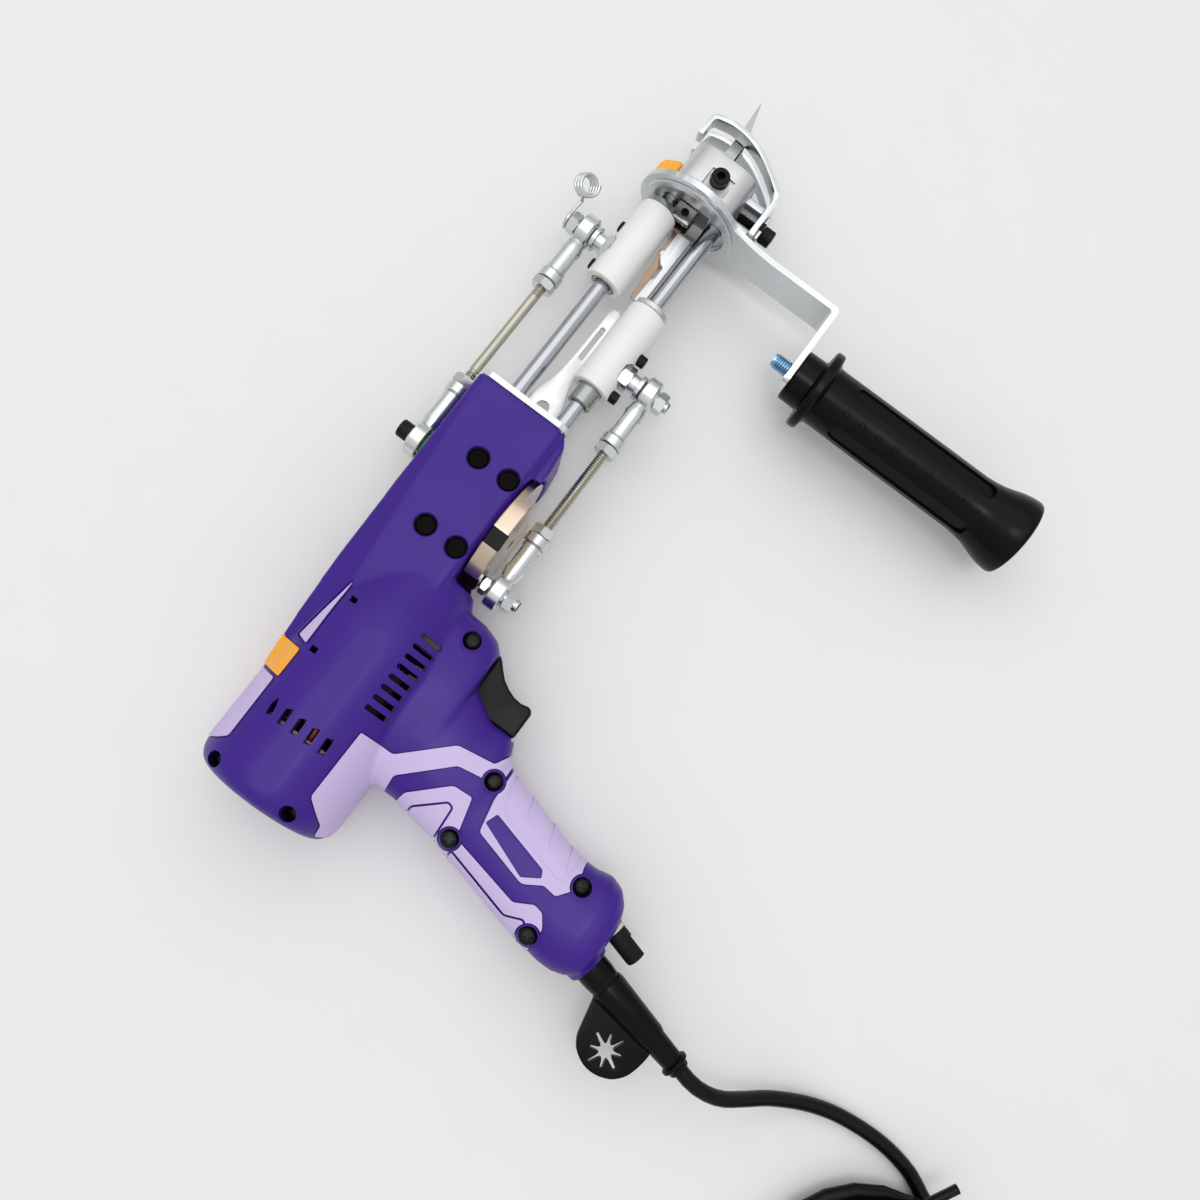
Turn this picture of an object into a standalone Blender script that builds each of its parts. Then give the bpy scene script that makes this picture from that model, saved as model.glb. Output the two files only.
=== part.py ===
"""A handheld cut-pile tufting machine, lying on its side on a table.

A motor in the barrel turns a cross shaft. The shaft's upper crank drives the needle slider and its
lower crank, a heavy counterweight, drives the scissor slider, both along two guide rods that end in
the head. Lengths are in metres.

The drawing axes: +X runs along the guide rods towards the needle, +Y towards the tool's top and away
from its pistol grip, +Z up from the table. Zero is where the drive's middle line leaves the front
plate. An empty called tool carries everything to where the tool lies on the table.
"""

import math

import bmesh
import bpy
from mathutils import Matrix, Vector

MM = 0.001

# Clearances
FIT = 0.3 * MM
RUNNING = 0.3 * MM
OVERRUN = 3 * MM

# The sliders at rest, and the handle bracket's round plate just ahead of the upper one's carrier
SLIDER_LENGTH = 47 * MM
UPPER_SLIDER_REAR = 73.5 * MM
LOWER_SLIDER_REAR = 28 * MM
CARRIER_CLEARANCE = 6.5 * MM
RING_PLACE = UPPER_SLIDER_REAR + SLIDER_LENGTH + CARRIER_CLEARANCE

# Housing
CROSS_PLACE = 53.7 * MM
GEARBOX_TAIL = 38.3 * MM
GEARBOX_LENGTH = CROSS_PLACE + GEARBOX_TAIL
MOTOR_SECTION_LENGTH = 117.5 * MM
HOUSING_LENGTH = GEARBOX_LENGTH + MOTOR_SECTION_LENGTH
GRIP_DROP = 166.0 * MM
GRIP_HALF_WIDTH = 22 * MM
MID_HEIGHT = 33.4 * MM
BOX_TOP = 27.5 * MM
BOX_BOTTOM = 19 * MM
BOX_HALF_WIDTH = 24 * MM
BOX_CHAMFER = 2.2 * MM
BOX_REAR = GEARBOX_LENGTH + MOTOR_SECTION_LENGTH * 0.5957
# The box's sections, as shares: place back of BOX_REAR, top of BOX_TOP, half width of BOX_HALF_WIDTH,
# and the drop of the sloping shoulder, of BOX_TOP
BOX_SECTION_SHARES = [(0.0, 1.0, 1.0, 0.08), (0.64, 0.98, 1.0, 0.44), (1.0, 0.86, 0.75, 0.45)]
BARREL_AXIS = 9.75 * MM
BARREL_RADIUS = 34 * MM
BARREL_LAP = 4 * MM
BARREL_START = GEARBOX_LENGTH - BARREL_LAP
CRANK_OPENING_RADIUS = 32.5 * MM
TAB_REACH = 31 * MM
TAB_FRONT_DEPTH = 19.5 * MM
TAB_DEPTH = 24.2 * MM
TAB_HALF_WIDTH = 20 * MM
TAB_CHAMFER = 5 * MM
COLLAR_RADIUS = 9.6 * MM
COLLAR_HEIGHT = 2.5 * MM
COLLAR_DEPTH = 12 * MM

# Pistol grip sections, as shares: drop of GRIP_DROP, front and rear of HOUSING_LENGTH,
# half width of GRIP_HALF_WIDTH
GRIP_SECTION_SHARES = [
    (0.084, 0.430, 0.811, 1.00),
    (0.205, 0.430, 0.821, 1.00),
    (0.253, 0.432, 0.831, 0.98),
    (0.316, 0.449, 0.835, 0.93),
    (0.328, 0.549, 0.835, 0.91),
    (0.422, 0.586, 0.845, 0.86),
    (0.485, 0.585, 0.854, 0.84),
    (0.521, 0.632, 0.863, 0.80),
    (0.572, 0.654, 0.871, 0.77),
    (0.717, 0.686, 0.899, 0.77),
    (0.795, 0.703, 0.913, 0.79),
    (0.880, 0.702, 0.924, 0.86),
    (0.922, 0.695, 0.924, 0.91),
    (0.958, 0.704, 0.916, 0.89),
    (0.985, 0.726, 0.902, 0.80),
    (1.000, 0.754, 0.878, 0.59),
]
GRIP_ROUNDNESS = 2.7
GRIP_SIDES = 16

# Hollows of the housing
CAVITY_HALF_WIDTH = 21.3 * MM
MOTOR_BAY_RADIUS = 28.5 * MM
BRUSH_BAY_RADIUS = 26 * MM
SWITCH_BAY_HALF_WIDTH = 9.3 * MM
GRIP_BAY_HALF_WIDTH = 10 * MM
GRIP_BAY_SHARES = [
    (0.718, 0.500), (0.795, 0.500), (0.860, 0.880), (0.872, 0.920), (0.860, 0.950), (0.718, 0.950),
    (0.722, 0.890), (0.785, 0.875),
]

# Vents
SIDE_SLOT_COUNT = 8
SIDE_SLOT_FIRST = GEARBOX_LENGTH + MOTOR_SECTION_LENGTH * 0.1745
SIDE_SLOT_LAST = GEARBOX_LENGTH + MOTOR_SECTION_LENGTH * 0.4911
SIDE_SLOT_MIDDLE = 29.2 * MM
SIDE_SLOT_LENGTH = 10.5 * MM
SIDE_SLOT_WIDTH = 2.4 * MM
SIDE_SLOT_FLOOR = 17 * MM
REAR_VENT_COUNT = 5
REAR_VENT_PLACE = HOUSING_LENGTH - MOTOR_SECTION_LENGTH * 0.3149
REAR_VENT_FIRST = 5.8 * MM
REAR_VENT_PITCH = 6.8 * MM
REAR_VENT_LENGTH = 8 * MM
REAR_VENT_WIDTH = 3.2 * MM

# Housing screws and the gearbox bolts, both black
SCREW_SHARES = [(0.481, 0.252), (0.685, 0.516), (0.829, 0.512), (0.749, 0.859), (0.890, 0.818)]
SCREW_HEAD_RADIUS = 3.6 * MM
SCREW_HEAD_HEIGHT = 3 * MM
SCREW_RADIUS = 1.8 * MM
SCREW_HOLE_RADIUS = 4.3 * MM
SCREW_SEAT_HEIGHT = 12 * MM
SCREW_TIP_DEPTH = 8 * MM
REAR_SCREW_SHARES = [(0.971, -0.075), (0.969, 0.155)]
REAR_SEAT_HEIGHT = 8 * MM
BOLT_HOLE_RADIUS = 5.1 * MM
BOLT_LEAD = 18.2 * MM
BOLT_TRAIL = 19.4 * MM
BOLT_FRONT = CROSS_PLACE - BOLT_LEAD
BOLT_REAR = CROSS_PLACE + BOLT_TRAIL
BOLT_UPPER = 4.2 * MM
BOLT_LOWER = 12.25 * MM
BOLT_HEAD_RADIUS = 4.6 * MM
BOLT_HEAD_HEIGHT = 3 * MM
BOLT_SEAT_HEIGHT = 17.8 * MM

# Trim: outlines as shares of HOUSING_LENGTH back and GRIP_DROP down
TRIM_THICKNESS = 0.7 * MM
TRIM_SHARES = [
    [(0.531, -0.082), (0.681, -0.107), (0.683, -0.077)],
    [(0.771, -0.157), (0.776, -0.092), (0.917, -0.089), (0.947, -0.157)],
    [(0.754, 0.145), (0.760, 0.268), (0.669, 0.386), (0.653, 0.500), (0.623, 0.514), (0.628, 0.533),
     (0.692, 0.533), (0.692, 0.492), (0.702, 0.418), (0.794, 0.301), (0.864, 0.307), (0.974, 0.253),
     (0.959, 0.145)],
    [(0.697, 0.545), (0.611, 0.545), (0.621, 0.753), (0.663, 0.846), (0.726, 0.834), (0.761, 0.843),
     (0.792, 0.811), (0.790, 0.774), (0.814, 0.722), (0.779, 0.557), (0.716, 0.548)],
    [(0.808, 0.345), (0.738, 0.439), (0.735, 0.495), (0.790, 0.527), (0.818, 0.536), (0.853, 0.737),
     (0.832, 0.783), (0.837, 0.811), (0.854, 0.842), (0.950, 0.849), (0.950, 0.663), (0.878, 0.345)],
]
TRIM_WINDOW_SHARES = [(0.742, 0.567), (0.770, 0.573), (0.800, 0.722), (0.780, 0.758)]
FRONT_PAD = 3
TAB_SHARES = [(0.701, -0.157), (0.703, -0.075), (0.770, -0.075), (0.768, -0.157)]

# Gear block
PLATE_THICKNESS = 2.8 * MM
PLATE_TOP = 27 * MM
PLATE_BOTTOM = 19.5 * MM
PLATE_HALF_WIDTH = 23.5 * MM
PLATE_CORNER = 4 * MM
BLOCK_TOP = 25.5 * MM
BLOCK_BOTTOM = 18 * MM
BLOCK_HALF_WIDTH = 21 * MM
BLOCK_DEPTH = 19.5 * MM
ARM_BEYOND = 26.3 * MM
ARM_REAR = CROSS_PLACE + ARM_BEYOND
UPPER_ARM_TOP = 17.3 * MM
UPPER_ARM_FLOOR = 9 * MM
LOWER_ARM_TOP = 7.5 * MM
LOWER_ARM_FLOOR = 13.6 * MM
ARM_TAIL_BEYOND = 13.8 * MM
ARM_TAIL = CROSS_PLACE + ARM_TAIL_BEYOND
FRONT_POST_GAP = 12.7 * MM
FRONT_POST_REAR = CROSS_PLACE - FRONT_POST_GAP
FRONT_POST_INSIDE = 16.2 * MM
REAR_POST_GAP = 16.7 * MM
REAR_POST_FRONT = CROSS_PLACE + REAR_POST_GAP
REAR_POST_INSIDE = 12.8 * MM
POST_FLOOR = 17.7 * MM

# Guide rods
ROD_RADIUS = 4 * MM
ROD_OFFSET = 13 * MM
ROD_SOCKET = 17 * MM
ROD_END_REACH = 23 * MM
ROD_REACH = RING_PLACE + ROD_END_REACH

# Motor
SHAFT_RADIUS = 4 * MM
SHAFT_REAR_RADIUS = 3 * MM
PINION_TEETH = 6
PINION_LENGTH = 6 * MM
PINION_ROOT = 2 * MM
PINION_TIP = 3.6 * MM
PINION_TOOTH_ROOT = 1.5 * MM
PINION_TOOTH_TIP = 0.8 * MM
BEARING_WALL = 4 * MM
FRONT_BEARING_PLACE = GEARBOX_LENGTH + BEARING_WALL
FRONT_BEARING_WIDTH = 7 * MM
FRONT_BEARING_RADIUS = 11 * MM
REAR_BEARING_INSET = 12.5 * MM
REAR_BEARING_PLACE = HOUSING_LENGTH - REAR_BEARING_INSET
REAR_BEARING_WIDTH = 6 * MM
REAR_BEARING_RADIUS = 9.5 * MM
FAN_GAP = 3 * MM
FAN_PLACE = FRONT_BEARING_PLACE + FRONT_BEARING_WIDTH + FAN_GAP
FAN_WIDTH = 12 * MM
FAN_RADIUS = 26 * MM
FAN_HUB_RADIUS = 8 * MM
FAN_DISC = 1.6 * MM
FAN_BLADES = 7
FAN_BLADE_THICKNESS = 1.2 * MM
STATOR_PLACE = GEARBOX_LENGTH + MOTOR_SECTION_LENGTH * 0.3234
STATOR_LENGTH = MOTOR_SECTION_LENGTH * 0.298
STATOR_RADIUS = 28.2 * MM
STATOR_BORE = 16.6 * MM
STATOR_YOKE = 6 * MM
STATOR_POLE_HALF = 11 * MM
COIL_OVERHANG = 5 * MM
CORE_RADIUS = 15.8 * MM
CORE_SLOTS = 10
CORE_SLOT_WIDTH = 2 * MM
CORE_SLOT_DEPTH = 4 * MM
WINDING_RADIUS = 13 * MM
WINDING_OVERHANG = 4.5 * MM
COMMUTATOR_PLACE = HOUSING_LENGTH - MOTOR_SECTION_LENGTH * 0.3191
COMMUTATOR_LENGTH = 14 * MM
COMMUTATOR_RADIUS = 10 * MM
BRUSH_PLACE = COMMUTATOR_PLACE + COMMUTATOR_LENGTH / 2
BRUSH_LENGTH = 8 * MM
BRUSH_HEIGHT = 6 * MM
BRUSH_RING_WALL = 4.5 * MM
BRUSH_RING_GAP = 0.6 * MM

# Cross shaft, gear and cranks
CROSS_RADIUS = 4 * MM
CROSS_BEARING_RADIUS = 11 * MM
CROSS_BEARING_WIDTH = 7 * MM
GEAR_TEETH = 42
GEAR_RADIUS = 20 * MM
GEAR_FACE = 5.6 * MM
GEAR_THICKNESS = 5 * MM
GEAR_HUB_RADIUS = 8 * MM
GEAR_HUB_HEIGHT = 4 * MM
GEAR_TOOTH_HEIGHT = 1.6 * MM
GEAR_TOOTH_WIDTH = 1.9 * MM
GEAR_TOOTH_LENGTH = 3 * MM
UPPER_CRANK_RADIUS = 18.8 * MM
UPPER_CRANK_FLOOR = 20.3 * MM
UPPER_CRANK_TOP = 27.6 * MM
UPPER_THROW = 13.4 * MM
UPPER_RECESS_FLOOR = 19.7 * MM
LOWER_CRANK_RADIUS = 30.5 * MM
LOWER_CRANK_TOP = 19.9 * MM
LOWER_CRANK_FLOOR = 28 * MM
LOWER_THROW = 21.3 * MM
LOWER_STEP_RADIUS = 25 * MM
LOWER_STEP_DEPTH = 4.5 * MM
CRANK_NOTCH_DEPTH = 2.6 * MM
CRANK_NOTCH_HALF = 6 * MM
CRANK_SOCKET_RADIUS = 3.3 * MM
CRANK_SOCKET_DEPTH = 4 * MM

# Connecting rods
UPPER_EYE_OFFSET = 34.8 * MM
LOWER_EYE_OFFSET = 36.6 * MM
EYE_RADIUS = 8.5 * MM
EYE_HALF_WIDTH = 3.2 * MM
EYE_SEAT_RADIUS = 6.6 * MM
BALL_RADIUS = 6.3 * MM
BALL_HALF_WIDTH = 4.2 * MM
ROD_END_NECK = 4.2 * MM
ROD_END_SHANK = 5 * MM
ROD_END_COLLAR = 5.9 * MM
ROD_END_LENGTH = 32 * MM
SHANK_START = 10 * MM
COLLAR_LENGTH = 5 * MM
STUD_RADIUS = 2.4 * MM
STUD_ENGAGEMENT = 8 * MM
LOCK_NUT_RADIUS = 5.4 * MM
LOCK_NUT_HEIGHT = 4.5 * MM
PIVOT_RADIUS = 3 * MM
NUT_RADIUS = 5.6 * MM
NUT_HEIGHT = 5 * MM
BOLT_END = 2 * MM
CAP_RADIUS = 4.4 * MM
CAP_HEIGHT = 6 * MM
CAP_SOCKET_RADIUS = 2.4 * MM
CAP_SOCKET_DEPTH = 2.5 * MM
WASHER_RADIUS = 8.6 * MM
WASHER_HEIGHT = 1.4 * MM

# Sliders
SLIDER_RADIUS = 9.75 * MM
UPPER_PIVOT_SETBACK = 16.7 * MM
LOWER_PIVOT_SETBACK = 15 * MM
UPPER_PIVOT_PLACE = UPPER_SLIDER_REAR + UPPER_PIVOT_SETBACK
LOWER_PIVOT_PLACE = LOWER_SLIDER_REAR + LOWER_PIVOT_SETBACK
BUSH_RADIUS = 6.2 * MM
LOWER_BUSH_PROUD = 9.5 * MM
SLIDER_SCREW_RADIUS = 3 * MM
UPPER_SCREW_PROUD = 1.2 * MM
LOWER_SCREW_PROUD = 3.6 * MM
SLIDER_SCREW_SINK = 1.5 * MM
UPPER_SCREW_FRONT = 12.8 * MM
UPPER_SCREW_REAR = 11.2 * MM
LOWER_SCREW_SPAN = 11.3 * MM
PIVOT_FOOT_DEPTH = 2.4 * MM
PIVOT_FOOT_RADIUS = 6.6 * MM
KNURL_RADIUS = 6.4 * MM
KNURL_HEIGHT = 2.4 * MM

# Yarn eyelet: bent wire
WIRE_RADIUS = 0.9 * MM
EYELET_TURNS = 3
EYELET_RADIUS = 5 * MM
EYELET_PITCH = 2.3 * MM
EYELET_POINTS = 10
EYELET_REACH = 16.4 * MM
EYELET_PLACE = UPPER_PIVOT_PLACE + EYELET_REACH
EYELET_OFFSET = 48.8 * MM
EYELET_TAIL_REACH = 6.8 * MM
EYELET_TAIL_PLACE = UPPER_PIVOT_PLACE + EYELET_TAIL_REACH

# Needle and its carrier
CARRIER_PLATE = 3 * MM
CARRIER_RADIUS = 9 * MM
CARRIER_BLOCK_LENGTH = 9.5 * MM
CARRIER_BLOCK_TOP = 8 * MM
CARRIER_BLOCK_BOTTOM = 2.4 * MM
CARRIER_BLOCK_HALF_WIDTH = 6 * MM
NEEDLE_AXIS = 2.5 * MM
NEEDLE_HALF_HEIGHT = 3.2 * MM
NEEDLE_HALF_WIDTH = 3.1 * MM
NEEDLE_WALL = 0.6 * MM
NEEDLE_SETBACK = 4 * MM
NEEDLE_SHANK_LENGTH = 51 * MM
NEEDLE_POINT_LENGTH = 29.9 * MM
NEEDLE_START = UPPER_SLIDER_REAR + SLIDER_LENGTH + NEEDLE_SETBACK
NEEDLE_SHOULDER = UPPER_SLIDER_REAR + SLIDER_LENGTH + NEEDLE_SHANK_LENGTH
NEEDLE_TIP = NEEDLE_SHOULDER + NEEDLE_POINT_LENGTH
NEEDLE_TIP_HEIGHT = 7.4 * MM
CLAMP_SCREW_RADIUS = 2.8 * MM
CLAMP_SCREW_HEIGHT = 1.6 * MM

# Scissors
BAR_LENGTH = 41 * MM
BAR_TOP = 3.7 * MM
BAR_BOTTOM = 8.2 * MM
BAR_HALF_WIDTH = 4 * MM
BLADE_THICKNESS = 1 * MM
BLADE_HEIGHT = 2.8 * MM
BLADE_TAIL_SETBACK = 1 * MM
BLADE_TAIL_LENGTH = 28 * MM
BLADE_LENGTH = 25 * MM
BLADE_TAIL_PLACE = LOWER_SLIDER_REAR + SLIDER_LENGTH + BLADE_TAIL_SETBACK
BLADE_PIVOT_PLACE = BLADE_TAIL_PLACE + BLADE_TAIL_LENGTH
BLADE_TIP_PLACE = BLADE_PIVOT_PLACE + BLADE_LENGTH
BLADE_PIVOT_DROP = 1.2 * MM
BLADE_TIP_LOW = 1.2 * MM
BLADE_PIVOT_RADIUS = 1.0 * MM
BLADE_BOSS_HALF = 2.2 * MM
BLADE_BOSS_REACH = 3 * MM
BLADE_SCREW_RADIUS = 1.9 * MM
BLADE_SCREW_HEIGHT = 0.7 * MM
BLADE_FOOT_LENGTH = 14 * MM

# Centre plate between the guide rods
CENTRE_PLATE_DEPTH = 3 * MM
CENTRE_PLATE_THICKNESS = 2 * MM
CENTRE_PLATE_BASE = 8.2 * MM
CENTRE_PLATE_SHOULDER = 14 * MM
CENTRE_PLATE_NECK = 24 * MM
CENTRE_PLATE_ARM = 2.6 * MM
CENTRE_PLATE_REACH = 66 * MM
CENTRE_HOLE_PLACE = 8.5 * MM
CENTRE_HOLE_RADIUS = 3.2 * MM
CENTRE_SLOT_START = 38 * MM
CENTRE_SLOT_END = 58 * MM
CENTRE_SLOT_HALF = 1.2 * MM
CENTRE_FOOT_HEIGHT = 6 * MM
CENTRE_SCREW_RADIUS = 2.4 * MM
CENTRE_SCREW_HEIGHT = 1.4 * MM

# Head
BRACKET_THICKNESS = 3 * MM
RING_RADIUS = 28.5 * MM
RING_BORE = 20.5 * MM
TAIL_HALF_WIDTH = 12.5 * MM
TAIL_NECK = 46 * MM
LEG_OFFSET = 85.5 * MM
LEG_REACH = 46 * MM
BEND_RADIUS = 3 * MM
STUD_EDGE = 11.3 * MM
STUD_PLACE = RING_PLACE + BRACKET_THICKNESS - LEG_REACH + STUD_EDGE
FLANGE_RADIUS = 24.5 * MM
FLANGE_THICKNESS = 3 * MM
HEAD_LENGTH = 29 * MM
HEAD_FRONT = RING_PLACE + HEAD_LENGTH
HEAD_TOP = 17 * MM
HEAD_BOTTOM = 18 * MM
HEAD_HALF_WIDTH = 17.5 * MM
HEAD_CORNER = 7 * MM
PASSAGE_TOP = 8.5 * MM
PASSAGE_BOTTOM = 8.6 * MM
PASSAGE_HALF_WIDTH = 6.6 * MM
HEAD_SCREW_PLACE = HEAD_FRONT - HEAD_LENGTH * 0.4138
HEAD_SCREW_DROP = 2.5 * MM
HEAD_POCKET_HALF = 5.6 * MM
HEAD_POCKET_DEPTH = 3 * MM
HEAD_SCREW_RADIUS = 3.6 * MM
LUG_REAR = HEAD_FRONT - HEAD_LENGTH * 0.7586
LUG_FRONT = HEAD_FRONT - HEAD_LENGTH * 0.1379
LUG_BOTTOM = 27.5 * MM
LUG_HALF_WIDTH = 7 * MM

# Presser foot
FOOT_STRIP = 2.6 * MM
FOOT_HALF_WIDTH = 11.5 * MM
FOOT_GAP_HALF = 3.6 * MM
FOOT_CLEARANCE = 4 * MM
FOOT_SHOULDER = HEAD_FRONT + FOOT_CLEARANCE
FOOT_BOW = 16 * MM
FOOT_REACH = FOOT_SHOULDER + FOOT_BOW
FOOT_HEIGHT = 20.5 * MM
FOOT_BASE_DROP = 28 * MM
FOOT_BASE_LENGTH = 27 * MM
FOOT_BASE_REAR = FOOT_SHOULDER - FOOT_BASE_LENGTH
FOOT_TIP_LENGTH = 15 * MM
FOOT_TIP_BACK = FOOT_REACH - FOOT_TIP_LENGTH
FOOT_BOLT_PLACE = HEAD_SCREW_PLACE
FOOT_SLOT_BACK = 6 * MM
FOOT_SLOT_FRONT = 2 * MM
FOOT_BOLT_RADIUS = 2.5 * MM
FOOT_WASHER_RADIUS = 6 * MM
FOOT_WASHER_HEIGHT = 1.6 * MM

# Yarn guide at the top of the head
GUIDE_LENGTH = 9 * MM
GUIDE_REAR = LUG_REAR
GUIDE_FRONT = GUIDE_REAR + GUIDE_LENGTH
GUIDE_TOP = 24.5 * MM
GUIDE_HALF_WIDTH = 8 * MM
GUIDE_BORE = 1.8 * MM

# Front grip on its stud, sizes along it from the bracket's leg
STUD_SIZE = 4 * MM
STUD_INSIDE = 9 * MM
STUD_GRIPPED = 30 * MM
GRIP_PROFILE_LENGTH = 133 * MM
GRIP_FLARE_RADIUS = 22 * MM
# Profile of the rubber as shares of its length and of its flared radius
GRIP_PROFILE_SHARES = [
    (0.000, 0.600), (0.078, 0.610), (0.085, 0.940), (0.115, 0.940), (0.125, 0.690), (0.450, 0.700),
    (0.780, 0.700), (0.850, 0.780), (0.900, 0.950), (0.935, 1.000), (0.980, 0.980), (1.000, 0.800),
]
GRIP_PANELS = 4
GRIP_PANEL_START = 24 * MM
GRIP_PANEL_END = 104 * MM
GRIP_PANEL_HALF = 4.5 * MM
GRIP_PANEL_DEPTH = 0.9 * MM

# Trigger and switch
TRIGGER_SHARES = [
    (0.465, 0.330), (0.494, 0.367), (0.516, 0.410), (0.523, 0.446), (0.517, 0.482), (0.523, 0.490),
    (0.535, 0.492), (0.592, 0.492), (0.592, 0.349), (0.573, 0.330),
]
TRIGGER_HALF_WIDTH = 8 * MM
TRIGGER_BEVEL = 1.6 * MM
TRIGGER_TRAVEL = 6 * MM
TRIGGER_SLOT_REAR = HOUSING_LENGTH * 0.6253
TRIGGER_SLOT_TOP = GRIP_DROP * 0.3265
TRIGGER_SLOT_BOTTOM = GRIP_DROP * 0.4952
TRIGGER_STEM_HALF = 4 * MM
TRIGGER_STEM_MIDDLE = GRIP_DROP * 0.4127
SWITCH_FRONT = HOUSING_LENGTH * 0.6563
SWITCH_REAR = HOUSING_LENGTH * 0.8091
SWITCH_TOP = GRIP_DROP * 0.3434
SWITCH_BOTTOM = GRIP_DROP * 0.4819
SWITCH_STEP = 3 * MM

# Speed control at the foot of the grip; both it and the lead's guard lean back with the grip
GRIP_LEAN = math.radians(12.3)
KNOB_LEAN = math.radians(15)
KNOB_PLACE = HOUSING_LENGTH * 0.7819
KNOB_DROP = GRIP_DROP * 1.0024
KNOB_RADIUS = 4.8 * MM
KNOB_LENGTH = 15 * MM
KNOB_GAP = 1.8 * MM
KNOB_FLAT = 0.8 * MM
CONTROL_SHAFT_RADIUS = 2.5 * MM
CONTROL_BUSH_RADIUS = 3.8 * MM
CONTROL_RING_HEIGHT = 1.2 * MM
CONTROL_BODY_RADIUS = 7.5 * MM
CONTROL_BODY_TOP = 18.5 * MM
CONTROL_BODY_FLOOR = 11.6 * MM

# Lead guard and the rubber key holder on it
GUARD_PLACE = HOUSING_LENGTH * 0.8668
GUARD_DROP = GRIP_DROP * 0.9886
GUARD_LENGTH = 62.5 * MM
GUARD_RADIUS = 7.7 * MM
GUARD_TIP_RADIUS = 5.1 * MM
GUARD_RING_RADIUS = 5.9 * MM
GUARD_RING_LENGTH = 5 * MM
GUARD_STEM_RADIUS = 6 * MM
GUARD_STEM_LENGTH = 12 * MM
# The key holder's outline and the middle of its star, back and down from the guard's start, in shares
# of the guard's length
TAG_SHARES = [(0.128, 0.177), (0.446, 0.256), (0.570, 0.400), (0.547, 0.607), (0.440, 0.700), (0.245, 0.726)]
STAR_SHARES = [(0.4032, 0.4736)]
TAG_THICKNESS = 3 * MM
TAG_SLEEVE = 2 * MM
TAG_SLEEVE_START = 18 * MM
TAG_SLEEVE_END = 44 * MM
STAR_RADIUS = 8.2 * MM
STAR_INNER = 3.4 * MM
STAR_POINT_COUNT = 7

# Mains lead. The free stretch is laid by hand, in points from where it leaves the guard: it sinks to
# the table and runs along it to the coil.
LEAD_DIAMETER = 7 * MM
LEAD_ROUTE = [
    (-1.63 * MM, -14.53 * MM, -1.50 * MM),
    (0.37 * MM, -24.03 * MM, -5.50 * MM),
    (5.47 * MM, -35.03 * MM, -12.50 * MM),
    (11.97 * MM, -47.53 * MM, -19.50 * MM),
    (18.97 * MM, -66.03 * MM, -27.00 * MM),
    (23.17 * MM, -84.03 * MM, -29.90 * MM),
    (24.37 * MM, -104.53 * MM, -29.90 * MM),
    (21.57 * MM, -122.33 * MM, -29.90 * MM),
    (15.57 * MM, -135.53 * MM, -29.90 * MM),
]
LEAD_POINT_COUNT = 32
COIL_TURNS_PER_LAYER = 3
COIL_LAYERS = 2
COIL_RADIUS = 52.5 * MM
COIL_PITCH = 7.6 * MM
COIL_LOOP_POINTS = 24
COIL_TAIL_RADIUS = 28.5 * MM
COIL_TAIL_SWELL = 1.6 * MM
COIL_TAIL_TURN = 7
PLUG_LENGTH = 34 * MM
PLUG_HALF_HEIGHT = 8.5 * MM
PLUG_BREADTH_SHARE = 1.6
PLUG_RELIEF_LENGTH = 22 * MM
PLUG_RELIEF_RADIUS = 6 * MM
PLUG_PIN_RADIUS = 2.3 * MM
PLUG_PIN_LENGTH = 18 * MM
PLUG_PIN_OFFSET = 9.5 * MM

# Where the drawing axes lie: the flat side of the motor barrel rests on the table at the origin
REST_PLACE = 165 * MM
TOOL_PLACE = (REST_PLACE, BARREL_AXIS, MID_HEIGHT)

ALONG_X = Vector((1, 0, 0))
ALONG_Y = Vector((0, 1, 0))
ALONG_Z = Vector((0, 0, 1))

# Colour, roughness and metallic value of each material
FINISHES = {
    "purple_abs": ((0.07, 0.025, 0.26), 0.45, 0.0),
    "lilac_rubber": ((0.62, 0.52, 0.80), 0.6, 0.0),
    "orange_plastic": ((0.98, 0.47, 0.03), 0.4, 0.0),
    "black_rubber": ((0.012, 0.012, 0.013), 0.55, 0.0),
    "black_plastic": ((0.015, 0.015, 0.016), 0.4, 0.0),
    "black_oxide": ((0.012, 0.012, 0.012), 0.35, 0.6),
    "aluminium": ((0.80, 0.81, 0.82), 0.38, 1.0),
    "zinc_plate": ((0.62, 0.65, 0.67), 0.32, 1.0),
    "blue_zinc": ((0.36, 0.52, 0.62), 0.3, 1.0),
    "chrome_steel": ((0.70, 0.71, 0.73), 0.12, 1.0),
    "bright_steel": ((0.56, 0.54, 0.52), 0.25, 1.0),
    "spring_steel": ((0.45, 0.44, 0.42), 0.3, 1.0),
    "white_sleeve": ((0.80, 0.80, 0.80), 0.4, 0.0),
    "copper_winding": ((0.60, 0.25, 0.10), 0.4, 1.0),
    "nylon": ((0.75, 0.72, 0.62), 0.5, 0.0),
}


def clear_scene():
    for thing in list(bpy.data.objects):
        bpy.data.objects.remove(thing, do_unlink=True)


def material(name):
    made = bpy.data.materials.get(name)
    if made:
        return made
    made = bpy.data.materials.new(name)
    made.use_nodes = True
    colour, roughness, metallic = FINISHES[name]
    shader = made.node_tree.nodes["Principled BSDF"]
    shader.inputs["Base Color"].default_value = (*colour, 1)
    shader.inputs["Roughness"].default_value = roughness
    shader.inputs["Metallic"].default_value = metallic
    return made


def shape_from(bm):
    """An object made of the closed faces in bm, turned outwards."""
    bmesh.ops.recalc_face_normals(bm, faces=bm.faces)
    mesh = bpy.data.meshes.new("shape")
    bm.to_mesh(mesh)
    bm.free()
    made = bpy.data.objects.new("shape", mesh)
    bpy.context.scene.collection.objects.link(made)
    return made


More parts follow.
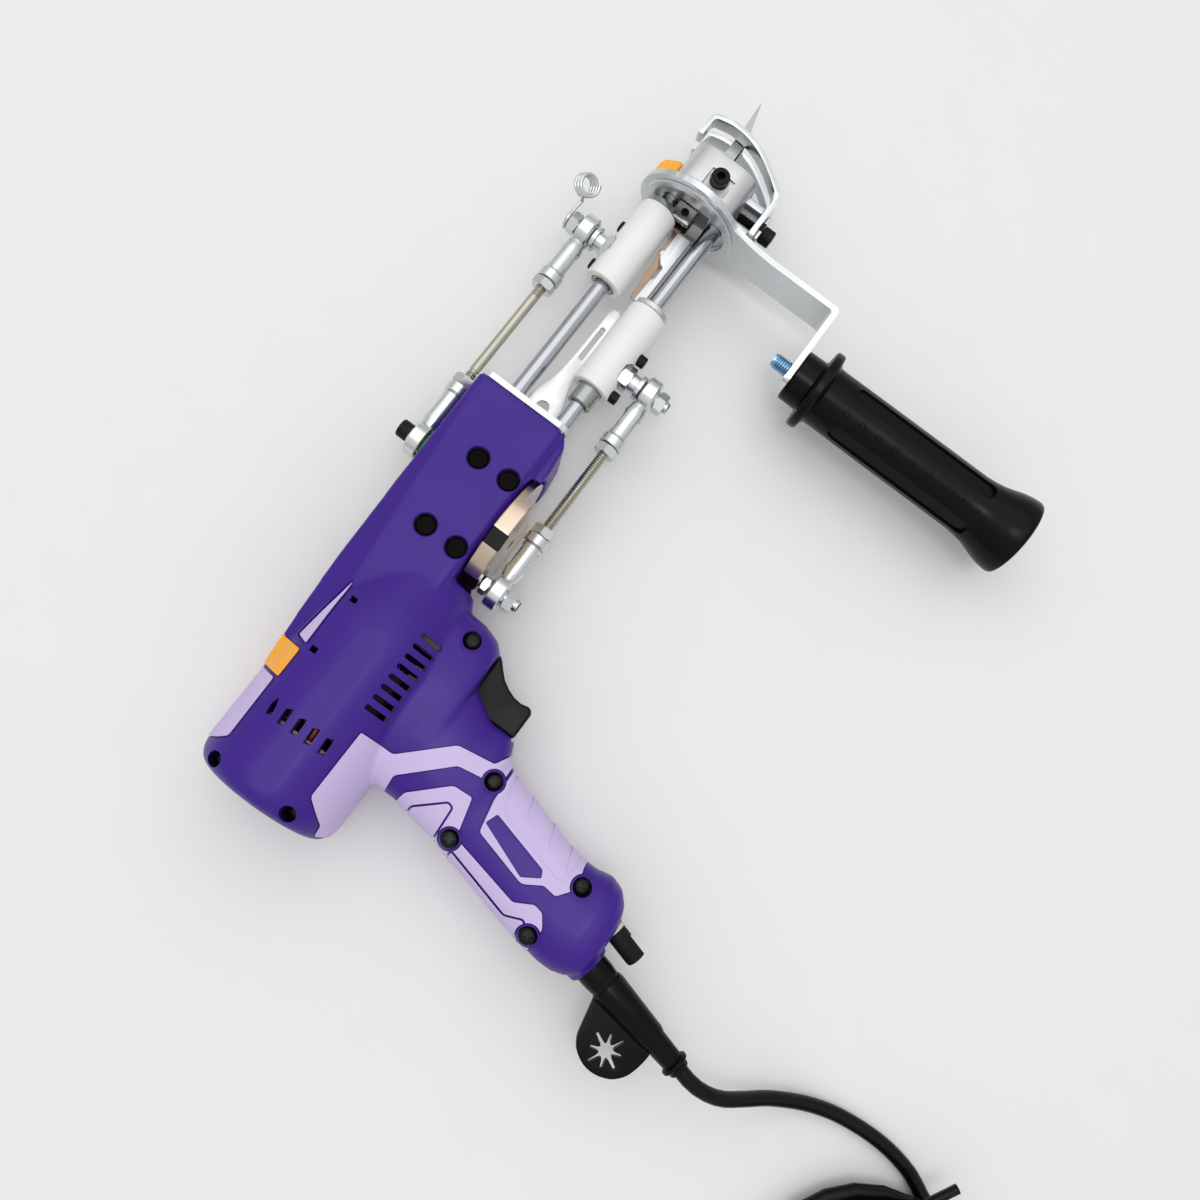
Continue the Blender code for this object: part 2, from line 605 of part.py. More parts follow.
def bridged(rings, closed=False):
    """A solid skinned over rings of points. A ring of one point is a tip."""
    bm = bmesh.new()
    loops = [[bm.verts.new(point) for point in ring] for ring in rings]
    pairs = list(zip(loops, loops[1:]))
    if closed:
        pairs.append((loops[-1], loops[0]))
    for near, far in pairs:
        count = max(len(near), len(far))
        for here in range(count):
            there = (here + 1) % count
            if len(near) == 1:
                bm.faces.new((near[0], far[there], far[here]))
            elif len(far) == 1:
                bm.faces.new((near[here], near[there], far[0]))
            else:
                bm.faces.new((near[here], near[there], far[there], far[here]))
    if not closed:
        for ring in (loops[0], loops[-1]):
            if len(ring) > 2:
                bm.faces.new(ring)
    return shape_from(bm)


def turned(profile, sides, bored=False):
    """A solid of revolution round Z from (radius, height) pairs. A bored one closes on itself."""
    rings = []
    for radius, height in profile:
        if radius == 0:
            rings.append([(0, 0, height)])
            continue
        angles = [math.tau * (k + 0.5) / sides for k in range(sides)]
        rings.append([(radius * math.cos(angle), radius * math.sin(angle), height) for angle in angles])
    return bridged(rings, closed=bored)


def rod(radius, low, high, sides=20):
    return turned([(0, low), (radius, low), (radius, high), (0, high)], sides)


def tube(outer, inner, low, high, sides=20):
    return turned([(outer, low), (outer, high), (inner, high), (inner, low)], sides, bored=True)


def prism(points, low, high, along="Z"):
    """The outline pushed from low to high. Along X it holds (y, z), along Y (x, z), along Z (x, y)."""
    placed = {
        "X": lambda a, b, level: (level, a, b),
        "Y": lambda a, b, level: (a, level, b),
        "Z": lambda a, b, level: (a, b, level),
    }[along]
    return bridged([[placed(a, b, level) for a, b in points] for level in (low, high)])


def brick(low, high):
    outline = [(low[0], low[1]), (high[0], low[1]), (high[0], high[1]), (low[0], high[1])]
    return prism(outline, low[2], high[2])


def rounded(low_a, high_a, low_b, high_b, corner, steps=4):
    """Points of a rectangle with round corners."""
    points = []
    centres = [
        (high_a - corner, high_b - corner, 0),
        (low_a + corner, high_b - corner, 1),
        (low_a + corner, low_b + corner, 2),
        (high_a - corner, low_b + corner, 3),
    ]
    for a, b, quarter in centres:
        for k in range(steps + 1):
            angle = (quarter + k / steps) * math.pi / 2
            points.append((a + corner * math.cos(angle), b + corner * math.sin(angle)))
    return points


def hexagon(radius):
    return [(radius * math.cos(k * math.pi / 3), radius * math.sin(k * math.pi / 3)) for k in range(6)]


def aimed(made, start, direction, spin=0.0):
    """Turns a shape built along Z to run along direction from start."""
    turn = Vector(direction).to_track_quat("Z", "Y").to_matrix().to_4x4()
    made.data.transform(Matrix.Translation(start) @ turn @ Matrix.Rotation(spin, 4, "Z"))
    return made


def moved(made, offset):
    made.data.transform(Matrix.Translation(offset))
    return made


def mirrored(made):
    """A copy of the shape on the other side of the mid-plane."""
    copy = made.copy()
    copy.data = made.data.copy()
    bpy.context.scene.collection.objects.link(copy)
    copy.data.transform(Matrix.Scale(-1, 4, ALONG_Z))
    copy.data.flip_normals()
    return copy


def duplicate(made):
    copy = made.copy()
    copy.data = made.data.copy()
    bpy.context.scene.collection.objects.link(copy)
    return copy


def remove(made):
    bpy.data.objects.remove(made, do_unlink=True)


def together(shapes):
    """One object that holds the shapes as separate solids."""
    bm = bmesh.new()
    for shape in shapes:
        bm.from_mesh(shape.data)
        remove(shape)
    mesh = bpy.data.meshes.new("group")
    bm.to_mesh(mesh)
    bm.free()
    made = bpy.data.objects.new("group", mesh)
    bpy.context.scene.collection.objects.link(made)
    return made


def combined(target, tool, operation, keep_tool=False):
    change = target.modifiers.new("combine", "BOOLEAN")
    change.solver = "EXACT"
    change.operation = operation
    change.material_mode = "TRANSFER"
    change.object = tool
    graph = bpy.context.evaluated_depsgraph_get()
    mesh = bpy.data.meshes.new_from_object(target.evaluated_get(graph))
    target.modifiers.remove(change)
    target.data = mesh
    if not keep_tool:
        remove(tool)
    return target


def cut(target, *tools):
    for tool in tools:
        combined(target, tool, "DIFFERENCE")
    return target


def fused(first, *others):
    for other in others:
        combined(first, other, "UNION")
    return first


def common(target, tool, keep_tool=False):
    return combined(target, tool, "INTERSECT", keep_tool)


def coloured(made, finish_name):
    made.data.materials.clear()
    made.data.materials.append(material(finish_name))
    return made


def finish(made, name, finish_name, tool, pivot=(0, 0, 0), smooth=math.radians(35)):
    """Names a piece, gives it its material and puts its origin on the joint's axis."""
    made.name = name
    made.data.name = name
    if finish_name:
        coloured(made, finish_name)
    made.data.transform(Matrix.Translation(-Vector(pivot)))
    made.location = pivot
    made.parent = tool
    made.data.shade_smooth()
    made.data.set_sharp_from_angle(angle=smooth)
    return made


def back_and_down(shares):
    """Points from shares of the housing's length back and of the grip's drop down."""
    return [(-HOUSING_LENGTH * back, -GRIP_DROP * down) for back, down in shares]


def housing_box(grow):
    """The gearbox section, from the front plate back over the barrel's shoulder."""
    front = -PLATE_THICKNESS - FIT
    low = -BOX_BOTTOM - grow
    rings = []
    for back, top_share, half_share, drop_share in BOX_SECTION_SHARES:
        top = BOX_TOP * top_share + grow
        half = BOX_HALF_WIDTH * half_share + grow
        drop = BOX_TOP * drop_share
        inset = half - max(drop * 0.55, BOX_CHAMFER)
        side = [(low, half - BOX_CHAMFER), (low + BOX_CHAMFER, half), (top - drop, half), (top, inset)]
        outline = side + [(y, -z) for y, z in reversed(side)]
        rings.append([(front - (BOX_REAR + front) * back, y, z) for y, z in outline])
    return bridged(rings)


def front_tab(grow):
    """The lip between the front plate and the lower crank, hollowed round the crank."""
    front = -PLATE_THICKNESS - FIT
    outline = [
        (front, -BOX_BOTTOM + OVERRUN),
        (front, -TAB_FRONT_DEPTH - grow),
        (front - TAB_CHAMFER, -TAB_FRONT_DEPTH - TAB_CHAMFER * 0.65 - grow),
        (-TAB_REACH * 0.66, -TAB_DEPTH - grow),
        (-TAB_REACH, -TAB_DEPTH - grow),
        (-TAB_REACH, -BOX_BOTTOM + OVERRUN),
    ]
    tab = prism(outline, -TAB_HALF_WIDTH - grow, TAB_HALF_WIDTH + grow)
    opening = rod(CRANK_OPENING_RADIUS, BOX_BOTTOM - OVERRUN / 2, TAB_DEPTH + OVERRUN, 32)
    return cut(tab, aimed(opening, (-CROSS_PLACE, 0, 0), -ALONG_Y))


def housing_barrel(grow):
    """The motor barrel, turned round the motor's axis."""
    swell = [
        (0, BARREL_START), (0.53, BARREL_START), (0.74, BARREL_START * 1.09), (0.91, BARREL_START * 1.19),
        (1.0, BARREL_START * 1.30), (1.0, HOUSING_LENGTH * 0.950), (0.97, HOUSING_LENGTH * 0.973),
        (0.90, HOUSING_LENGTH * 0.989), (0.76, HOUSING_LENGTH * 0.998), (0, HOUSING_LENGTH),
    ]
    profile = []
    for share, place in swell:
        radius = share * BARREL_RADIUS + (grow if share else 0)
        reach = place + grow if place > HOUSING_LENGTH * 0.96 else place
        profile.append((radius, reach))
    return aimed(turned(profile, 24), (0, -BARREL_AXIS, 0), -ALONG_X)


def pistol_grip(grow):
    """Nose, trigger section, grip and foot as one loft of rounded sections down the grip."""
    rings = []
    last = len(GRIP_SECTION_SHARES) - 1
    for index, (drop, front, rear, half) in enumerate(GRIP_SECTION_SHARES):
        low = -HOUSING_LENGTH * rear - grow
        high = -HOUSING_LENGTH * front + grow
        half_width = GRIP_HALF_WIDTH * half + grow
        y = -GRIP_DROP * drop - (grow if index == last else 0)
        middle, reach = (low + high) / 2, (high - low) / 2
        ring = []
        for k in range(GRIP_SIDES):
            angle = math.tau * k / GRIP_SIDES
            c, s = math.cos(angle), math.sin(angle)
            x = middle + reach * math.copysign(abs(c) ** (2 / GRIP_ROUNDNESS), c)
            z = half_width * math.copysign(abs(s) ** (2 / GRIP_ROUNDNESS), s)
            ring.append((x, y, z))
        rings.append(ring)
    return bridged(rings)


def leaning(lean):
    """The direction down along the grip."""
    return Vector((-math.sin(lean), -math.cos(lean), 0))


def housing_form(grow=0.0):
    """The outer shape of the closed housing, grown by a margin."""
    form = fused(housing_box(grow), front_tab(grow), housing_barrel(grow), pistol_grip(grow))
    collar = rod(COLLAR_RADIUS + grow, -COLLAR_DEPTH, COLLAR_HEIGHT)
    fused(form, aimed(collar, (-GUARD_PLACE, -GUARD_DROP, 0), leaning(GRIP_LEAN)))
    for side in (-1, 1):
        face = side * (MID_HEIGHT + grow)
        low, high = sorted((face, face + side * OVERRUN * 2))
        cut(form, brick((-HOUSING_LENGTH * 1.1, -BARREL_RADIUS * 2, low), (0, BARREL_RADIUS * 2, high)))
    return form


def gear_bay():
    """The hollow round the gear block, the crown gear and the cranks."""
    front = brick(
        (-BLOCK_DEPTH - FIT, -BLOCK_BOTTOM - FIT, -CAVITY_HALF_WIDTH),
        (0, BLOCK_TOP + FIT, CAVITY_HALF_WIDTH),
    )
    rear = brick(
        (-GEARBOX_LENGTH, -POST_FLOOR - FIT, -CAVITY_HALF_WIDTH),
        (-BLOCK_DEPTH + OVERRUN, UPPER_ARM_TOP + FIT, CAVITY_HALF_WIDTH),
    )
    shaft_hole = aimed(
        rod(CROSS_RADIUS * 1.5, -BOX_BOTTOM - OVERRUN, UPPER_RECESS_FLOOR + FIT),
        (-CROSS_PLACE, 0, 0), ALONG_Y,
    )
    recess = aimed(
        rod(UPPER_CRANK_RADIUS + FIT * 4, UPPER_RECESS_FLOOR, BOX_TOP + OVERRUN, 24),
        (-CROSS_PLACE, 0, 0), ALONG_Y,
    )
    return fused(front, rear, shaft_hole, recess)


def motor_bay():
    """The stepped bore of the barrel: front bearing seat, fan and stator bay, brush bay, rear bearing seat."""
    lip = FRONT_BEARING_RADIUS * 0.78
    seat_front = FRONT_BEARING_PLACE - FIT
    seat_rear = FRONT_BEARING_PLACE + FRONT_BEARING_WIDTH + FIT
    stator_rear = STATOR_PLACE + STATOR_LENGTH + FIT
    rear_floor = REAR_BEARING_PLACE + REAR_BEARING_WIDTH + FIT
    profile = [
        (0, GEARBOX_LENGTH - OVERRUN / 3), (lip, GEARBOX_LENGTH - OVERRUN / 3), (lip, seat_front),
        (FRONT_BEARING_RADIUS + FIT, seat_front), (FRONT_BEARING_RADIUS + FIT, seat_rear),
        (MOTOR_BAY_RADIUS, seat_rear), (MOTOR_BAY_RADIUS, stator_rear), (BRUSH_BAY_RADIUS, stator_rear),
        (BRUSH_BAY_RADIUS, REAR_BEARING_PLACE), (REAR_BEARING_RADIUS + FIT, REAR_BEARING_PLACE),
        (REAR_BEARING_RADIUS + FIT, rear_floor), (0, rear_floor),
    ]
    return aimed(turned(profile, 20), (0, -BARREL_AXIS, 0), -ALONG_X)


def control_bay():
    """The trigger's slot, the switch bay, the grip's hollow and the holes of the foot."""
    half = TRIGGER_HALF_WIDTH + FIT
    slot_front = -HOUSING_LENGTH * TRIGGER_SHARES[0][0]
    slot = brick((-TRIGGER_SLOT_REAR, -TRIGGER_SLOT_BOTTOM, -half), (slot_front, -TRIGGER_SLOT_TOP, half))
    switch = brick(
        (-SWITCH_REAR - FIT, -SWITCH_BOTTOM - FIT, -SWITCH_BAY_HALF_WIDTH),
        (-TRIGGER_SLOT_REAR + OVERRUN / 3, -SWITCH_TOP + FIT, SWITCH_BAY_HALF_WIDTH),
    )
    hollow = prism(back_and_down(GRIP_BAY_SHARES), -GRIP_BAY_HALF_WIDTH, GRIP_BAY_HALF_WIDTH)
    link = brick(
        (-HOUSING_LENGTH * GRIP_BAY_SHARES[1][0] + OVERRUN, -GRIP_DROP * GRIP_BAY_SHARES[0][1] - OVERRUN, -half / 2),
        (-HOUSING_LENGTH * GRIP_BAY_SHARES[0][0] - OVERRUN, -SWITCH_BOTTOM + OVERRUN, half / 2),
    )
    bush = rod(CONTROL_BUSH_RADIUS + FIT, -CONTROL_BODY_FLOOR - OVERRUN, OVERRUN)
    aimed(bush, (-KNOB_PLACE, -KNOB_DROP, 0), leaning(KNOB_LEAN))
    stem = rod(GUARD_STEM_RADIUS + FIT, -GUARD_STEM_LENGTH - OVERRUN, COLLAR_HEIGHT + OVERRUN)
    aimed(stem, (-GUARD_PLACE, -GUARD_DROP, 0), leaning(GRIP_LEAN))
    return fused(slot, switch, link, hollow, bush, stem)


def side_slots():
    """The row of cooling slots on the barrel's lower flank."""
    step = (SIDE_SLOT_LAST - SIDE_SLOT_FIRST) / (SIDE_SLOT_COUNT - 1)
    half_length, half_width = SIDE_SLOT_LENGTH / 2, SIDE_SLOT_WIDTH / 2
    slots = []
    for index in range(SIDE_SLOT_COUNT):
        x = -SIDE_SLOT_FIRST - step * index
        near, far, end = -SIDE_SLOT_MIDDLE - half_length, -SIDE_SLOT_MIDDLE + half_length, half_width * 0.7
        outline = [
            (x, near), (x + half_width, near + end), (x + half_width, far - end),
            (x, far), (x - half_width, far - end), (x - half_width, near + end),
        ]
        slots.append(prism(outline, SIDE_SLOT_FLOOR, MID_HEIGHT + OVERRUN))
    return together(slots)


def rear_vents():
    """The pointed vents over the brushes."""
    vents = []
    half_length, half_width = REAR_VENT_LENGTH / 2, REAR_VENT_WIDTH / 2
    for index in range(REAR_VENT_COUNT):
        x, y = -REAR_VENT_PLACE, REAR_VENT_FIRST - REAR_VENT_PITCH * index
        outline = [
            (x - half_length, y - half_width), (x + half_length * 0.4, y - half_width),
            (x + half_length, y), (x + half_length * 0.4, y + half_width), (x - half_length, y + half_width),
        ]
        vents.append(prism(outline, BRUSH_BAY_RADIUS * 0.7, MID_HEIGHT + OVERRUN))
    return together(vents)


def screw_holes(tip_side):
    """Counterbores and pilot holes of the case screws, and the two deep rear holes."""
    holes = []
    top = MID_HEIGHT + OVERRUN
    for x, y in back_and_down(SCREW_SHARES):
        if tip_side:
            hole = rod(SCREW_RADIUS + FIT, -SCREW_TIP_DEPTH - FIT, OVERRUN, 8)
        else:
            profile = [
                (0, -OVERRUN), (SCREW_RADIUS + FIT, -OVERRUN), (SCREW_RADIUS + FIT, SCREW_SEAT_HEIGHT),
                (SCREW_HOLE_RADIUS, SCREW_SEAT_HEIGHT), (SCREW_HOLE_RADIUS, top), (0, top),
            ]
            hole = turned(profile, 10)
        holes.append(moved(hole, (x, y, 0)))
    if not tip_side:
        for x, y in back_and_down(REAR_SCREW_SHARES):
            holes.append(moved(rod(SCREW_HEAD_RADIUS, REAR_SEAT_HEIGHT, top, 10), (x, y, 0)))
    return together(holes)


def bolt_places():
    return [(-x, y) for x in (BOLT_FRONT, BOLT_REAR) for y in (BOLT_UPPER, -BOLT_LOWER)]


def bolt_holes():
    """The big round holes that reach the gearbox bolts."""
    holes = [moved(rod(BOLT_HOLE_RADIUS, BLOCK_HALF_WIDTH, BOX_HALF_WIDTH + OVERRUN, 16), (x, y, 0))
             for x, y in bolt_places()]
    return together(holes)


def overmoulded(whole):
    """Adds the soft panels and the shoulder tab, which are moulded on and stand a little proud."""
    grown = housing_form(TRIM_THICKNESS)
    reach = BARREL_RADIUS * 2
    for index, shares in enumerate(TRIM_SHARES + [TAB_SHARES]):
        panel = prism(back_and_down(shares), -reach, reach)
        if index == FRONT_PAD:
            cut(panel, prism(back_and_down(TRIM_WINDOW_SHARES), -reach * 1.1, reach * 1.1))
        common(panel, grown, keep_tool=True)
        coloured(panel, "orange_plastic" if shares is TAB_SHARES else "lilac_rubber")
        fused(whole, panel)
    remove(grown)
    return whole


def housing_halves(tool):
    """Both halves: the outer form, hollowed, vented and parted at the mid-plane."""
    whole = overmoulded(coloured(housing_form(), "purple_abs"))
    cut(whole, gear_bay(), motor_bay(), control_bay())
    reach = HOUSING_LENGTH * 1.2
    for name, side in (("right_housing", 1), ("left_housing", -1)):
        half = duplicate(whole)
        near, far = side * FIT / 2, side * BARREL_RADIUS * 2
        low, high = sorted((near, far))
        common(half, brick((-reach, -GRIP_DROP * 1.2, low), (OVERRUN, BARREL_RADIUS * 2, high)))
        openings = [side_slots(), rear_vents(), bolt_holes()]
        if side < 0:
            flipped = [mirrored(opening) for opening in openings]
            for opening in openings:
                remove(opening)
            openings = flipped
        cut(half, *openings, screw_holes(tip_side=side < 0))
        finish(half, name, None, tool)
    remove(whole)


def case_screws(tool):
    """The five screws that hold the halves together."""
    for number, (x, y) in enumerate(back_and_down(SCREW_SHARES), 1):
        base = SCREW_SEAT_HEIGHT + FIT
        top = base + SCREW_HEAD_HEIGHT
        profile = [
            (0, -SCREW_TIP_DEPTH), (SCREW_RADIUS, -SCREW_TIP_DEPTH), (SCREW_RADIUS, base),
            (SCREW_HEAD_RADIUS, base),
            (SCREW_HEAD_RADIUS, top), (0, top),
        ]
        finish(moved(turned(profile, 8), (x, y, 0)), f"case_screw_{number}", "black_oxide", tool)


def gear_block(tool):
    """Front plate and gearbox casting in one: rod sockets in front, two bearing arms behind."""
    plate = prism(
        rounded(-PLATE_BOTTOM, PLATE_TOP, -PLATE_HALF_WIDTH, PLATE_HALF_WIDTH, PLATE_CORNER, steps=2),
        -PLATE_THICKNESS, 0, "X",
    )
    half = BLOCK_HALF_WIDTH
    front = brick((-BLOCK_DEPTH, -BLOCK_BOTTOM, -half), (-PLATE_THICKNESS + FIT, BLOCK_TOP, half))
    inner = half - FIT
    upper = brick((-ARM_REAR, UPPER_ARM_FLOOR, -inner), (-BLOCK_DEPTH + OVERRUN, UPPER_ARM_TOP - FIT, inner))
    lower = brick((-ARM_REAR, -LOWER_ARM_FLOOR, -inner), (-BLOCK_DEPTH + OVERRUN, -LOWER_ARM_TOP, inner))
    posts = []
    for side in (1, -1):
        for rear, front_end, inside in (
            (FRONT_POST_REAR, BLOCK_DEPTH - OVERRUN * 1.2, FRONT_POST_INSIDE),
            (ARM_REAR + FIT, REAR_POST_FRONT, REAR_POST_INSIDE),
        ):
            low, high = sorted((side * inside, side * half))
            posts.append(brick((-rear, -POST_FLOOR, low), (-front_end, UPPER_ARM_TOP, high)))
    block = fused(plate, front, upper, lower, *posts)
    pinion_way = brick(
        (-ARM_REAR - OVERRUN, -POST_FLOOR - OVERRUN, -REAR_POST_INSIDE),
        (-ARM_TAIL, -LOWER_ARM_TOP + OVERRUN, REAR_POST_INSIDE),
    )
    cut(block, pinion_way)
    for low, high in (
        (UPPER_ARM_FLOOR - OVERRUN, UPPER_ARM_TOP + OVERRUN),
        (-LOWER_ARM_FLOOR - OVERRUN, -LOWER_ARM_TOP + OVERRUN),
    ):
        cut(block, aimed(rod(CROSS_BEARING_RADIUS + FIT, low, high), (-CROSS_PLACE, 0, 0), ALONG_Y))
    for y in (ROD_OFFSET, -ROD_OFFSET):
        cut(block, aimed(rod(ROD_RADIUS + FIT, -ROD_SOCKET - FIT, OVERRUN, 16), (0, y, 0), ALONG_X))
    sides = [(place, side) for place in bolt_places() for side in (1, -1)]
    seats = [aimed(rod(BOLT_HOLE_RADIUS, BOLT_SEAT_HEIGHT, BOX_HALF_WIDTH, 10), (x, y, 0), side * ALONG_Z)
             for (x, y), side in sides]
    low, high = BOLT_SEAT_HEIGHT - FIT, BOLT_SEAT_HEIGHT + BOLT_HEAD_HEIGHT
    heads = [aimed(rod(BOLT_HEAD_RADIUS, low, high, 10), (x, y, 0), side * ALONG_Z) for (x, y), side in sides]
    cut(block, together(seats))
    fused(block, together(heads))
    finish(block, "gear_block", "aluminium", tool)


def socket_head(radius, seat, height, sides=10):
    """The head of a socket screw, sunk a little into its seat."""
    top = seat + height
    socket = radius * 0.55
    return turned([
        (0, seat - height / 3), (radius, seat - height / 3), (radius, top), (socket, top),
        (socket, top - height * 0.6), (0, top - height * 0.6),
    ], sides)


def guide_rods(tool):
    for name, y in (("upper_guide_rod", ROD_OFFSET), ("lower_guide_rod", -ROD_OFFSET)):
        profile = [
            (0, -ROD_SOCKET), (ROD_RADIUS, -ROD_SOCKET), (ROD_RADIUS, ROD_REACH - ROD_RADIUS / 6),
            (ROD_RADIUS * 0.85, ROD_REACH), (0, ROD_REACH),
        ]
        finish(aimed(turned(profile, 20), (0, y, 0), ALONG_X), name, "chrome_steel", tool)


def motor(tool):
    """Everything that sits in the barrel, on the motor's axis."""
    centre = (0, -BARREL_AXIS, 0)
    stator_end = STATOR_PLACE + STATOR_LENGTH
    yoke = tube(STATOR_RADIUS, STATOR_RADIUS - STATOR_YOKE, STATOR_PLACE, stator_end)
    poles = []
    for side in (1, -1):
        low, high = sorted((side * (STATOR_RADIUS - STATOR_YOKE / 2), side * STATOR_BORE * 0.6))
        poles.append(brick((-STATOR_POLE_HALF, low, STATOR_PLACE), (STATOR_POLE_HALF, high, stator_end)))
        coil = brick(
            (-STATOR_POLE_HALF * 1.2, low * 0.9 if side > 0 else low * 0.78, STATOR_PLACE - COIL_OVERHANG),
            (STATOR_POLE_HALF * 1.2, high * 0.78 if side > 0 else high * 0.9, stator_end + COIL_OVERHANG),
        )
        poles.append(coil)
    stator = fused(yoke, *poles)
    bore = rod(STATOR_BORE, STATOR_PLACE - COIL_OVERHANG * 2, stator_end + COIL_OVERHANG * 2)
    finish(aimed(cut(stator, bore), centre, -ALONG_X), "motor_stator", "bright_steel", tool)

    pivot = (-STATOR_PLACE, -BARREL_AXIS, 0)
    finish(aimed(armature(stator_end), centre, -ALONG_X), "motor_armature", "copper_winding", tool, pivot)
    finish(aimed(cooling_fan(), centre, -ALONG_X), "motor_fan", "nylon", tool, pivot)

    for name, outer, inner, place, width in (
        ("front_motor_bearing", FRONT_BEARING_RADIUS, SHAFT_RADIUS, FRONT_BEARING_PLACE, FRONT_BEARING_WIDTH),
        ("rear_motor_bearing", REAR_BEARING_RADIUS, SHAFT_REAR_RADIUS, REAR_BEARING_PLACE, REAR_BEARING_WIDTH),
    ):
        ring = tube(outer, inner + FIT, place, place + width, 16)
        finish(aimed(ring, centre, -ALONG_X), name, "chrome_steel", tool)

    outer = BRUSH_BAY_RADIUS - BRUSH_RING_GAP
    start, end = BRUSH_PLACE - BRUSH_LENGTH / 2, BRUSH_PLACE + BRUSH_LENGTH / 2
    ring = tube(outer, outer - BRUSH_RING_WALL, start, end)
    for side in (1, -1):
        low, high = sorted((side * (COMMUTATOR_RADIUS + FIT), side * (outer - BRUSH_RING_WALL / 2)))
        inset = FIT * 2
        fused(ring, brick((low, -BRUSH_HEIGHT / 2, start + inset), (high, BRUSH_HEIGHT / 2, end - inset)))
    finish(aimed(ring, centre, -ALONG_X, math.pi / 2), "brush_holder", "black_plastic", tool)


def armature(stator_end):
    """Laminated core, windings, commutator and the shaft with its six-tooth pinion, in one."""
    core = rod(CORE_RADIUS, STATOR_PLACE, stator_end)
    slots = []
    for index in range(CORE_SLOTS):
        slot = brick(
            (CORE_RADIUS - CORE_SLOT_DEPTH, -CORE_SLOT_WIDTH / 2, STATOR_PLACE - OVERRUN),
            (CORE_RADIUS + OVERRUN, CORE_SLOT_WIDTH / 2, stator_end + OVERRUN),
        )
        slot.data.transform(Matrix.Rotation(math.tau * index / CORE_SLOTS, 4, "Z"))
        slots.append(slot)
    cut(core, together(slots))

    front_step = FRONT_BEARING_PLACE - FRONT_BEARING_WIDTH
    pinion_start = CROSS_PLACE + GEAR_RADIUS - GEAR_TOOTH_LENGTH - (PINION_LENGTH - GEAR_TOOTH_LENGTH) / 2
    pinion_end = pinion_start + PINION_LENGTH
    winding_start = STATOR_PLACE - WINDING_OVERHANG
    winding_end = stator_end + WINDING_OVERHANG
    commutator_end = COMMUTATOR_PLACE + COMMUTATOR_LENGTH
    shaft_end = REAR_BEARING_PLACE + REAR_BEARING_WIDTH
    neck = WINDING_RADIUS * 0.7
    spindle = turned([
        (0, pinion_start), (PINION_ROOT, pinion_start), (PINION_ROOT, front_step), (SHAFT_RADIUS, front_step),
        (SHAFT_RADIUS, winding_start), (WINDING_RADIUS * 0.8, winding_start),
        (WINDING_RADIUS, winding_start + FIT * 4),
        (WINDING_RADIUS, winding_end - FIT * 4), (neck, winding_end), (neck, COMMUTATOR_PLACE),
        (COMMUTATOR_RADIUS, COMMUTATOR_PLACE), (COMMUTATOR_RADIUS, commutator_end),
        (SHAFT_RADIUS, commutator_end),
        (SHAFT_RADIUS, commutator_end + FIT * 4), (SHAFT_REAR_RADIUS, commutator_end + FIT * 4),
        (SHAFT_REAR_RADIUS, shaft_end), (0, shaft_end),
    ], 12)
    teeth = []
    root = PINION_ROOT * 0.8
    for index in range(PINION_TEETH):
        outline = [(root, -PINION_TOOTH_ROOT / 2), (PINION_TIP, -PINION_TOOTH_TIP / 2),
                   (PINION_TIP, PINION_TOOTH_TIP / 2), (root, PINION_TOOTH_ROOT / 2)]
        tooth = prism(outline, pinion_start + FIT / 2, pinion_end)
        tooth.data.transform(Matrix.Rotation(math.tau * index / PINION_TEETH, 4, "Z"))
        teeth.append(tooth)
    return fused(spindle, together(teeth), core)


def cooling_fan():
    hub = tube(FAN_HUB_RADIUS, SHAFT_RADIUS + FIT, FAN_PLACE, FAN_PLACE + FAN_WIDTH, 12)
    disc = tube(FAN_RADIUS, FAN_HUB_RADIUS * 0.8, FAN_PLACE + FIT, FAN_PLACE + FAN_DISC)
    blades = []
    for index in range(FAN_BLADES):
        blade = brick(
            (FAN_HUB_RADIUS * 0.7, -FAN_BLADE_THICKNESS / 2, FAN_PLACE + FAN_DISC * 0.6),
            (FAN_RADIUS * 0.97, FAN_BLADE_THICKNESS / 2, FAN_PLACE + FAN_WIDTH * 0.8),
        )
        blade.data.transform(Matrix.Rotation(math.tau * (index + 0.35) / FAN_BLADES, 4, "Z"))
        blades.append(blade)
    return fused(hub, disc, together(blades))


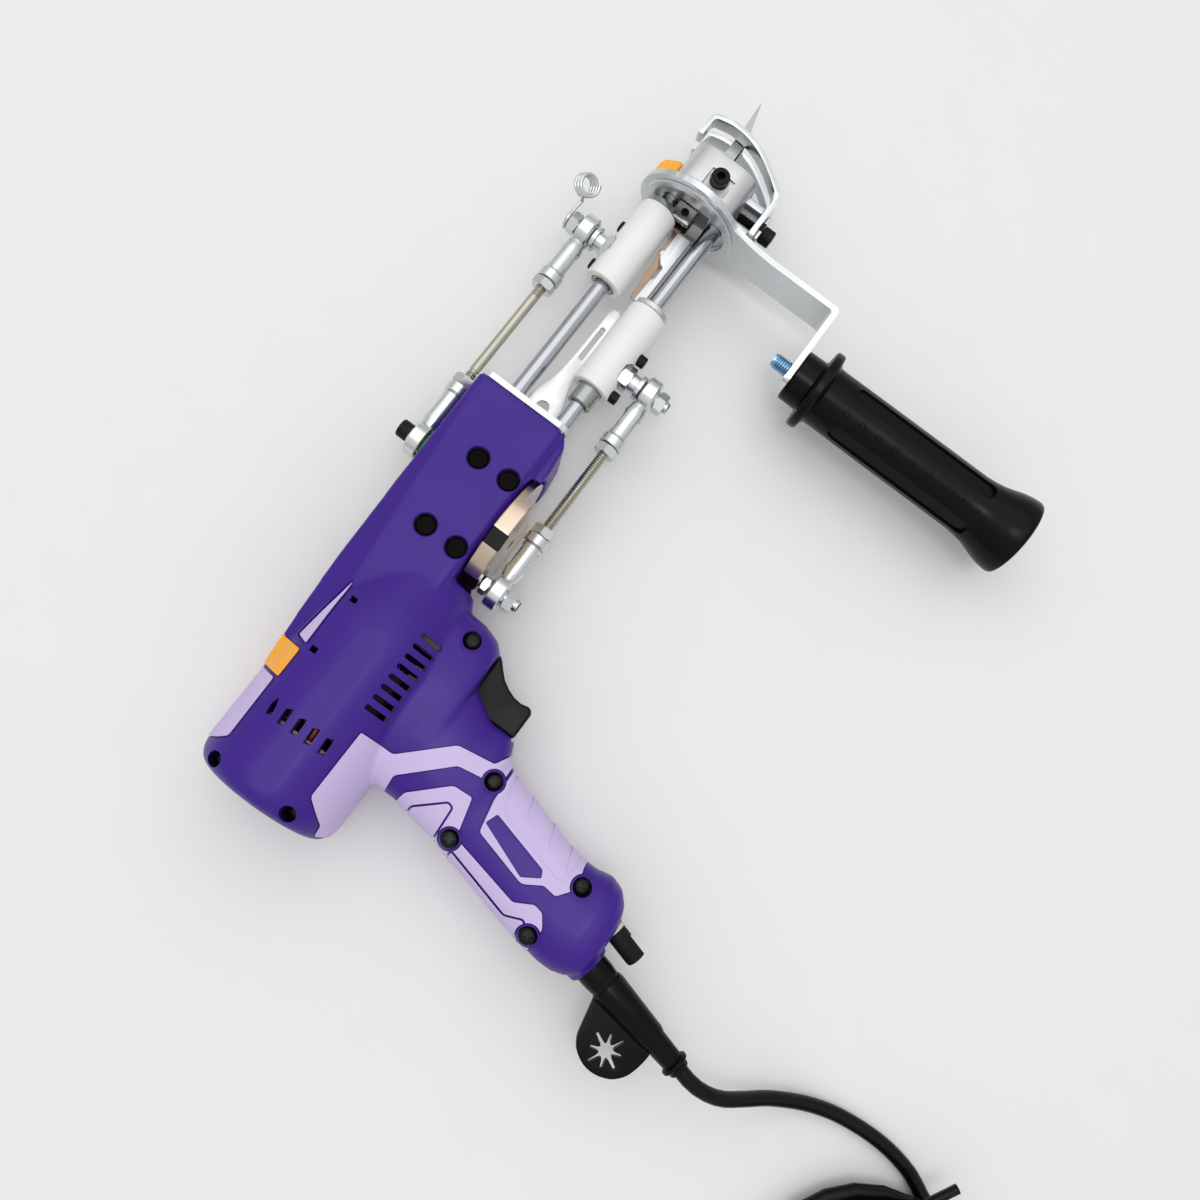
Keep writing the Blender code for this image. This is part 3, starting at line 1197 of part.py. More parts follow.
def cross_drive(tool):
    """Crown gear, cross shaft, its bearings and the two cranks."""
    centre = (-CROSS_PLACE, 0, 0)
    pivot = centre
    low = -GEAR_FACE
    high = low + GEAR_THICKNESS
    bore = CROSS_RADIUS + FIT
    profile = [
        (GEAR_RADIUS, low), (GEAR_RADIUS, high), (GEAR_HUB_RADIUS, high),
        (GEAR_HUB_RADIUS, high + GEAR_HUB_HEIGHT), (bore, high + GEAR_HUB_HEIGHT), (bore, low),
    ]
    gear = turned(profile, 24, bored=True)
    teeth = []
    for index in range(GEAR_TEETH):
        half = GEAR_TOOTH_WIDTH / 2
        outline = [(-half, low + FIT), (0, low - GEAR_TOOTH_HEIGHT), (half, low + FIT)]
        tooth = prism(outline, GEAR_RADIUS - GEAR_TOOTH_LENGTH, GEAR_RADIUS - FIT, "X")
        tooth.data.transform(Matrix.Rotation(math.tau * (index + 0.5) / GEAR_TEETH, 4, "Z"))
        teeth.append(tooth)
    fused(gear, together(teeth))
    finish(aimed(gear, centre, ALONG_Y), "crown_gear", "spring_steel", tool, pivot)

    shaft = rod(CROSS_RADIUS, -LOWER_CRANK_FLOOR + FIT, UPPER_CRANK_TOP - FIT)
    finish(aimed(shaft, centre, ALONG_Y), "cross_shaft", "chrome_steel", tool, pivot)

    for name, low in (
        ("upper_shaft_bearing", UPPER_ARM_TOP - CROSS_BEARING_WIDTH - FIT),
        ("lower_shaft_bearing", -LOWER_ARM_FLOOR + FIT),
    ):
        ring = tube(CROSS_BEARING_RADIUS, CROSS_RADIUS + FIT, low, low + CROSS_BEARING_WIDTH, 16)
        finish(aimed(ring, centre, ALONG_Y), name, "chrome_steel", tool)

    upper = tube(UPPER_CRANK_RADIUS, bore, UPPER_CRANK_FLOOR, UPPER_CRANK_TOP, 32)
    aimed(upper, centre, ALONG_Y)
    socket = rod(CRANK_SOCKET_RADIUS, UPPER_CRANK_TOP - CRANK_SOCKET_DEPTH, UPPER_CRANK_TOP + OVERRUN, 12)
    cut(upper, aimed(socket, (-CROSS_PLACE + UPPER_THROW, 0, 0), ALONG_Y))
    finish(upper, "upper_crank", "bright_steel", tool, pivot)

    finish(lower_crank(bore), "lower_crank", "bright_steel", tool, pivot)


def lower_crank(bore):
    """The counterweight crank: a heavy disc, stepped thinner on one side, with notches in its rim."""
    centre = (-CROSS_PLACE, 0, 0)
    disc = tube(LOWER_CRANK_RADIUS, bore, LOWER_CRANK_TOP, LOWER_CRANK_FLOOR, 32)
    aimed(disc, centre, -ALONG_Y)
    step_top = -LOWER_CRANK_FLOOR + LOWER_STEP_DEPTH
    outline = [
        (-CROSS_PLACE + LOWER_STEP_RADIUS * 0.55, -LOWER_CRANK_RADIUS - OVERRUN),
        (-CROSS_PLACE + LOWER_CRANK_RADIUS + OVERRUN, -LOWER_CRANK_RADIUS - OVERRUN),
        (-CROSS_PLACE + LOWER_CRANK_RADIUS + OVERRUN, LOWER_CRANK_RADIUS + OVERRUN),
        (-CROSS_PLACE + LOWER_STEP_RADIUS * 0.55, LOWER_CRANK_RADIUS + OVERRUN),
    ]
    cut(disc, prism(outline, -LOWER_CRANK_FLOOR - OVERRUN, step_top, "Y"))
    for angle in (math.radians(62), math.radians(118), math.radians(-62), math.radians(-118)):
        notch = brick(
            (LOWER_CRANK_RADIUS - CRANK_NOTCH_DEPTH, -CRANK_NOTCH_HALF, -LOWER_CRANK_FLOOR - OVERRUN),
            (LOWER_CRANK_RADIUS + OVERRUN, CRANK_NOTCH_HALF, -LOWER_CRANK_TOP + OVERRUN),
        )
        notch.data.transform(Matrix.Rotation(angle, 4, "Z"))
        cut(disc, aimed(notch, centre, ALONG_Y))
    socket = rod(CRANK_SOCKET_RADIUS, LOWER_CRANK_FLOOR - CRANK_SOCKET_DEPTH, LOWER_CRANK_FLOOR + OVERRUN, 12)
    return cut(disc, aimed(socket, (-CROSS_PLACE - LOWER_THROW, 0, 0), -ALONG_Y))


def rod_end(start, way, across):
    """A threaded rod end: an eye at start, its bore along across, and a shank that runs towards way."""
    seat = [(EYE_RADIUS, -EYE_HALF_WIDTH), (EYE_RADIUS, EYE_HALF_WIDTH),
            (EYE_SEAT_RADIUS, EYE_HALF_WIDTH), (EYE_SEAT_RADIUS, -EYE_HALF_WIDTH)]
    profile = [
        (0, EYE_SEAT_RADIUS + FIT), (ROD_END_NECK * 0.7, EYE_SEAT_RADIUS + FIT), (ROD_END_NECK, SHANK_START),
        (ROD_END_SHANK, SHANK_START + OVERRUN), (ROD_END_SHANK, ROD_END_LENGTH - COLLAR_LENGTH),
        (ROD_END_COLLAR, ROD_END_LENGTH - COLLAR_LENGTH), (ROD_END_COLLAR, ROD_END_LENGTH),
        (0, ROD_END_LENGTH),
    ]
    body = fused(aimed(turned(seat, 18, bored=True), start, across), aimed(turned(profile, 12), start, way))
    socket = rod(STUD_RADIUS + FIT, ROD_END_LENGTH - STUD_ENGAGEMENT - FIT, ROD_END_LENGTH + OVERRUN, 12)
    return cut(body, aimed(socket, start, way))


def ball_profile(offset):
    """The spherical ball that a rod end's eye swings on, as (radius, place along the bolt) pairs."""
    steps = 2
    heights = [BALL_HALF_WIDTH * (2 * k / steps - 1) for k in range(steps + 1)]
    return [(math.sqrt(BALL_RADIUS ** 2 - height ** 2), offset + height) for height in heights]


def connecting_rod(tool, prefix, offset, crank_x, slider_x, outward):
    """Two rod ends on a stud with its lock nuts."""
    pivot = (slider_x, offset, 0)
    crank = (crank_x, offset, 0)
    finish(rod_end(crank, ALONG_X, outward), prefix + "_crank_rod_end", "zinc_plate", tool, pivot)
    finish(rod_end(pivot, -ALONG_X, outward), prefix + "_slider_rod_end", "zinc_plate", tool, pivot)

    low = crank_x + ROD_END_LENGTH
    high = slider_x - ROD_END_LENGTH
    stud = rod(STUD_RADIUS, low - STUD_ENGAGEMENT, high + STUD_ENGAGEMENT, 12)
    nuts = [
        prism(hexagon(LOCK_NUT_RADIUS), low + FIT, low + FIT + LOCK_NUT_HEIGHT),
        prism(hexagon(LOCK_NUT_RADIUS), high - FIT - LOCK_NUT_HEIGHT, high - FIT),
    ]
    finish(aimed(fused(stud, *nuts), (0, offset, 0), ALONG_X), prefix + "_rod_stud", "zinc_plate", tool, pivot)


def upper_crank_bolt(tool):
    """Cap screw, ball and washer at the upper crank. The shank stops short of the crank: this pivot is open."""
    face = UPPER_CRANK_TOP + RUNNING
    seat = UPPER_EYE_OFFSET - BALL_HALF_WIDTH
    top = UPPER_EYE_OFFSET + BALL_HALF_WIDTH
    end = top + CAP_HEIGHT
    profile = [
        (0, face), (PIVOT_RADIUS, face), (PIVOT_RADIUS, seat - WASHER_HEIGHT),
        (WASHER_RADIUS, seat - WASHER_HEIGHT),
        (WASHER_RADIUS, seat), *ball_profile(UPPER_EYE_OFFSET), (CAP_RADIUS, top), (CAP_RADIUS, end),
        (CAP_SOCKET_RADIUS, end), (CAP_SOCKET_RADIUS, end - CAP_SOCKET_DEPTH), (0, end - CAP_SOCKET_DEPTH),
    ]
    bolt = aimed(turned(profile, 16), (-CROSS_PLACE + UPPER_THROW, 0, 0), ALONG_Y)
    finish(bolt, "upper_crank_bolt", "zinc_plate", tool, (UPPER_PIVOT_PLACE, UPPER_EYE_OFFSET, 0))


def lower_crank_bolt(tool):
    """Bolt, ball and nuts at the lower crank. The shank stops short of the crank: this pivot is open."""
    face = LOWER_CRANK_FLOOR + RUNNING
    seat = LOWER_EYE_OFFSET - BALL_HALF_WIDTH
    top = LOWER_EYE_OFFSET + BALL_HALF_WIDTH
    end = top + NUT_HEIGHT + BOLT_END
    profile = [
        (0, face), (PIVOT_RADIUS, face), (PIVOT_RADIUS, seat), *ball_profile(LOWER_EYE_OFFSET),
        (PIVOT_RADIUS, top), (PIVOT_RADIUS, end), (0, end),
    ]
    bolt = fused(
        turned(profile, 12),
        prism(hexagon(NUT_RADIUS), face + FIT, seat - FIT),
        prism(hexagon(NUT_RADIUS), top + FIT, top + NUT_HEIGHT),
    )
    aimed(bolt, (-CROSS_PLACE - LOWER_THROW, 0, 0), -ALONG_Y)
    finish(bolt, "lower_crank_bolt", "zinc_plate", tool, (LOWER_PIVOT_PLACE, -LOWER_EYE_OFFSET, 0))


def slider(tool, prefix, y, rear, pivot_x, offset, outward, bush_proud, screw_places, screw_proud):
    """A white sleeve with its screws, the steel bush that runs on the rod, and the pivot bolt."""
    front = rear + SLIDER_LENGTH
    pivot = (rear, y, 0)
    corner = SLIDER_RADIUS * 0.06
    profile = [
        (SLIDER_RADIUS - corner, rear), (SLIDER_RADIUS, rear + corner), (SLIDER_RADIUS, front - corner),
        (SLIDER_RADIUS - corner, front), (BUSH_RADIUS + FIT, front), (BUSH_RADIUS + FIT, rear),
    ]
    sleeve = aimed(turned(profile, 24, bored=True), (0, y, 0), ALONG_X)
    surface = abs(y) + SLIDER_RADIUS
    foot = rod(PIVOT_FOOT_RADIUS + FIT, surface - PIVOT_FOOT_DEPTH - FIT, surface + OVERRUN, 6)
    cut(sleeve, aimed(foot, (pivot_x, 0, 0), outward))
    for x in screw_places:
        height = screw_proud + SLIDER_SCREW_SINK
        screw = socket_head(SLIDER_SCREW_RADIUS, surface - SLIDER_SCREW_SINK, height)
        fused(sleeve, aimed(screw, (x, 0, 0), outward))
    finish(sleeve, prefix + "_slider", "white_sleeve", tool, pivot)

    bush = tube(BUSH_RADIUS, ROD_RADIUS + RUNNING, rear - bush_proud, front - FIT, 16)
    finish(aimed(bush, (0, y, 0), ALONG_X), prefix + "_slider_bush", "bright_steel", tool, pivot)

    # The pivot bolt: hexagon foot in the sleeve, knurled washer, ball and outer nut
    seat = abs(offset) - BALL_HALF_WIDTH
    top = abs(offset) + BALL_HALF_WIDTH
    low = surface - PIVOT_FOOT_DEPTH
    profile = [
        (0, low + FIT), (PIVOT_RADIUS, low + FIT), (PIVOT_RADIUS, seat - KNURL_HEIGHT),
        (KNURL_RADIUS, seat - KNURL_HEIGHT),
        (KNURL_RADIUS, seat), *ball_profile(abs(offset)), (PIVOT_RADIUS, top),
        (PIVOT_RADIUS, top + NUT_HEIGHT + BOLT_END),
        (0, top + NUT_HEIGHT + BOLT_END),
    ]
    bolt = fused(
        turned(profile, 12),
        rod(PIVOT_FOOT_RADIUS, low, seat - KNURL_HEIGHT - FIT * 2, 6),
        prism(hexagon(NUT_RADIUS), top + FIT, top + NUT_HEIGHT),
    )
    finish(aimed(bolt, (pivot_x, 0, 0), outward), prefix + "_pivot_bolt", "zinc_plate", tool, pivot)
    return pivot


def yarn_eyelet(tool, pivot):
    """Bent wire: a ring under the pivot bolt's nut, an arm, and three turns that carry the yarn."""
    seat = UPPER_EYE_OFFSET + BALL_HALF_WIDTH + NUT_HEIGHT + WIRE_RADIUS + FIT
    ring = PIVOT_RADIUS + WIRE_RADIUS + FIT
    points = []
    for k in range(EYELET_POINTS - 2):
        angle = math.tau * (k + 1) / EYELET_POINTS
        points.append((UPPER_PIVOT_PLACE + ring * math.cos(angle), seat, -ring * math.sin(angle)))
    height = (EYELET_TURNS - 1) * EYELET_PITCH
    points.append((EYELET_TAIL_PLACE, seat, ring * 0.9))
    for k in range(EYELET_TURNS * EYELET_POINTS + EYELET_POINTS // 4):
        angle = math.tau * k / EYELET_POINTS - math.pi * 0.75
        rise = EYELET_PITCH * k / EYELET_POINTS
        points.append((
            EYELET_PLACE + EYELET_RADIUS * math.cos(angle),
            EYELET_OFFSET + EYELET_RADIUS * math.sin(angle),
            ring + rise - height / 2 + OVERRUN / 3,
        ))
    finish(swept(points, WIRE_RADIUS, 6), "yarn_eyelet", "zinc_plate", tool, pivot)


def swept(points, radius, sides):
    """An unbroken round wire along the points."""
    points = [Vector(point) for point in points]
    rings = []
    normal = None
    for index, point in enumerate(points):
        before = points[max(index - 1, 0)]
        after = points[min(index + 1, len(points) - 1)]
        along = (after - before).normalized()
        if normal is None:
            normal = along.orthogonal().normalized()
        normal = (normal - along * normal.dot(along)).normalized()
        other = along.cross(normal)
        ring = []
        for k in range(sides):
            angle = math.tau * k / sides
            ring.append(point + radius * (math.cos(angle) * normal + math.sin(angle) * other))
        rings.append(ring)
    return bridged(rings)


def needle(tool, pivot):
    """The needle, a channel open towards the scissors that ends in a slanted point, and its carrier."""
    face = UPPER_SLIDER_REAR + SLIDER_LENGTH + FIT
    plate = tube(CARRIER_RADIUS, ROD_RADIUS + RUNNING, face, face + CARRIER_PLATE, 20)
    aimed(plate, (0, ROD_OFFSET, 0), ALONG_X)
    block = brick(
        (face, -CARRIER_BLOCK_BOTTOM, -CARRIER_BLOCK_HALF_WIDTH),
        (face + CARRIER_BLOCK_LENGTH, CARRIER_BLOCK_TOP, CARRIER_BLOCK_HALF_WIDTH),
    )
    block = fused(plate, block)
    socket = brick(
        (face - OVERRUN, NEEDLE_AXIS - NEEDLE_HALF_HEIGHT - OVERRUN * 2, -NEEDLE_HALF_WIDTH - FIT),
        (face + CARRIER_BLOCK_LENGTH + OVERRUN, NEEDLE_AXIS + NEEDLE_HALF_HEIGHT + FIT, NEEDLE_HALF_WIDTH + FIT),
    )
    cut(block, socket)
    clamp = socket_head(CLAMP_SCREW_RADIUS, CARRIER_BLOCK_HALF_WIDTH, CLAMP_SCREW_HEIGHT)
    fused(block, moved(clamp, (face + CARRIER_BLOCK_LENGTH / 2, NEEDLE_AXIS, 0)))
    finish(block, "needle_carrier", "spring_steel", tool, pivot)

    low = NEEDLE_AXIS - NEEDLE_HALF_HEIGHT
    high = NEEDLE_AXIS + NEEDLE_HALF_HEIGHT
    start = max(NEEDLE_START, face + FIT)
    outline = [
        (start, low), (NEEDLE_SHOULDER + OVERRUN * 2, low + OVERRUN / 3), (NEEDLE_TIP, NEEDLE_TIP_HEIGHT),
        (NEEDLE_SHOULDER + OVERRUN * 3.6, high + OVERRUN * 0.1), (NEEDLE_SHOULDER, high), (start, high),
    ]
    blade = prism(outline, -NEEDLE_HALF_WIDTH, NEEDLE_HALF_WIDTH)
    inside = NEEDLE_HALF_WIDTH - NEEDLE_WALL
    channel = prism([
        (start - OVERRUN, low - OVERRUN), (NEEDLE_TIP, low - OVERRUN),
        (NEEDLE_SHOULDER + NEEDLE_POINT_LENGTH * 0.7, high - NEEDLE_WALL), (NEEDLE_SHOULDER, high - NEEDLE_WALL),
        (start - OVERRUN, high - NEEDLE_WALL),
    ], -inside, inside)
    cut(blade, channel)
    for side in (1, -1):
        slant = prism([
            (NEEDLE_SHOULDER, side * NEEDLE_HALF_WIDTH), (NEEDLE_TIP + OVERRUN, side * NEEDLE_WALL / 3),
            (NEEDLE_TIP + OVERRUN, side * (NEEDLE_HALF_WIDTH + OVERRUN)),
            (NEEDLE_SHOULDER, side * (NEEDLE_HALF_WIDTH + OVERRUN)),
        ], low - OVERRUN, high + OVERRUN * 2, "Y")
        cut(blade, slant)
    finish(blade, "needle", "spring_steel", tool, pivot)


def scissors(tool, pivot):
    """The scissor carrier with its bar, the fixed blade, the moving blade and their pivot screw."""
    face = LOWER_SLIDER_REAR + SLIDER_LENGTH + FIT
    plate = tube(CARRIER_RADIUS, ROD_RADIUS + RUNNING, face, face + CARRIER_PLATE, 20)
    aimed(plate, (0, -ROD_OFFSET, 0), ALONG_X)
    bar = brick((face + FIT, -BAR_BOTTOM, -BAR_HALF_WIDTH), (face + BAR_LENGTH, -BAR_TOP, BAR_HALF_WIDTH))
    finish(fused(plate, bar), "scissor_carrier", "aluminium", tool, pivot)

    x0, y0 = BLADE_PIVOT_PLACE, -BLADE_PIVOT_DROP
    gap = FIT / 2
    foot = -BAR_TOP + FIT
    boss, reach = BLADE_BOSS_HALF, BLADE_BOSS_REACH

    def blade(tail, low, high):
        outline = [
            (tail, foot), (x0 + reach, y0 - boss), (BLADE_TIP_PLACE, BLADE_TIP_LOW),
            (BLADE_TIP_PLACE - BLADE_HEIGHT / 2, BLADE_TIP_LOW + BLADE_HEIGHT * 0.8),
            (x0 + reach, y0 + boss), (x0 - reach, y0 + boss), (tail, foot + BLADE_HEIGHT),
        ]
        hole = moved(rod(BLADE_PIVOT_RADIUS + FIT, -OVERRUN, OVERRUN, 12), (x0, y0, 0))
        return cut(prism(outline, low, high), hole)

    finish(blade(BLADE_TAIL_PLACE, gap, gap + BLADE_THICKNESS), "fixed_blade", "spring_steel", tool, pivot)
    moving = blade(x0 - BLADE_FOOT_LENGTH, -gap - BLADE_THICKNESS, -gap)
    finish(moving, "moving_blade", "spring_steel", tool, (x0, y0, 0))

    seat = gap + BLADE_THICKNESS + FIT
    end = seat + BLADE_SCREW_HEIGHT
    profile = [
        (0, -end), (BLADE_SCREW_RADIUS, -end), (BLADE_SCREW_RADIUS, -seat), (BLADE_PIVOT_RADIUS, -seat),
        (BLADE_PIVOT_RADIUS, seat), (BLADE_SCREW_RADIUS, seat), (BLADE_SCREW_RADIUS, end), (0, end),
    ]
    finish(moved(turned(profile, 12), (x0, y0, 0)), "blade_pivot_screw", "zinc_plate", tool, pivot)


def centre_plate(tool):
    """The flat arm between the guide rods, bent at its rear end to be screwed to the front plate."""
    high = -CENTRE_PLATE_DEPTH
    low = high - CENTRE_PLATE_THICKNESS
    base, arm = CENTRE_PLATE_BASE, CENTRE_PLATE_ARM
    outline = [(FIT, -base), (CENTRE_PLATE_SHOULDER, -base), (CENTRE_PLATE_NECK, -arm)]
    for k in range(5):
        angle = math.pi * (k / 4 - 0.5)
        outline.append((CENTRE_PLATE_REACH + arm * math.cos(angle), arm * math.sin(angle)))
    outline += [(CENTRE_PLATE_NECK, arm), (CENTRE_PLATE_SHOULDER, base), (FIT, base)]
    plate = prism(outline, low, high)
    slot = rounded(
        CENTRE_SLOT_START, CENTRE_SLOT_END, -CENTRE_SLOT_HALF, CENTRE_SLOT_HALF, CENTRE_SLOT_HALF * 0.98,
        steps=2,
    )
    cut(plate, prism(slot, low - OVERRUN, high + OVERRUN))
    cut(plate, moved(rod(CENTRE_HOLE_RADIUS, low - OVERRUN, high + OVERRUN), (CENTRE_HOLE_PLACE, 0, 0)))
    foot = brick((FIT, -base, low + FIT), (FIT + CENTRE_PLATE_THICKNESS, base, CENTRE_FOOT_HEIGHT))
    screw = socket_head(CENTRE_SCREW_RADIUS, CENTRE_PLATE_THICKNESS + FIT, CENTRE_SCREW_HEIGHT)
    fused(plate, foot, aimed(screw, (0, 0, CENTRE_SCREW_RADIUS * 0.7), ALONG_X))
    finish(plate, "centre_plate", "aluminium", tool)


def handle_bracket(tool):
    """The round plate with its tail bent back through a right angle to carry the front grip."""
    steps = 26
    neck = math.asin(TAIL_HALF_WIDTH * 1.22 / RING_RADIUS)
    ring = []
    for k in range(steps + 1):
        angle = neck + (math.tau - 2 * neck) * k / steps
        ring.append((-RING_RADIUS * math.cos(angle), RING_RADIUS * math.sin(angle)))
    end = -LEG_OFFSET + BEND_RADIUS
    tail = [(-TAIL_NECK, -TAIL_HALF_WIDTH), (end, -TAIL_HALF_WIDTH), (end, TAIL_HALF_WIDTH),
            (-TAIL_NECK, TAIL_HALF_WIDTH)]
    plate = prism(ring + tail, RING_PLACE, RING_PLACE + BRACKET_THICKNESS, "X")
    bend_centre = (RING_PLACE + BRACKET_THICKNESS - BEND_RADIUS, end)
    inner = BEND_RADIUS - BRACKET_THICKNESS
    outline = []
    for k in range(7):
        angle = -math.pi / 2 * k / 6
        across, up = BEND_RADIUS * math.cos(angle), BEND_RADIUS * math.sin(angle)
        outline.append((bend_centre[0] + across, bend_centre[1] + up))
    leg_end = RING_PLACE + BRACKET_THICKNESS - LEG_REACH
    outline += [
        (leg_end, -LEG_OFFSET), (leg_end, -LEG_OFFSET + BRACKET_THICKNESS),
        (bend_centre[0] + max(inner, 0), -LEG_OFFSET + BRACKET_THICKNESS),
        (RING_PLACE, -LEG_OFFSET + BRACKET_THICKNESS + OVERRUN),
        (RING_PLACE + BRACKET_THICKNESS, end + OVERRUN),
    ]
    leg = prism(outline, -TAIL_HALF_WIDTH, TAIL_HALF_WIDTH)
    fused(plate, leg)
    bore = rod(RING_BORE, RING_PLACE - OVERRUN, RING_PLACE + BRACKET_THICKNESS + OVERRUN, 26)
    cut(plate, aimed(bore, (0, 0, 0), ALONG_X))
    cut(plate, aimed(rod(STUD_SIZE + FIT, LEG_OFFSET - BRACKET_THICKNESS - OVERRUN, LEG_OFFSET + OVERRUN),
                     (STUD_PLACE, 0, 0), -ALONG_Y))
    finish(plate, "handle_bracket", "zinc_plate", tool)


def head(tool):
    """The head block with its flange, lug and passage, and the screws in it."""
    base = RING_PLACE + BRACKET_THICKNESS + FIT
    flange = aimed(rod(FLANGE_RADIUS, base, base + FLANGE_THICKNESS, 26), (0, 0, 0), ALONG_X)
    body = prism(rounded(-HEAD_BOTTOM, HEAD_TOP, -HEAD_HALF_WIDTH, HEAD_HALF_WIDTH, HEAD_CORNER, steps=2),
                 base + FIT, HEAD_FRONT, "X")
    lug = brick((LUG_REAR, -LUG_BOTTOM, -LUG_HALF_WIDTH), (LUG_FRONT, -HEAD_BOTTOM + OVERRUN, LUG_HALF_WIDTH))
    block = fused(flange, body, lug)
    passage = brick(
        (base - OVERRUN, -PASSAGE_BOTTOM, -PASSAGE_HALF_WIDTH),
        (HEAD_FRONT + OVERRUN, PASSAGE_TOP, PASSAGE_HALF_WIDTH),
    )
    cut(block, passage)
    for y in (ROD_OFFSET, -ROD_OFFSET):
        cut(block, aimed(rod(ROD_RADIUS + FIT, base - OVERRUN, ROD_REACH + FIT, 16), (0, y, 0), ALONG_X))
    half = HEAD_POCKET_HALF
    x, y = HEAD_SCREW_PLACE, -HEAD_SCREW_DROP
    floor = HEAD_HALF_WIDTH - HEAD_POCKET_DEPTH
    for side in (1, -1):
        low, high = sorted((side * floor, side * (HEAD_HALF_WIDTH + OVERRUN)))
        cut(block, brick((x - half, y - half, low), (x + half, y + half, high)))
        fused(block, aimed(socket_head(HEAD_SCREW_RADIUS, floor, CAP_HEIGHT * 0.7), (x, y, 0), side * ALONG_Z))
    bolt_hole = rod(FOOT_BOLT_RADIUS + FIT, HEAD_BOTTOM + OVERRUN, LUG_BOTTOM + OVERRUN, 12)
    cut(block, aimed(bolt_hole, (FOOT_BOLT_PLACE, 0, 0), -ALONG_Y))
    finish(block, "head_block", "aluminium", tool)


def foot_bolt(tool):
    """The cap screw and washer that clamp the presser foot under the head's lug."""
    start = HEAD_BOTTOM + OVERRUN + FIT
    washer = FOOT_BASE_DROP + FOOT_STRIP + FIT
    cap = washer + FOOT_WASHER_HEIGHT
    end = cap + CAP_HEIGHT
    profile = [
        (0, start), (FOOT_BOLT_RADIUS, start), (FOOT_BOLT_RADIUS, washer), (FOOT_WASHER_RADIUS, washer),
        (FOOT_WASHER_RADIUS, cap), (CAP_RADIUS, cap), (CAP_RADIUS, end), (CAP_SOCKET_RADIUS, end),
        (CAP_SOCKET_RADIUS, end - CAP_SOCKET_DEPTH), (0, end - CAP_SOCKET_DEPTH),
    ]
    finish(aimed(turned(profile, 14), (FOOT_BOLT_PLACE, 0, 0), -ALONG_Y), "foot_bolt", "black_oxide", tool)


def presser_foot(tool):
    """A strip bent from a slotted base forwards and up round the needle, split into two prongs."""
    drop = FOOT_BASE_DROP
    outside = [(FOOT_BASE_REAR, -drop - FOOT_STRIP), (FOOT_SHOULDER - OVERRUN * 1.6, -drop - FOOT_STRIP)]
    inside = [(FOOT_BASE_REAR, -drop), (FOOT_SHOULDER - OVERRUN * 1.9, -drop)]
    # The bowed front, from the lower corner to the upper one
    low = Vector((FOOT_SHOULDER, -drop + FOOT_STRIP * 0.4))
    high = Vector((FOOT_REACH - OVERRUN * 0.6, FOOT_HEIGHT - OVERRUN * 1.7))
    bow = Vector((FOOT_REACH + OVERRUN * 1.4, -OVERRUN * 1.2))
    steps = 7
    for k in range(steps + 1):
        t = k / steps
        point = low * (1 - t) ** 2 + bow * 2 * t * (1 - t) + high * t ** 2
        along = ((bow - low) * (1 - t) + (high - bow) * t).normalized()
        normal = Vector((along.y, -along.x))
        outside.append(tuple(point + normal * FOOT_STRIP / 2))
        inside.append(tuple(point - normal * FOOT_STRIP / 2))
    corner = OVERRUN * 1.4
    centre = Vector((high.x - corner, high.y))
    for k in range(1, 5):
        angle = math.pi / 2 * k / 4 + math.radians(12)
        way = Vector((math.cos(angle), math.sin(angle)))
        outside.append(tuple(centre + way * (corner + FOOT_STRIP / 2)))
        inside.append(tuple(centre + way * (corner - FOOT_STRIP / 2)))
    back = Vector((FOOT_TIP_BACK, FOOT_HEIGHT - OVERRUN * 0.3))
    outside.append((back.x, back.y + FOOT_STRIP / 2))
    inside.append((back.x, back.y - FOOT_STRIP / 2))
    foot = prism(outside + inside[::-1], -FOOT_HALF_WIDTH, FOOT_HALF_WIDTH)
    split = brick(
        (FOOT_SHOULDER - OVERRUN, -drop - FOOT_STRIP - OVERRUN, -FOOT_GAP_HALF),
        (FOOT_REACH + OVERRUN * 2, FOOT_HEIGHT + OVERRUN * 2, FOOT_GAP_HALF),
    )
    top_gap = brick(
        (FOOT_TIP_BACK - OVERRUN, 0, -FOOT_GAP_HALF),
        (FOOT_REACH + OVERRUN * 2, FOOT_HEIGHT + OVERRUN * 2, FOOT_GAP_HALF),
    )
    slot_radius = FOOT_BOLT_RADIUS + FIT
    slot = prism(rounded(
        FOOT_BOLT_PLACE - FOOT_SLOT_BACK - slot_radius, FOOT_BOLT_PLACE + FOOT_SLOT_FRONT + slot_radius,
        -slot_radius, slot_radius, slot_radius * 0.98, steps=2,
    ), -drop - FOOT_STRIP - OVERRUN, -drop + OVERRUN, "Y")
    cut(foot, split, top_gap, slot)
    finish(foot, "presser_foot", "zinc_plate", tool)


def yarn_guide(tool):
    """The orange plastic guide that leads the yarn over the head."""
    low = HEAD_TOP + FIT
    outline = [
        (GUIDE_REAR, low), (GUIDE_FRONT, low), (GUIDE_FRONT, low + OVERRUN * 0.3),
        (GUIDE_FRONT - OVERRUN, GUIDE_TOP - OVERRUN * 0.3), (GUIDE_FRONT - OVERRUN * 1.6, GUIDE_TOP),
        (GUIDE_REAR, GUIDE_TOP),
    ]
    guide = prism(outline, -GUIDE_HALF_WIDTH, GUIDE_HALF_WIDTH)
    middle = (low + GUIDE_TOP) / 2
    cut(guide, aimed(rod(GUIDE_BORE, GUIDE_REAR - OVERRUN, GUIDE_FRONT + OVERRUN, 16), (0, middle, 0), ALONG_X))
    finish(guide, "yarn_guide", "orange_plastic", tool)


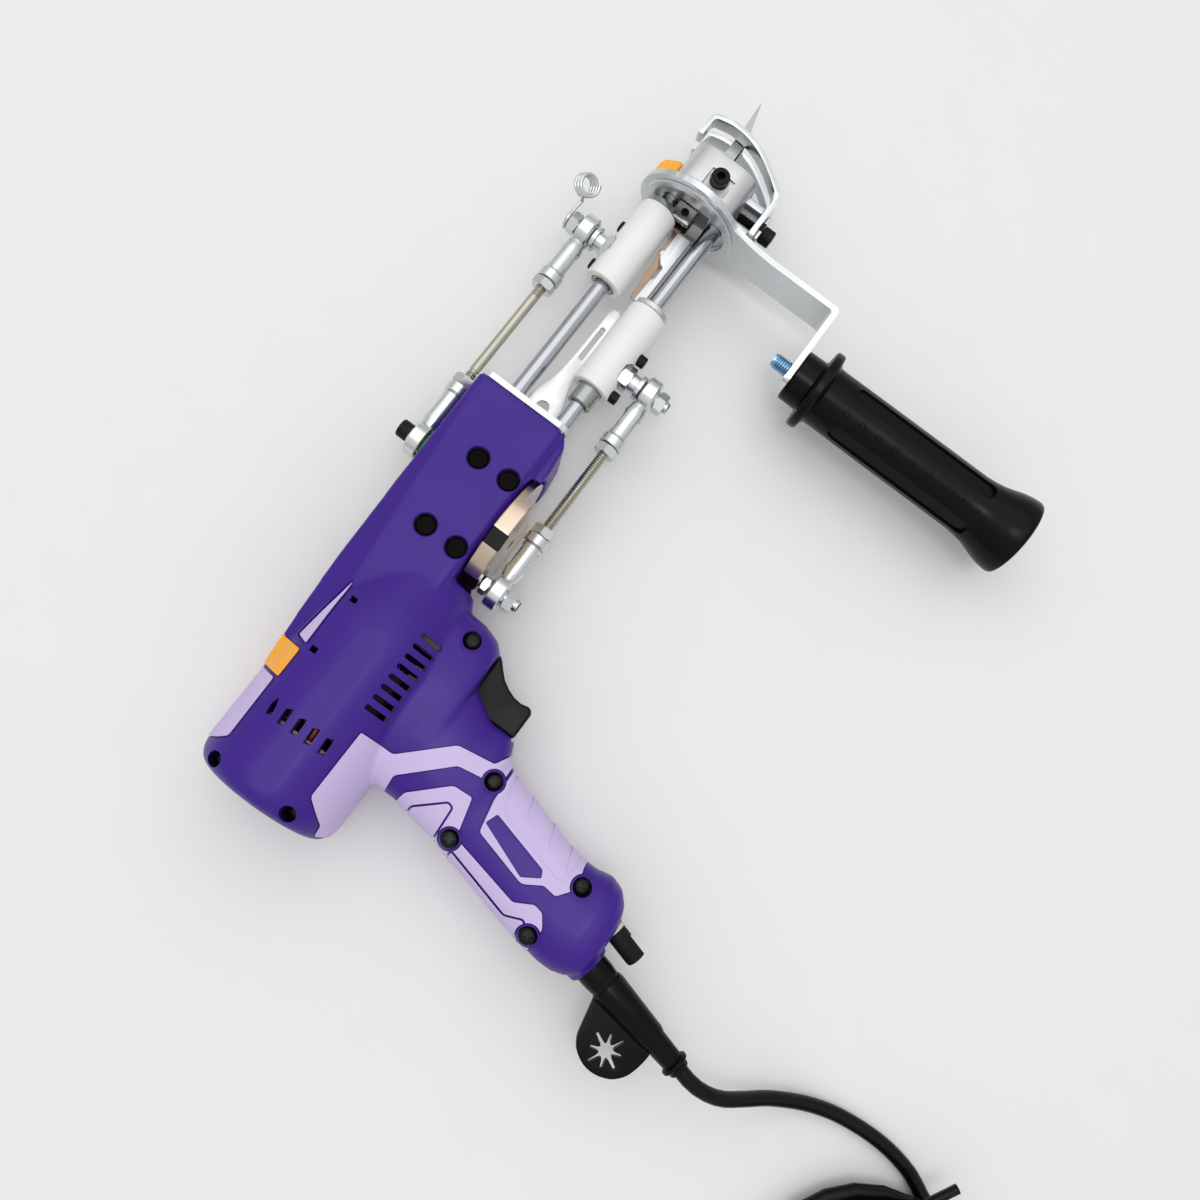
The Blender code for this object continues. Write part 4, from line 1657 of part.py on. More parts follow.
def front_grip(tool):
    """The rubber front grip and the stud that screws into it through the bracket's leg."""
    base = LEG_OFFSET + FIT
    profile = [(0, base)]
    for along, out in GRIP_PROFILE_SHARES:
        profile.append((GRIP_FLARE_RADIUS * out, base + GRIP_PROFILE_LENGTH * along))
    profile.append((0, base + GRIP_PROFILE_LENGTH))
    grip = turned(profile, 20)
    middle_radius = GRIP_FLARE_RADIUS * GRIP_PROFILE_SHARES[5][1]
    for index in range(GRIP_PANELS):
        outline = rounded(-GRIP_PANEL_HALF, GRIP_PANEL_HALF, base + GRIP_PANEL_START, base + GRIP_PANEL_END,
                          GRIP_PANEL_HALF * 0.95, steps=2)
        panel = prism(outline, middle_radius - GRIP_PANEL_DEPTH, middle_radius + OVERRUN, "X")
        panel.data.transform(Matrix.Rotation(math.tau * (index + 0.5) / GRIP_PANELS, 4, "Z"))
        cut(grip, panel)
    cut(grip, rod(STUD_SIZE + FIT, base - OVERRUN, base + STUD_GRIPPED + FIT))
    finish(aimed(grip, (STUD_PLACE, 0, 0), -ALONG_Y), "front_grip", "black_rubber", tool)

    stud = rod(STUD_SIZE, LEG_OFFSET - BRACKET_THICKNESS - STUD_INSIDE, base + STUD_GRIPPED, 16)
    finish(aimed(stud, (STUD_PLACE, 0, 0), -ALONG_Y), "handle_stud", "blue_zinc", tool)


def trigger(tool):
    """The trigger with its stem, and the switch that it presses."""
    made = prism(back_and_down(TRIGGER_SHARES), -TRIGGER_HALF_WIDTH, TRIGGER_HALF_WIDTH)
    bevel = made.modifiers.new("edges", "BEVEL")
    bevel.width = TRIGGER_BEVEL
    bevel.segments = 2
    bevel.limit_method = "ANGLE"
    bevel.angle_limit = math.radians(50)
    graph = bpy.context.evaluated_depsgraph_get()
    made.data = bpy.data.meshes.new_from_object(made.evaluated_get(graph))
    made.modifiers.clear()
    inner = -HOUSING_LENGTH * TRIGGER_SHARES[8][0]
    stem_end = -SWITCH_FRONT + TRIGGER_TRAVEL + SWITCH_STEP / 3
    stem = brick(
        (stem_end, -TRIGGER_STEM_MIDDLE - TRIGGER_STEM_HALF, -TRIGGER_STEM_HALF),
        (inner + OVERRUN, -TRIGGER_STEM_MIDDLE + TRIGGER_STEM_HALF, TRIGGER_STEM_HALF),
    )
    finish(fused(made, stem), "trigger", "black_plastic", tool)

    half = SWITCH_BAY_HALF_WIDTH - FIT
    body = brick((-SWITCH_REAR, -SWITCH_BOTTOM, -half), (-SWITCH_FRONT, -SWITCH_TOP, half))
    step = brick(
        (-SWITCH_REAR + SWITCH_STEP * 2, -SWITCH_BOTTOM, -half * 0.7),
        (-SWITCH_FRONT - SWITCH_STEP, -SWITCH_BOTTOM + SWITCH_STEP, half * 0.7),
    )
    cut(body, moved(step, (0, -SWITCH_STEP * 0.6, 0)))
    finish(body, "trigger_switch", "black_plastic", tool)


def speed_control(tool):
    """The knob at the grip's foot and the control that it turns, with the pale ring between."""
    start, down = (-KNOB_PLACE, -KNOB_DROP, 0), leaning(KNOB_LEAN)
    low, high = KNOB_GAP, KNOB_GAP + KNOB_LENGTH
    profile = [
        (0, low), (KNOB_RADIUS, low), (KNOB_RADIUS, high - KNOB_RADIUS * 0.2), (KNOB_RADIUS * 0.8, high),
        (0, high),
    ]
    knob = turned(profile, 18)
    cut(knob, rod(CONTROL_SHAFT_RADIUS + FIT, low - OVERRUN, high - KNOB_RADIUS, 12))
    corner = (KNOB_RADIUS - KNOB_FLAT, -KNOB_RADIUS, low + KNOB_LENGTH / 3)
    flat = brick(corner, (KNOB_RADIUS * 2, KNOB_RADIUS, high + OVERRUN))
    cut(knob, flat)
    finish(aimed(knob, start, down), "speed_knob", "black_plastic", tool, start)

    ring_top = CONTROL_RING_HEIGHT + FIT
    profile = [
        (0, -CONTROL_BODY_TOP), (CONTROL_BODY_RADIUS, -CONTROL_BODY_TOP),
        (CONTROL_BODY_RADIUS, -CONTROL_BODY_FLOOR - FIT),
        (CONTROL_BUSH_RADIUS, -CONTROL_BODY_FLOOR - FIT), (CONTROL_BUSH_RADIUS, ring_top),
        (CONTROL_SHAFT_RADIUS, ring_top), (CONTROL_SHAFT_RADIUS, high - KNOB_RADIUS - FIT),
        (0, high - KNOB_RADIUS - FIT),
    ]
    finish(aimed(turned(profile, 16), start, down), "speed_control", "nylon", tool, start)


def lead_guard(tool):
    """The tapered guard of the lead with its end ring, and the rubber key holder that clasps it."""
    start, down = (-GUARD_PLACE, -GUARD_DROP, 0), leaning(GRIP_LEAN)
    low = COLLAR_HEIGHT + FIT
    ring_start = GUARD_LENGTH - GUARD_RING_LENGTH
    profile = [
        (0, -GUARD_STEM_LENGTH), (GUARD_STEM_RADIUS, -GUARD_STEM_LENGTH), (GUARD_STEM_RADIUS, low),
        (GUARD_RADIUS, low), (GUARD_RADIUS, low + GUARD_STEM_LENGTH / 2), (GUARD_TIP_RADIUS, ring_start),
        (GUARD_RING_RADIUS, ring_start + GUARD_RING_LENGTH * 0.15),
        (GUARD_RING_RADIUS, GUARD_LENGTH - GUARD_RING_LENGTH * 0.15),
        (GUARD_TIP_RADIUS, GUARD_LENGTH), (0, GUARD_LENGTH),
    ]
    finish(aimed(turned(profile, 16), start, down), "cord_guard", "black_rubber", tool)

    sleeve = turned(guard_sleeve(TAG_SLEEVE + FIT), 16)
    aimed(sleeve, start, down)
    tag = prism(beside_guard(TAG_SHARES), -TAG_THICKNESS / 2, TAG_THICKNESS / 2)
    fused(tag, sleeve)
    hollow = turned(guard_sleeve(FIT, OVERRUN * 3), 16)
    cut(tag, aimed(hollow, start, down))
    (star_x, star_y), = beside_guard(STAR_SHARES)
    star = []
    for k in range(STAR_POINT_COUNT * 2):
        angle = math.pi * k / STAR_POINT_COUNT + math.pi / 2
        radius = STAR_RADIUS if k % 2 == 0 else STAR_INNER
        star.append((star_x + radius * math.cos(angle), star_y + radius * math.sin(angle)))
    cut(tag, prism(star, -TAG_THICKNESS, TAG_THICKNESS))
    finish(tag, "key_holder", "black_rubber", tool)


def beside_guard(shares):
    """Points back and down from the guard's start, in shares of its length."""
    return [(-GUARD_PLACE - GUARD_LENGTH * back, -GUARD_DROP - GUARD_LENGTH * down) for back, down in shares]


def guard_sleeve(wall, beyond=0.0):
    """Profile of a sleeve that follows the guard's taper."""
    taper_start = COLLAR_HEIGHT + FIT + GUARD_STEM_LENGTH / 2
    taper = (GUARD_TIP_RADIUS - GUARD_RADIUS) / (GUARD_LENGTH - GUARD_RING_LENGTH - taper_start)
    profile = [(0, TAG_SLEEVE_START - beyond)]
    for along in (TAG_SLEEVE_START - beyond, TAG_SLEEVE_END + beyond):
        profile.append((GUARD_RADIUS + taper * (along - taper_start) + wall, along))
    profile.append((0, TAG_SLEEVE_END + beyond))
    return profile


def smooth_route(points, count):
    """Points at even steps along a smooth curve through the route."""
    points = [Vector(point) for point in points]
    padded = [points[0] * 2 - points[1]] + points + [points[-1] * 2 - points[-2]]
    dense = []
    fine = 24
    for a, b, c, d in zip(padded, padded[1:], padded[2:], padded[3:]):
        for k in range(fine):
            t = k / fine
            square = (2 * a - 5 * b + 4 * c - d) * t ** 2
            cube = (3 * b - a - 3 * c + d) * t ** 3
            dense.append(0.5 * (2 * b + (c - a) * t + square + cube))
    dense.append(points[-1])
    lengths = [0.0]
    for before, after in zip(dense, dense[1:]):
        lengths.append(lengths[-1] + (after - before).length)
    spaced = []
    index = 0
    for k in range(count):
        wanted = lengths[-1] * k / (count - 1)
        while index < len(lengths) - 2 and lengths[index + 1] < wanted:
            index += 1
        span = lengths[index + 1] - lengths[index]
        share = (wanted - lengths[index]) / span if span else 0
        spaced.append(dense[index].lerp(dense[index + 1], min(max(share, 0), 1)))
    return spaced, lengths[-1]


def lead_curve(name, points, resolution, tool):
    curve = bpy.data.curves.new(name, "CURVE")
    curve.dimensions = "3D"
    curve.bevel_depth = LEAD_DIAMETER / 2
    curve.bevel_resolution = resolution
    curve.use_fill_caps = True
    spline = curve.splines.new("POLY")
    spline.points.add(len(points) - 1)
    for place, point in zip(spline.points, points):
        place.co = (*point, 1)
    curve.materials.append(material("black_rubber"))
    made = bpy.data.objects.new(name, curve)
    bpy.context.scene.collection.objects.link(made)
    made.parent = tool
    return made


def coil_points(centre, start_angle):
    """Loops that spiral in and out, two turns to a layer, climbing where the spiral turns back."""
    turns = COIL_TURNS_PER_LAYER * COIL_LAYERS
    points = []
    for k in range(turns * COIL_LOOP_POINTS + 1):
        turn = k / COIL_LOOP_POINTS
        folded = turn % (2 * COIL_TURNS_PER_LAYER)
        radius = COIL_RADIUS - COIL_PITCH * min(folded, 2 * COIL_TURNS_PER_LAYER - folded)
        layer = 0.0
        for climb in range(1, COIL_LAYERS):
            rise = min(max((turn - climb * COIL_TURNS_PER_LAYER) * 2 + 0.5, 0), 1)
            layer += rise * rise * (3 - 2 * rise)
        angle = start_angle - math.tau * turn
        offset = Vector((radius * math.cos(angle), radius * math.sin(angle), COIL_PITCH * layer))
        points.append(centre + offset)
    return points + coil_tail(centre, start_angle, points[-1].z - centre.z)


def coil_tail(centre, start_angle, height):
    """The last half turn, which climbs onto the coil, and the bend that takes the plug across it."""
    step = math.tau / COIL_LOOP_POINTS
    half_turn = COIL_LOOP_POINTS // 2
    plug_height = height + LEAD_DIAMETER / 2 + PLUG_HALF_HEIGHT + FIT
    points = []
    for k in range(1, half_turn + 1):
        share = k / half_turn
        radius = COIL_RADIUS + COIL_TAIL_SWELL * math.sin(math.pi * share)
        angle = start_angle - step * k
        z = height + (plug_height - height) * math.sin(math.pi / 2 * share)
        points.append(centre + Vector((radius * math.cos(angle), radius * math.sin(angle), z)))
    turned_to = start_angle - step * half_turn
    inner = COIL_RADIUS - COIL_TAIL_RADIUS
    bend_centre = centre + Vector((inner * math.cos(turned_to), inner * math.sin(turned_to), plug_height))
    for k in range(1, COIL_TAIL_TURN + 1):
        angle = turned_to - step * k
        points.append(bend_centre + COIL_TAIL_RADIUS * Vector((math.cos(angle), math.sin(angle), 0)))
    return points


def least_self_gap(points):
    """The least distance between two stretches of the coil, less the lead's diameter."""
    least = None
    for a in range(0, len(points)):
        for b in range(a + COIL_LOOP_POINTS // 2, len(points)):
            apart = (points[a] - points[b]).length
            if least is None or apart < least:
                least = apart
    return least - LEAD_DIAMETER


def mains_lead(tool):
    """The lead from the guard to its coil, the coil, and the plug beside it."""
    down = leaning(GRIP_LEAN)
    exit_point = Vector((-GUARD_PLACE, -GUARD_DROP, 0)) + down * (GUARD_LENGTH + FIT)
    straight = exit_point + down * LEAD_DIAMETER
    table = -MID_HEIGHT + LEAD_DIAMETER / 2
    laid = [exit_point + Vector(point) for point in LEAD_ROUTE]
    last = laid[-1]
    way = (last - laid[-2]).normalized()
    coil_start = last + way * LEAD_DIAMETER * 3
    coil_start.z = table
    # The coil begins square to the lead's last stretch and turns towards -X
    inward = Vector((way.y, -way.x, 0)).normalized()
    centre = coil_start + inward * COIL_RADIUS
    turns = coil_points(centre, math.atan2(-inward.y, -inward.x))
    enter = Vector((inward.y, -inward.x, 0))
    coil = [turns[0] + enter * LEAD_DIAMETER] + turns
    leave = turns[-1] - turns[-2]
    leave.z = 0
    leave.normalize()
    coil.append(turns[-1] + leave * LEAD_DIAMETER)
    join = coil[0] + enter * FIT
    route = [exit_point, straight] + laid + [join + enter * LEAD_DIAMETER, join]
    spaced, length = smooth_route(route, LEAD_POINT_COUNT)
    for point in spaced:
        point.z = max(point.z, table)
    lead_curve("mains_lead", spaced, 2, tool)
    lead_curve("lead_coil", coil, 1, tool)
    coil_length = sum((after - before).length for before, after in zip(coil, coil[1:]))
    print("lead", round(length, 4), "coil", round(coil_length, 4))
    print("least gap in the coil", round(least_self_gap(turns), 5))
    plug(tool, coil[-1] + leave * FIT, leave)


def plug(tool, start, direction):
    """A moulded two-pin plug with its tapered relief."""
    relief_end = PLUG_RELIEF_LENGTH
    body_end = relief_end + PLUG_LENGTH
    relief = turned([
        (0, 0), (LEAD_DIAMETER / 2 * 1.15, 0), (PLUG_RELIEF_RADIUS, relief_end + OVERRUN),
        (0, relief_end + OVERRUN),
    ], 14)
    rings = []
    for along, share in ((0, 0.62), (0.25, 0.9), (0.6, 1.0), (1, 0.94)):
        half = PLUG_HALF_HEIGHT * share
        outline = rounded(-half * PLUG_BREADTH_SHARE, half * PLUG_BREADTH_SHARE, -half, half, half * 0.7, steps=2)
        rings.append([(a, b, relief_end + PLUG_LENGTH * along) for a, b in outline])
    body = fused(bridged(rings), relief)
    pins = [moved(rod(PLUG_PIN_RADIUS, body_end - OVERRUN, body_end + PLUG_PIN_LENGTH, 10), (x, 0, 0))
            for x in (PLUG_PIN_OFFSET, -PLUG_PIN_OFFSET)]
    fused(body, together(pins))
    turn = Matrix((direction.cross(ALONG_Z) * -1, ALONG_Z, direction)).transposed().to_4x4()
    body.data.transform(Matrix.Translation(start) @ turn)
    finish(body, "plug", "black_rubber", tool)


def build():
    clear_scene()
    tool = bpy.data.objects.new("tool", None)
    bpy.context.scene.collection.objects.link(tool)
    tool.location = TOOL_PLACE
    housing_halves(tool)
    case_screws(tool)
    gear_block(tool)
    guide_rods(tool)
    motor(tool)
    cross_drive(tool)
    connecting_rod(tool, "upper", UPPER_EYE_OFFSET, -CROSS_PLACE + UPPER_THROW, UPPER_PIVOT_PLACE, ALONG_Y)
    connecting_rod(tool, "lower", -LOWER_EYE_OFFSET, -CROSS_PLACE - LOWER_THROW, LOWER_PIVOT_PLACE, -ALONG_Y)
    upper_crank_bolt(tool)
    lower_crank_bolt(tool)
    upper_pivot = slider(
        tool, "upper", ROD_OFFSET, UPPER_SLIDER_REAR, UPPER_PIVOT_PLACE, UPPER_EYE_OFFSET, ALONG_Y, 0,
        (UPPER_PIVOT_PLACE - UPPER_SCREW_REAR, UPPER_PIVOT_PLACE + UPPER_SCREW_FRONT), UPPER_SCREW_PROUD,
    )
    lower_pivot = slider(
        tool, "lower", -ROD_OFFSET, LOWER_SLIDER_REAR, LOWER_PIVOT_PLACE, -LOWER_EYE_OFFSET, -ALONG_Y,
        LOWER_BUSH_PROUD, (LOWER_PIVOT_PLACE - LOWER_SCREW_SPAN, LOWER_PIVOT_PLACE + LOWER_SCREW_SPAN),
        LOWER_SCREW_PROUD,
    )
    yarn_eyelet(tool, upper_pivot)
    needle(tool, upper_pivot)
    scissors(tool, lower_pivot)
    centre_plate(tool)
    handle_bracket(tool)
    head(tool)
    foot_bolt(tool)
    presser_foot(tool)
    yarn_guide(tool)
    front_grip(tool)
    trigger(tool)
    speed_control(tool)
    lead_guard(tool)
    mains_lead(tool)


build()
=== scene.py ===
# %% [markdown]
# # A handheld tufting machine, lying on its side
#
# The machine is shown as it lies on a pale table: a purple housing with a motor in its barrel, two
# sliders on chromed guide rods, a needle and scissors in front, a rubber front grip and a mains lead.
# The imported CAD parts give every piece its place. Each cell dresses one piece of the machine.
#
# All drawing here is in millimetres in the drawing axes of the machine: X runs along the guide rods
# towards the needle, Y away from the pistol grip and Z up from the table. Zero lies on the drive's
# middle line at the front plate, which is 165 mm along, 9.75 mm across and 33.4 mm up in the scene.

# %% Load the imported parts
import math

import bmesh
import bpy
import numpy as np
from mathutils import Matrix, Vector


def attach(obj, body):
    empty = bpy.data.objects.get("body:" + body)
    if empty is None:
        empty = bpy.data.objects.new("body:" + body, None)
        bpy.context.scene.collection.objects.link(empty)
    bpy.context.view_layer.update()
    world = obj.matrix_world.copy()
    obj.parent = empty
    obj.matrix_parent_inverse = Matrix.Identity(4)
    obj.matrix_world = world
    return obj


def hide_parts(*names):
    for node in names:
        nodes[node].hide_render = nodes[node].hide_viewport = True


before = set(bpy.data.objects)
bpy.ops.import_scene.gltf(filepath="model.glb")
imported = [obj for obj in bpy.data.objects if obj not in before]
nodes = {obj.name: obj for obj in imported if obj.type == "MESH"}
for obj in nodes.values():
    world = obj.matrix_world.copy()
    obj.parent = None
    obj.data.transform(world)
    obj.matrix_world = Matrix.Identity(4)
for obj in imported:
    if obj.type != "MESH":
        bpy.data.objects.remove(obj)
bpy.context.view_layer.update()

# %% [markdown]
# ## Units and places
#
# Blender works in metres and the drawing is in millimetres, so one function turns a drawn point into
# a place in the scene.

# %% From the drawing to the scene
MM = 0.001
DRAWING_ZERO = Vector((0.165, 0.00975, 0.0334))
TABLE_TOP = -33.4


def spot(x, y, z=0.0):
    """The place in the scene of a point drawn in millimetres."""
    return DRAWING_ZERO + Vector((x, y, z)) * MM


def in_scene(name, data):
    """A new object for a mesh, curve, lamp or camera, linked to the scene."""
    made = bpy.data.objects.new(name, data)
    bpy.context.scene.collection.objects.link(made)
    return made


print("the needle's tip lies at", tuple(round(value, 4) for value in spot(201.4, 7.4)))

# %% [markdown]
# ## Camera
#
# The photograph was taken from above with a short lens, 33 mm on a frame 36 mm wide, from about half
# a metre over the table. The machine runs up to the right, which comes from turning the camera.

# %% The camera
view = bpy.data.cameras.new("table_camera")
view.lens = 33
view.sensor_width = 36
camera = in_scene("table_camera", view)
camera.location = (0.02535, -0.06566, 0.52808)
camera.rotation_euler = [math.radians(turn) for turn in (8.2759, -6.1615, -53.8121)]
bpy.context.scene.camera = camera
print("camera is", round(camera.location.z, 3), "m above the table")

# %% [markdown]
# ## Finishes
#
# Every finish starts from the real material and how its surface was made. Colours are written as
# sRGB hex values, as a picture editor shows them, and one function turns them to the linear values
# that the renderer works with. Another small function adds a node with its settings and its inputs.

# %% Helpers for materials
def linear(hex_colour):
    """Linear RGBA of an sRGB hex colour."""
    parts = [int(hex_colour[k:k + 2], 16) / 255 for k in (1, 3, 5)]
    return tuple(c / 12.92 if c < 0.04045 else ((c + 0.055) / 1.055) ** 2.4 for c in parts) + (1.0,)


def add(tree, kind, inputs=None, **settings):
    """Adds a node, sets its properties and fills its inputs with values or other nodes' outputs."""
    node = tree.nodes.new(kind)
    for name, value in settings.items():
        setattr(node, name, value)
    for socket, value in (inputs or {}).items():
        if isinstance(value, bpy.types.NodeSocket):
            tree.links.new(value, node.inputs[socket])
        else:
            node.inputs[socket].default_value = value
    return node


def new_finish(name, colour, roughness, metallic=0.0, ior=1.5, specular=0.5):
    """A material with its Principled shader and a coordinate that stays with the piece, in metres."""
    made = bpy.data.materials.new(name)
    made.use_nodes = True
    tree = made.node_tree
    shader = tree.nodes["Principled BSDF"]
    shader.inputs["Base Color"].default_value = linear(colour)
    shader.inputs["Roughness"].default_value = roughness
    shader.inputs["Metallic"].default_value = metallic
    shader.inputs["IOR"].default_value = ior
    shader.inputs["Specular IOR Level"].default_value = specular
    place = add(tree, "ShaderNodeTexCoord").outputs["Object"]
    return made, tree, shader, place


print("orange in linear light:", [round(c, 3) for c in linear("#F9A51F")])

# %% [markdown]
# Most surfaces of the machine are even, with a fine grain that the mould, the blasting or the plating
# left. So one function draws that grain as height, and adds slow drifts of colour and gloss, because no
# real surface is quite the same all over.

# %% A grained surface
def per_metre(size_mm):
    """Scale of a noise whose grains are about this many millimetres across."""
    return 1.0 / (size_mm * MM)


def grained(name, colour, dark, roughness, grain_mm, depth_mm, ior=1.5, metallic=0.0, spread=0.06, specular=0.5):
    """A moulded or blasted surface: fine grains in height, broad soft drifts in colour and gloss."""
    made, tree, shader, place = new_finish(name, colour, roughness, metallic, ior, specular)
    grain = add(tree, "ShaderNodeTexNoise", {"Vector": place, "Scale": per_metre(grain_mm), "Detail": 3.0})
    drift = add(tree, "ShaderNodeTexNoise", {"Vector": place, "Scale": per_metre(28), "Detail": 4.0})
    tint = add(tree, "ShaderNodeMix", {
        "Factor": drift.outputs["Fac"], "A": linear(colour), "B": linear(dark),
    }, data_type="RGBA")
    gloss = add(tree, "ShaderNodeMapRange", {
        "Value": drift.outputs["Fac"], "From Min": 0.3, "From Max": 0.7,
        "To Min": roughness - spread, "To Max": roughness + spread,
    })
    bump = add(tree, "ShaderNodeBump", {
        "Height": grain.outputs["Fac"], "Strength": 0.5, "Distance": depth_mm * MM,
    })
    tree.links.new(tint.outputs["Result"], shader.inputs["Base Color"])
    tree.links.new(gloss.outputs["Result"], shader.inputs["Roughness"])
    tree.links.new(bump.outputs["Normal"], shader.inputs["Normal"])
    return made


print("a grain of 0.5 mm is a noise of scale", per_metre(0.5))

# %% [markdown]
# The housing is ABS, injection moulded in a spark-eroded mould, so it has a very fine even grain of
# about 0.2 mm, drawn a little coarser so that it shows, and a satin sheen. The lilac panels are a
# softer rubber moulded over it, duller and paler. The orange tab is glossy ABS. The trigger and the
# knob are black nylon. A spark-eroded face traps part of its own mirror light in its grain, so the
# dark plastics mirror less than a polished one.

# %% Plastics and rubbers
moulded_abs = grained("moulded_purple_ABS", "#3E1D8A", "#371880", 0.4, 0.35, 0.03, ior=1.53, specular=0.24)
soft_panel = grained("overmoulded_lilac_rubber", "#CBBBE3", "#C5B4DE", 0.62, 0.4, 0.03, ior=1.52)
orange_abs = grained("moulded_orange_ABS", "#FBAE22", "#F7A51C", 0.38, 0.4, 0.02, ior=1.53)
black_nylon = grained("moulded_black_nylon", "#0E0F11", "#0A0B0D", 0.42, 0.4, 0.02, ior=1.53, specular=0.16)
grip_rubber = grained("moulded_black_rubber", "#0B0B0C", "#070708", 0.28, 0.5, 0.015, ior=1.52, specular=0.11)
lead_pvc = grained("extruded_black_PVC", "#0A0A0B", "#070708", 0.3, 1.6, 0.01, ior=1.53, specular=0.16)
white_acetal = grained("turned_white_acetal", "#EDEDEC", "#E6E6E5", 0.34, 0.8, 0.01, ior=1.48)
pale_nylon = grained("moulded_pale_nylon", "#D8D2C2", "#CEC7B4", 0.5, 0.5, 0.02, ior=1.53)
print("the housing is", moulded_abs.name, "with", soft_panel.name)

# %% [markdown]
# Most small steel parts are zinc plated: a bright, slightly blue metal whose plating clouds a little.
# The head and the gearbox are cast aluminium, machined on their faces. The guide rods are ground and
# chromed. The cranks are turned steel, oiled, which keeps a warm tone. The needle and the blades are
# hardened spring steel. The studs of the connecting rods are older, duller zinc. Screws are black oxided,
# a thin dark skin with a little gloss. The gearbox bolts are black too, but their heads and the discs
# under them get a much darker, matt black as painted shade of the deep wells that they sit in.

# %% Metals
zinc_plate = grained("zinc_plated_steel", "#DFE2E3", "#C8CED1", 0.27, 0.9, 0.01, metallic=1.0, spread=0.08)
blue_zinc = grained("blue_zinc_plated_steel", "#9FC3DA", "#86AECB", 0.25, 0.9, 0.01, metallic=1.0)
machined_aluminium = grained("machined_aluminium", "#DCDDDF", "#CBCDD0", 0.42, 0.7, 0.03, metallic=1.0)
hard_chrome = grained("hard_chromed_steel", "#BEC0C6", "#B2B5BC", 0.12, 1.5, 0.003, metallic=1.0, spread=0.03)
turned_steel = grained("turned_oiled_steel", "#E2D3C2", "#B9A08B", 0.2, 0.8, 0.01, metallic=1.0)
spring_steel = grained("ground_spring_steel", "#B3B5B2", "#969A97", 0.22, 0.8, 0.01, metallic=1.0)
dull_zinc = grained("dull_zinc_plated_rod", "#C6C4BA", "#A6A496", 0.3, 0.8, 0.01, metallic=1.0)
black_oxide = grained("black_oxided_steel", "#151516", "#0F0F10", 0.32, 0.6, 0.01, metallic=0.5, specular=0.3)
bolt_black_and_well_shade = grained("black_steel_and_painted_well_shade", "#060606", "#040404", 0.7, 0.6, 0.01, specular=0.1)
copper_wire = grained("enamelled_copper_wire", "#B5642F", "#96501F", 0.35, 0.6, 0.03, metallic=1.0)
print("the guide rods are", hard_chrome.name, "and the rod ends", zinc_plate.name)

# %% [markdown]
# ## The parts that keep their CAD shape
#
# Parts deep inside the housing are hidden when it is closed. They keep their CAD shape and get the
# finish of the real part, except the motor stator, which is made black as painted shade behind the
# slots of the barrel.

# %% Finishes of the CAD parts
CAD_FINISHES = {
    moulded_abs: ["right_housing", "left_housing"],
    black_nylon: ["trigger", "trigger_switch", "speed_knob"],
    grip_rubber: ["front_grip", "cord_guard", "key_holder"],
    lead_pvc: ["mains_lead", "lead_coil", "plug"],
    # The motor stator takes the black oxide as painted shade, so that the slots in the barrel show dark.
    black_oxide: ["foot_bolt", "motor_stator"] + [f"case_screw_{k}" for k in range(1, 6)],
    machined_aluminium: ["gear_block", "head_block", "centre_plate", "scissor_carrier"],
    hard_chrome: ["upper_guide_rod", "lower_guide_rod", "cross_shaft", "front_motor_bearing",
                  "rear_motor_bearing", "upper_shaft_bearing", "lower_shaft_bearing"],
    turned_steel: ["upper_crank", "lower_crank"],
    spring_steel: ["upper_slider_bush", "lower_slider_bush", "crown_gear", "needle", "needle_carrier",
                   "fixed_blade", "moving_blade"],
    zinc_plate: ["handle_bracket", "presser_foot", "yarn_eyelet", "blade_pivot_screw",
                 "upper_crank_rod_end", "upper_slider_rod_end", "upper_rod_stud", "upper_crank_bolt",
                 "lower_crank_rod_end", "lower_slider_rod_end", "lower_rod_stud", "lower_crank_bolt",
                 "upper_pivot_bolt", "lower_pivot_bolt"],
    blue_zinc: ["handle_stud"],
    white_acetal: ["upper_slider", "lower_slider"],
    pale_nylon: ["motor_fan", "speed_control", "brush_holder"],
    copper_wire: ["motor_armature"],
    orange_abs: ["yarn_guide"],
}
for finish, names in CAD_FINISHES.items():
    for name in names:
        nodes[name].data.materials.clear()
        nodes[name].data.materials.append(finish)
print("finishes given to", sum(len(names) for names in CAD_FINISHES.values()), "CAD parts")

# %% [markdown]
# ## Mains lead
#
# The lead is a round PVC cable, 7 mm thick. It leaves the guard straight, sinks to the table under
# its own weight and runs to a neat coil of the spare length, just outside the picture, where the plug
# lies. It follows the same points as the CAD part.

# %% Places along the lead
LEAD_DIAMETER = 7.0
LEAD_ROUTE = [
    (-196.6, -240.0, -1.5), (-194.6, -249.5, -5.5), (-189.5, -260.5, -12.5), (-183.0, -273.0, -19.5),
    (-176.0, -291.5, -27.0), (-171.8, -309.5, -29.9), (-170.6, -330.0, -29.9), (-173.4, -347.8, -29.9),
    (-179.4, -361.0, -29.9),
]
GUARD_LEAN = math.radians(12.3)
GUARD_DOWN = Vector((-math.sin(GUARD_LEAN), -math.cos(GUARD_LEAN), 0))
GUARD_START = Vector((-181.6, -164.1, 0))
LEAD_EXIT = GUARD_START + GUARD_DOWN * 62.8
LEAD_LIES_AT = TABLE_TOP + LEAD_DIAMETER / 2
COIL_RADIUS, COIL_PITCH, COIL_TURNS, LOOP_POINTS = 52.5, 7.6, 3, 24
PLUG_HALF_HEIGHT, COIL_TAIL_RADIUS = 8.5, 28.5
print("the lead leaves its guard at", [round(value, 1) for value in LEAD_EXIT])

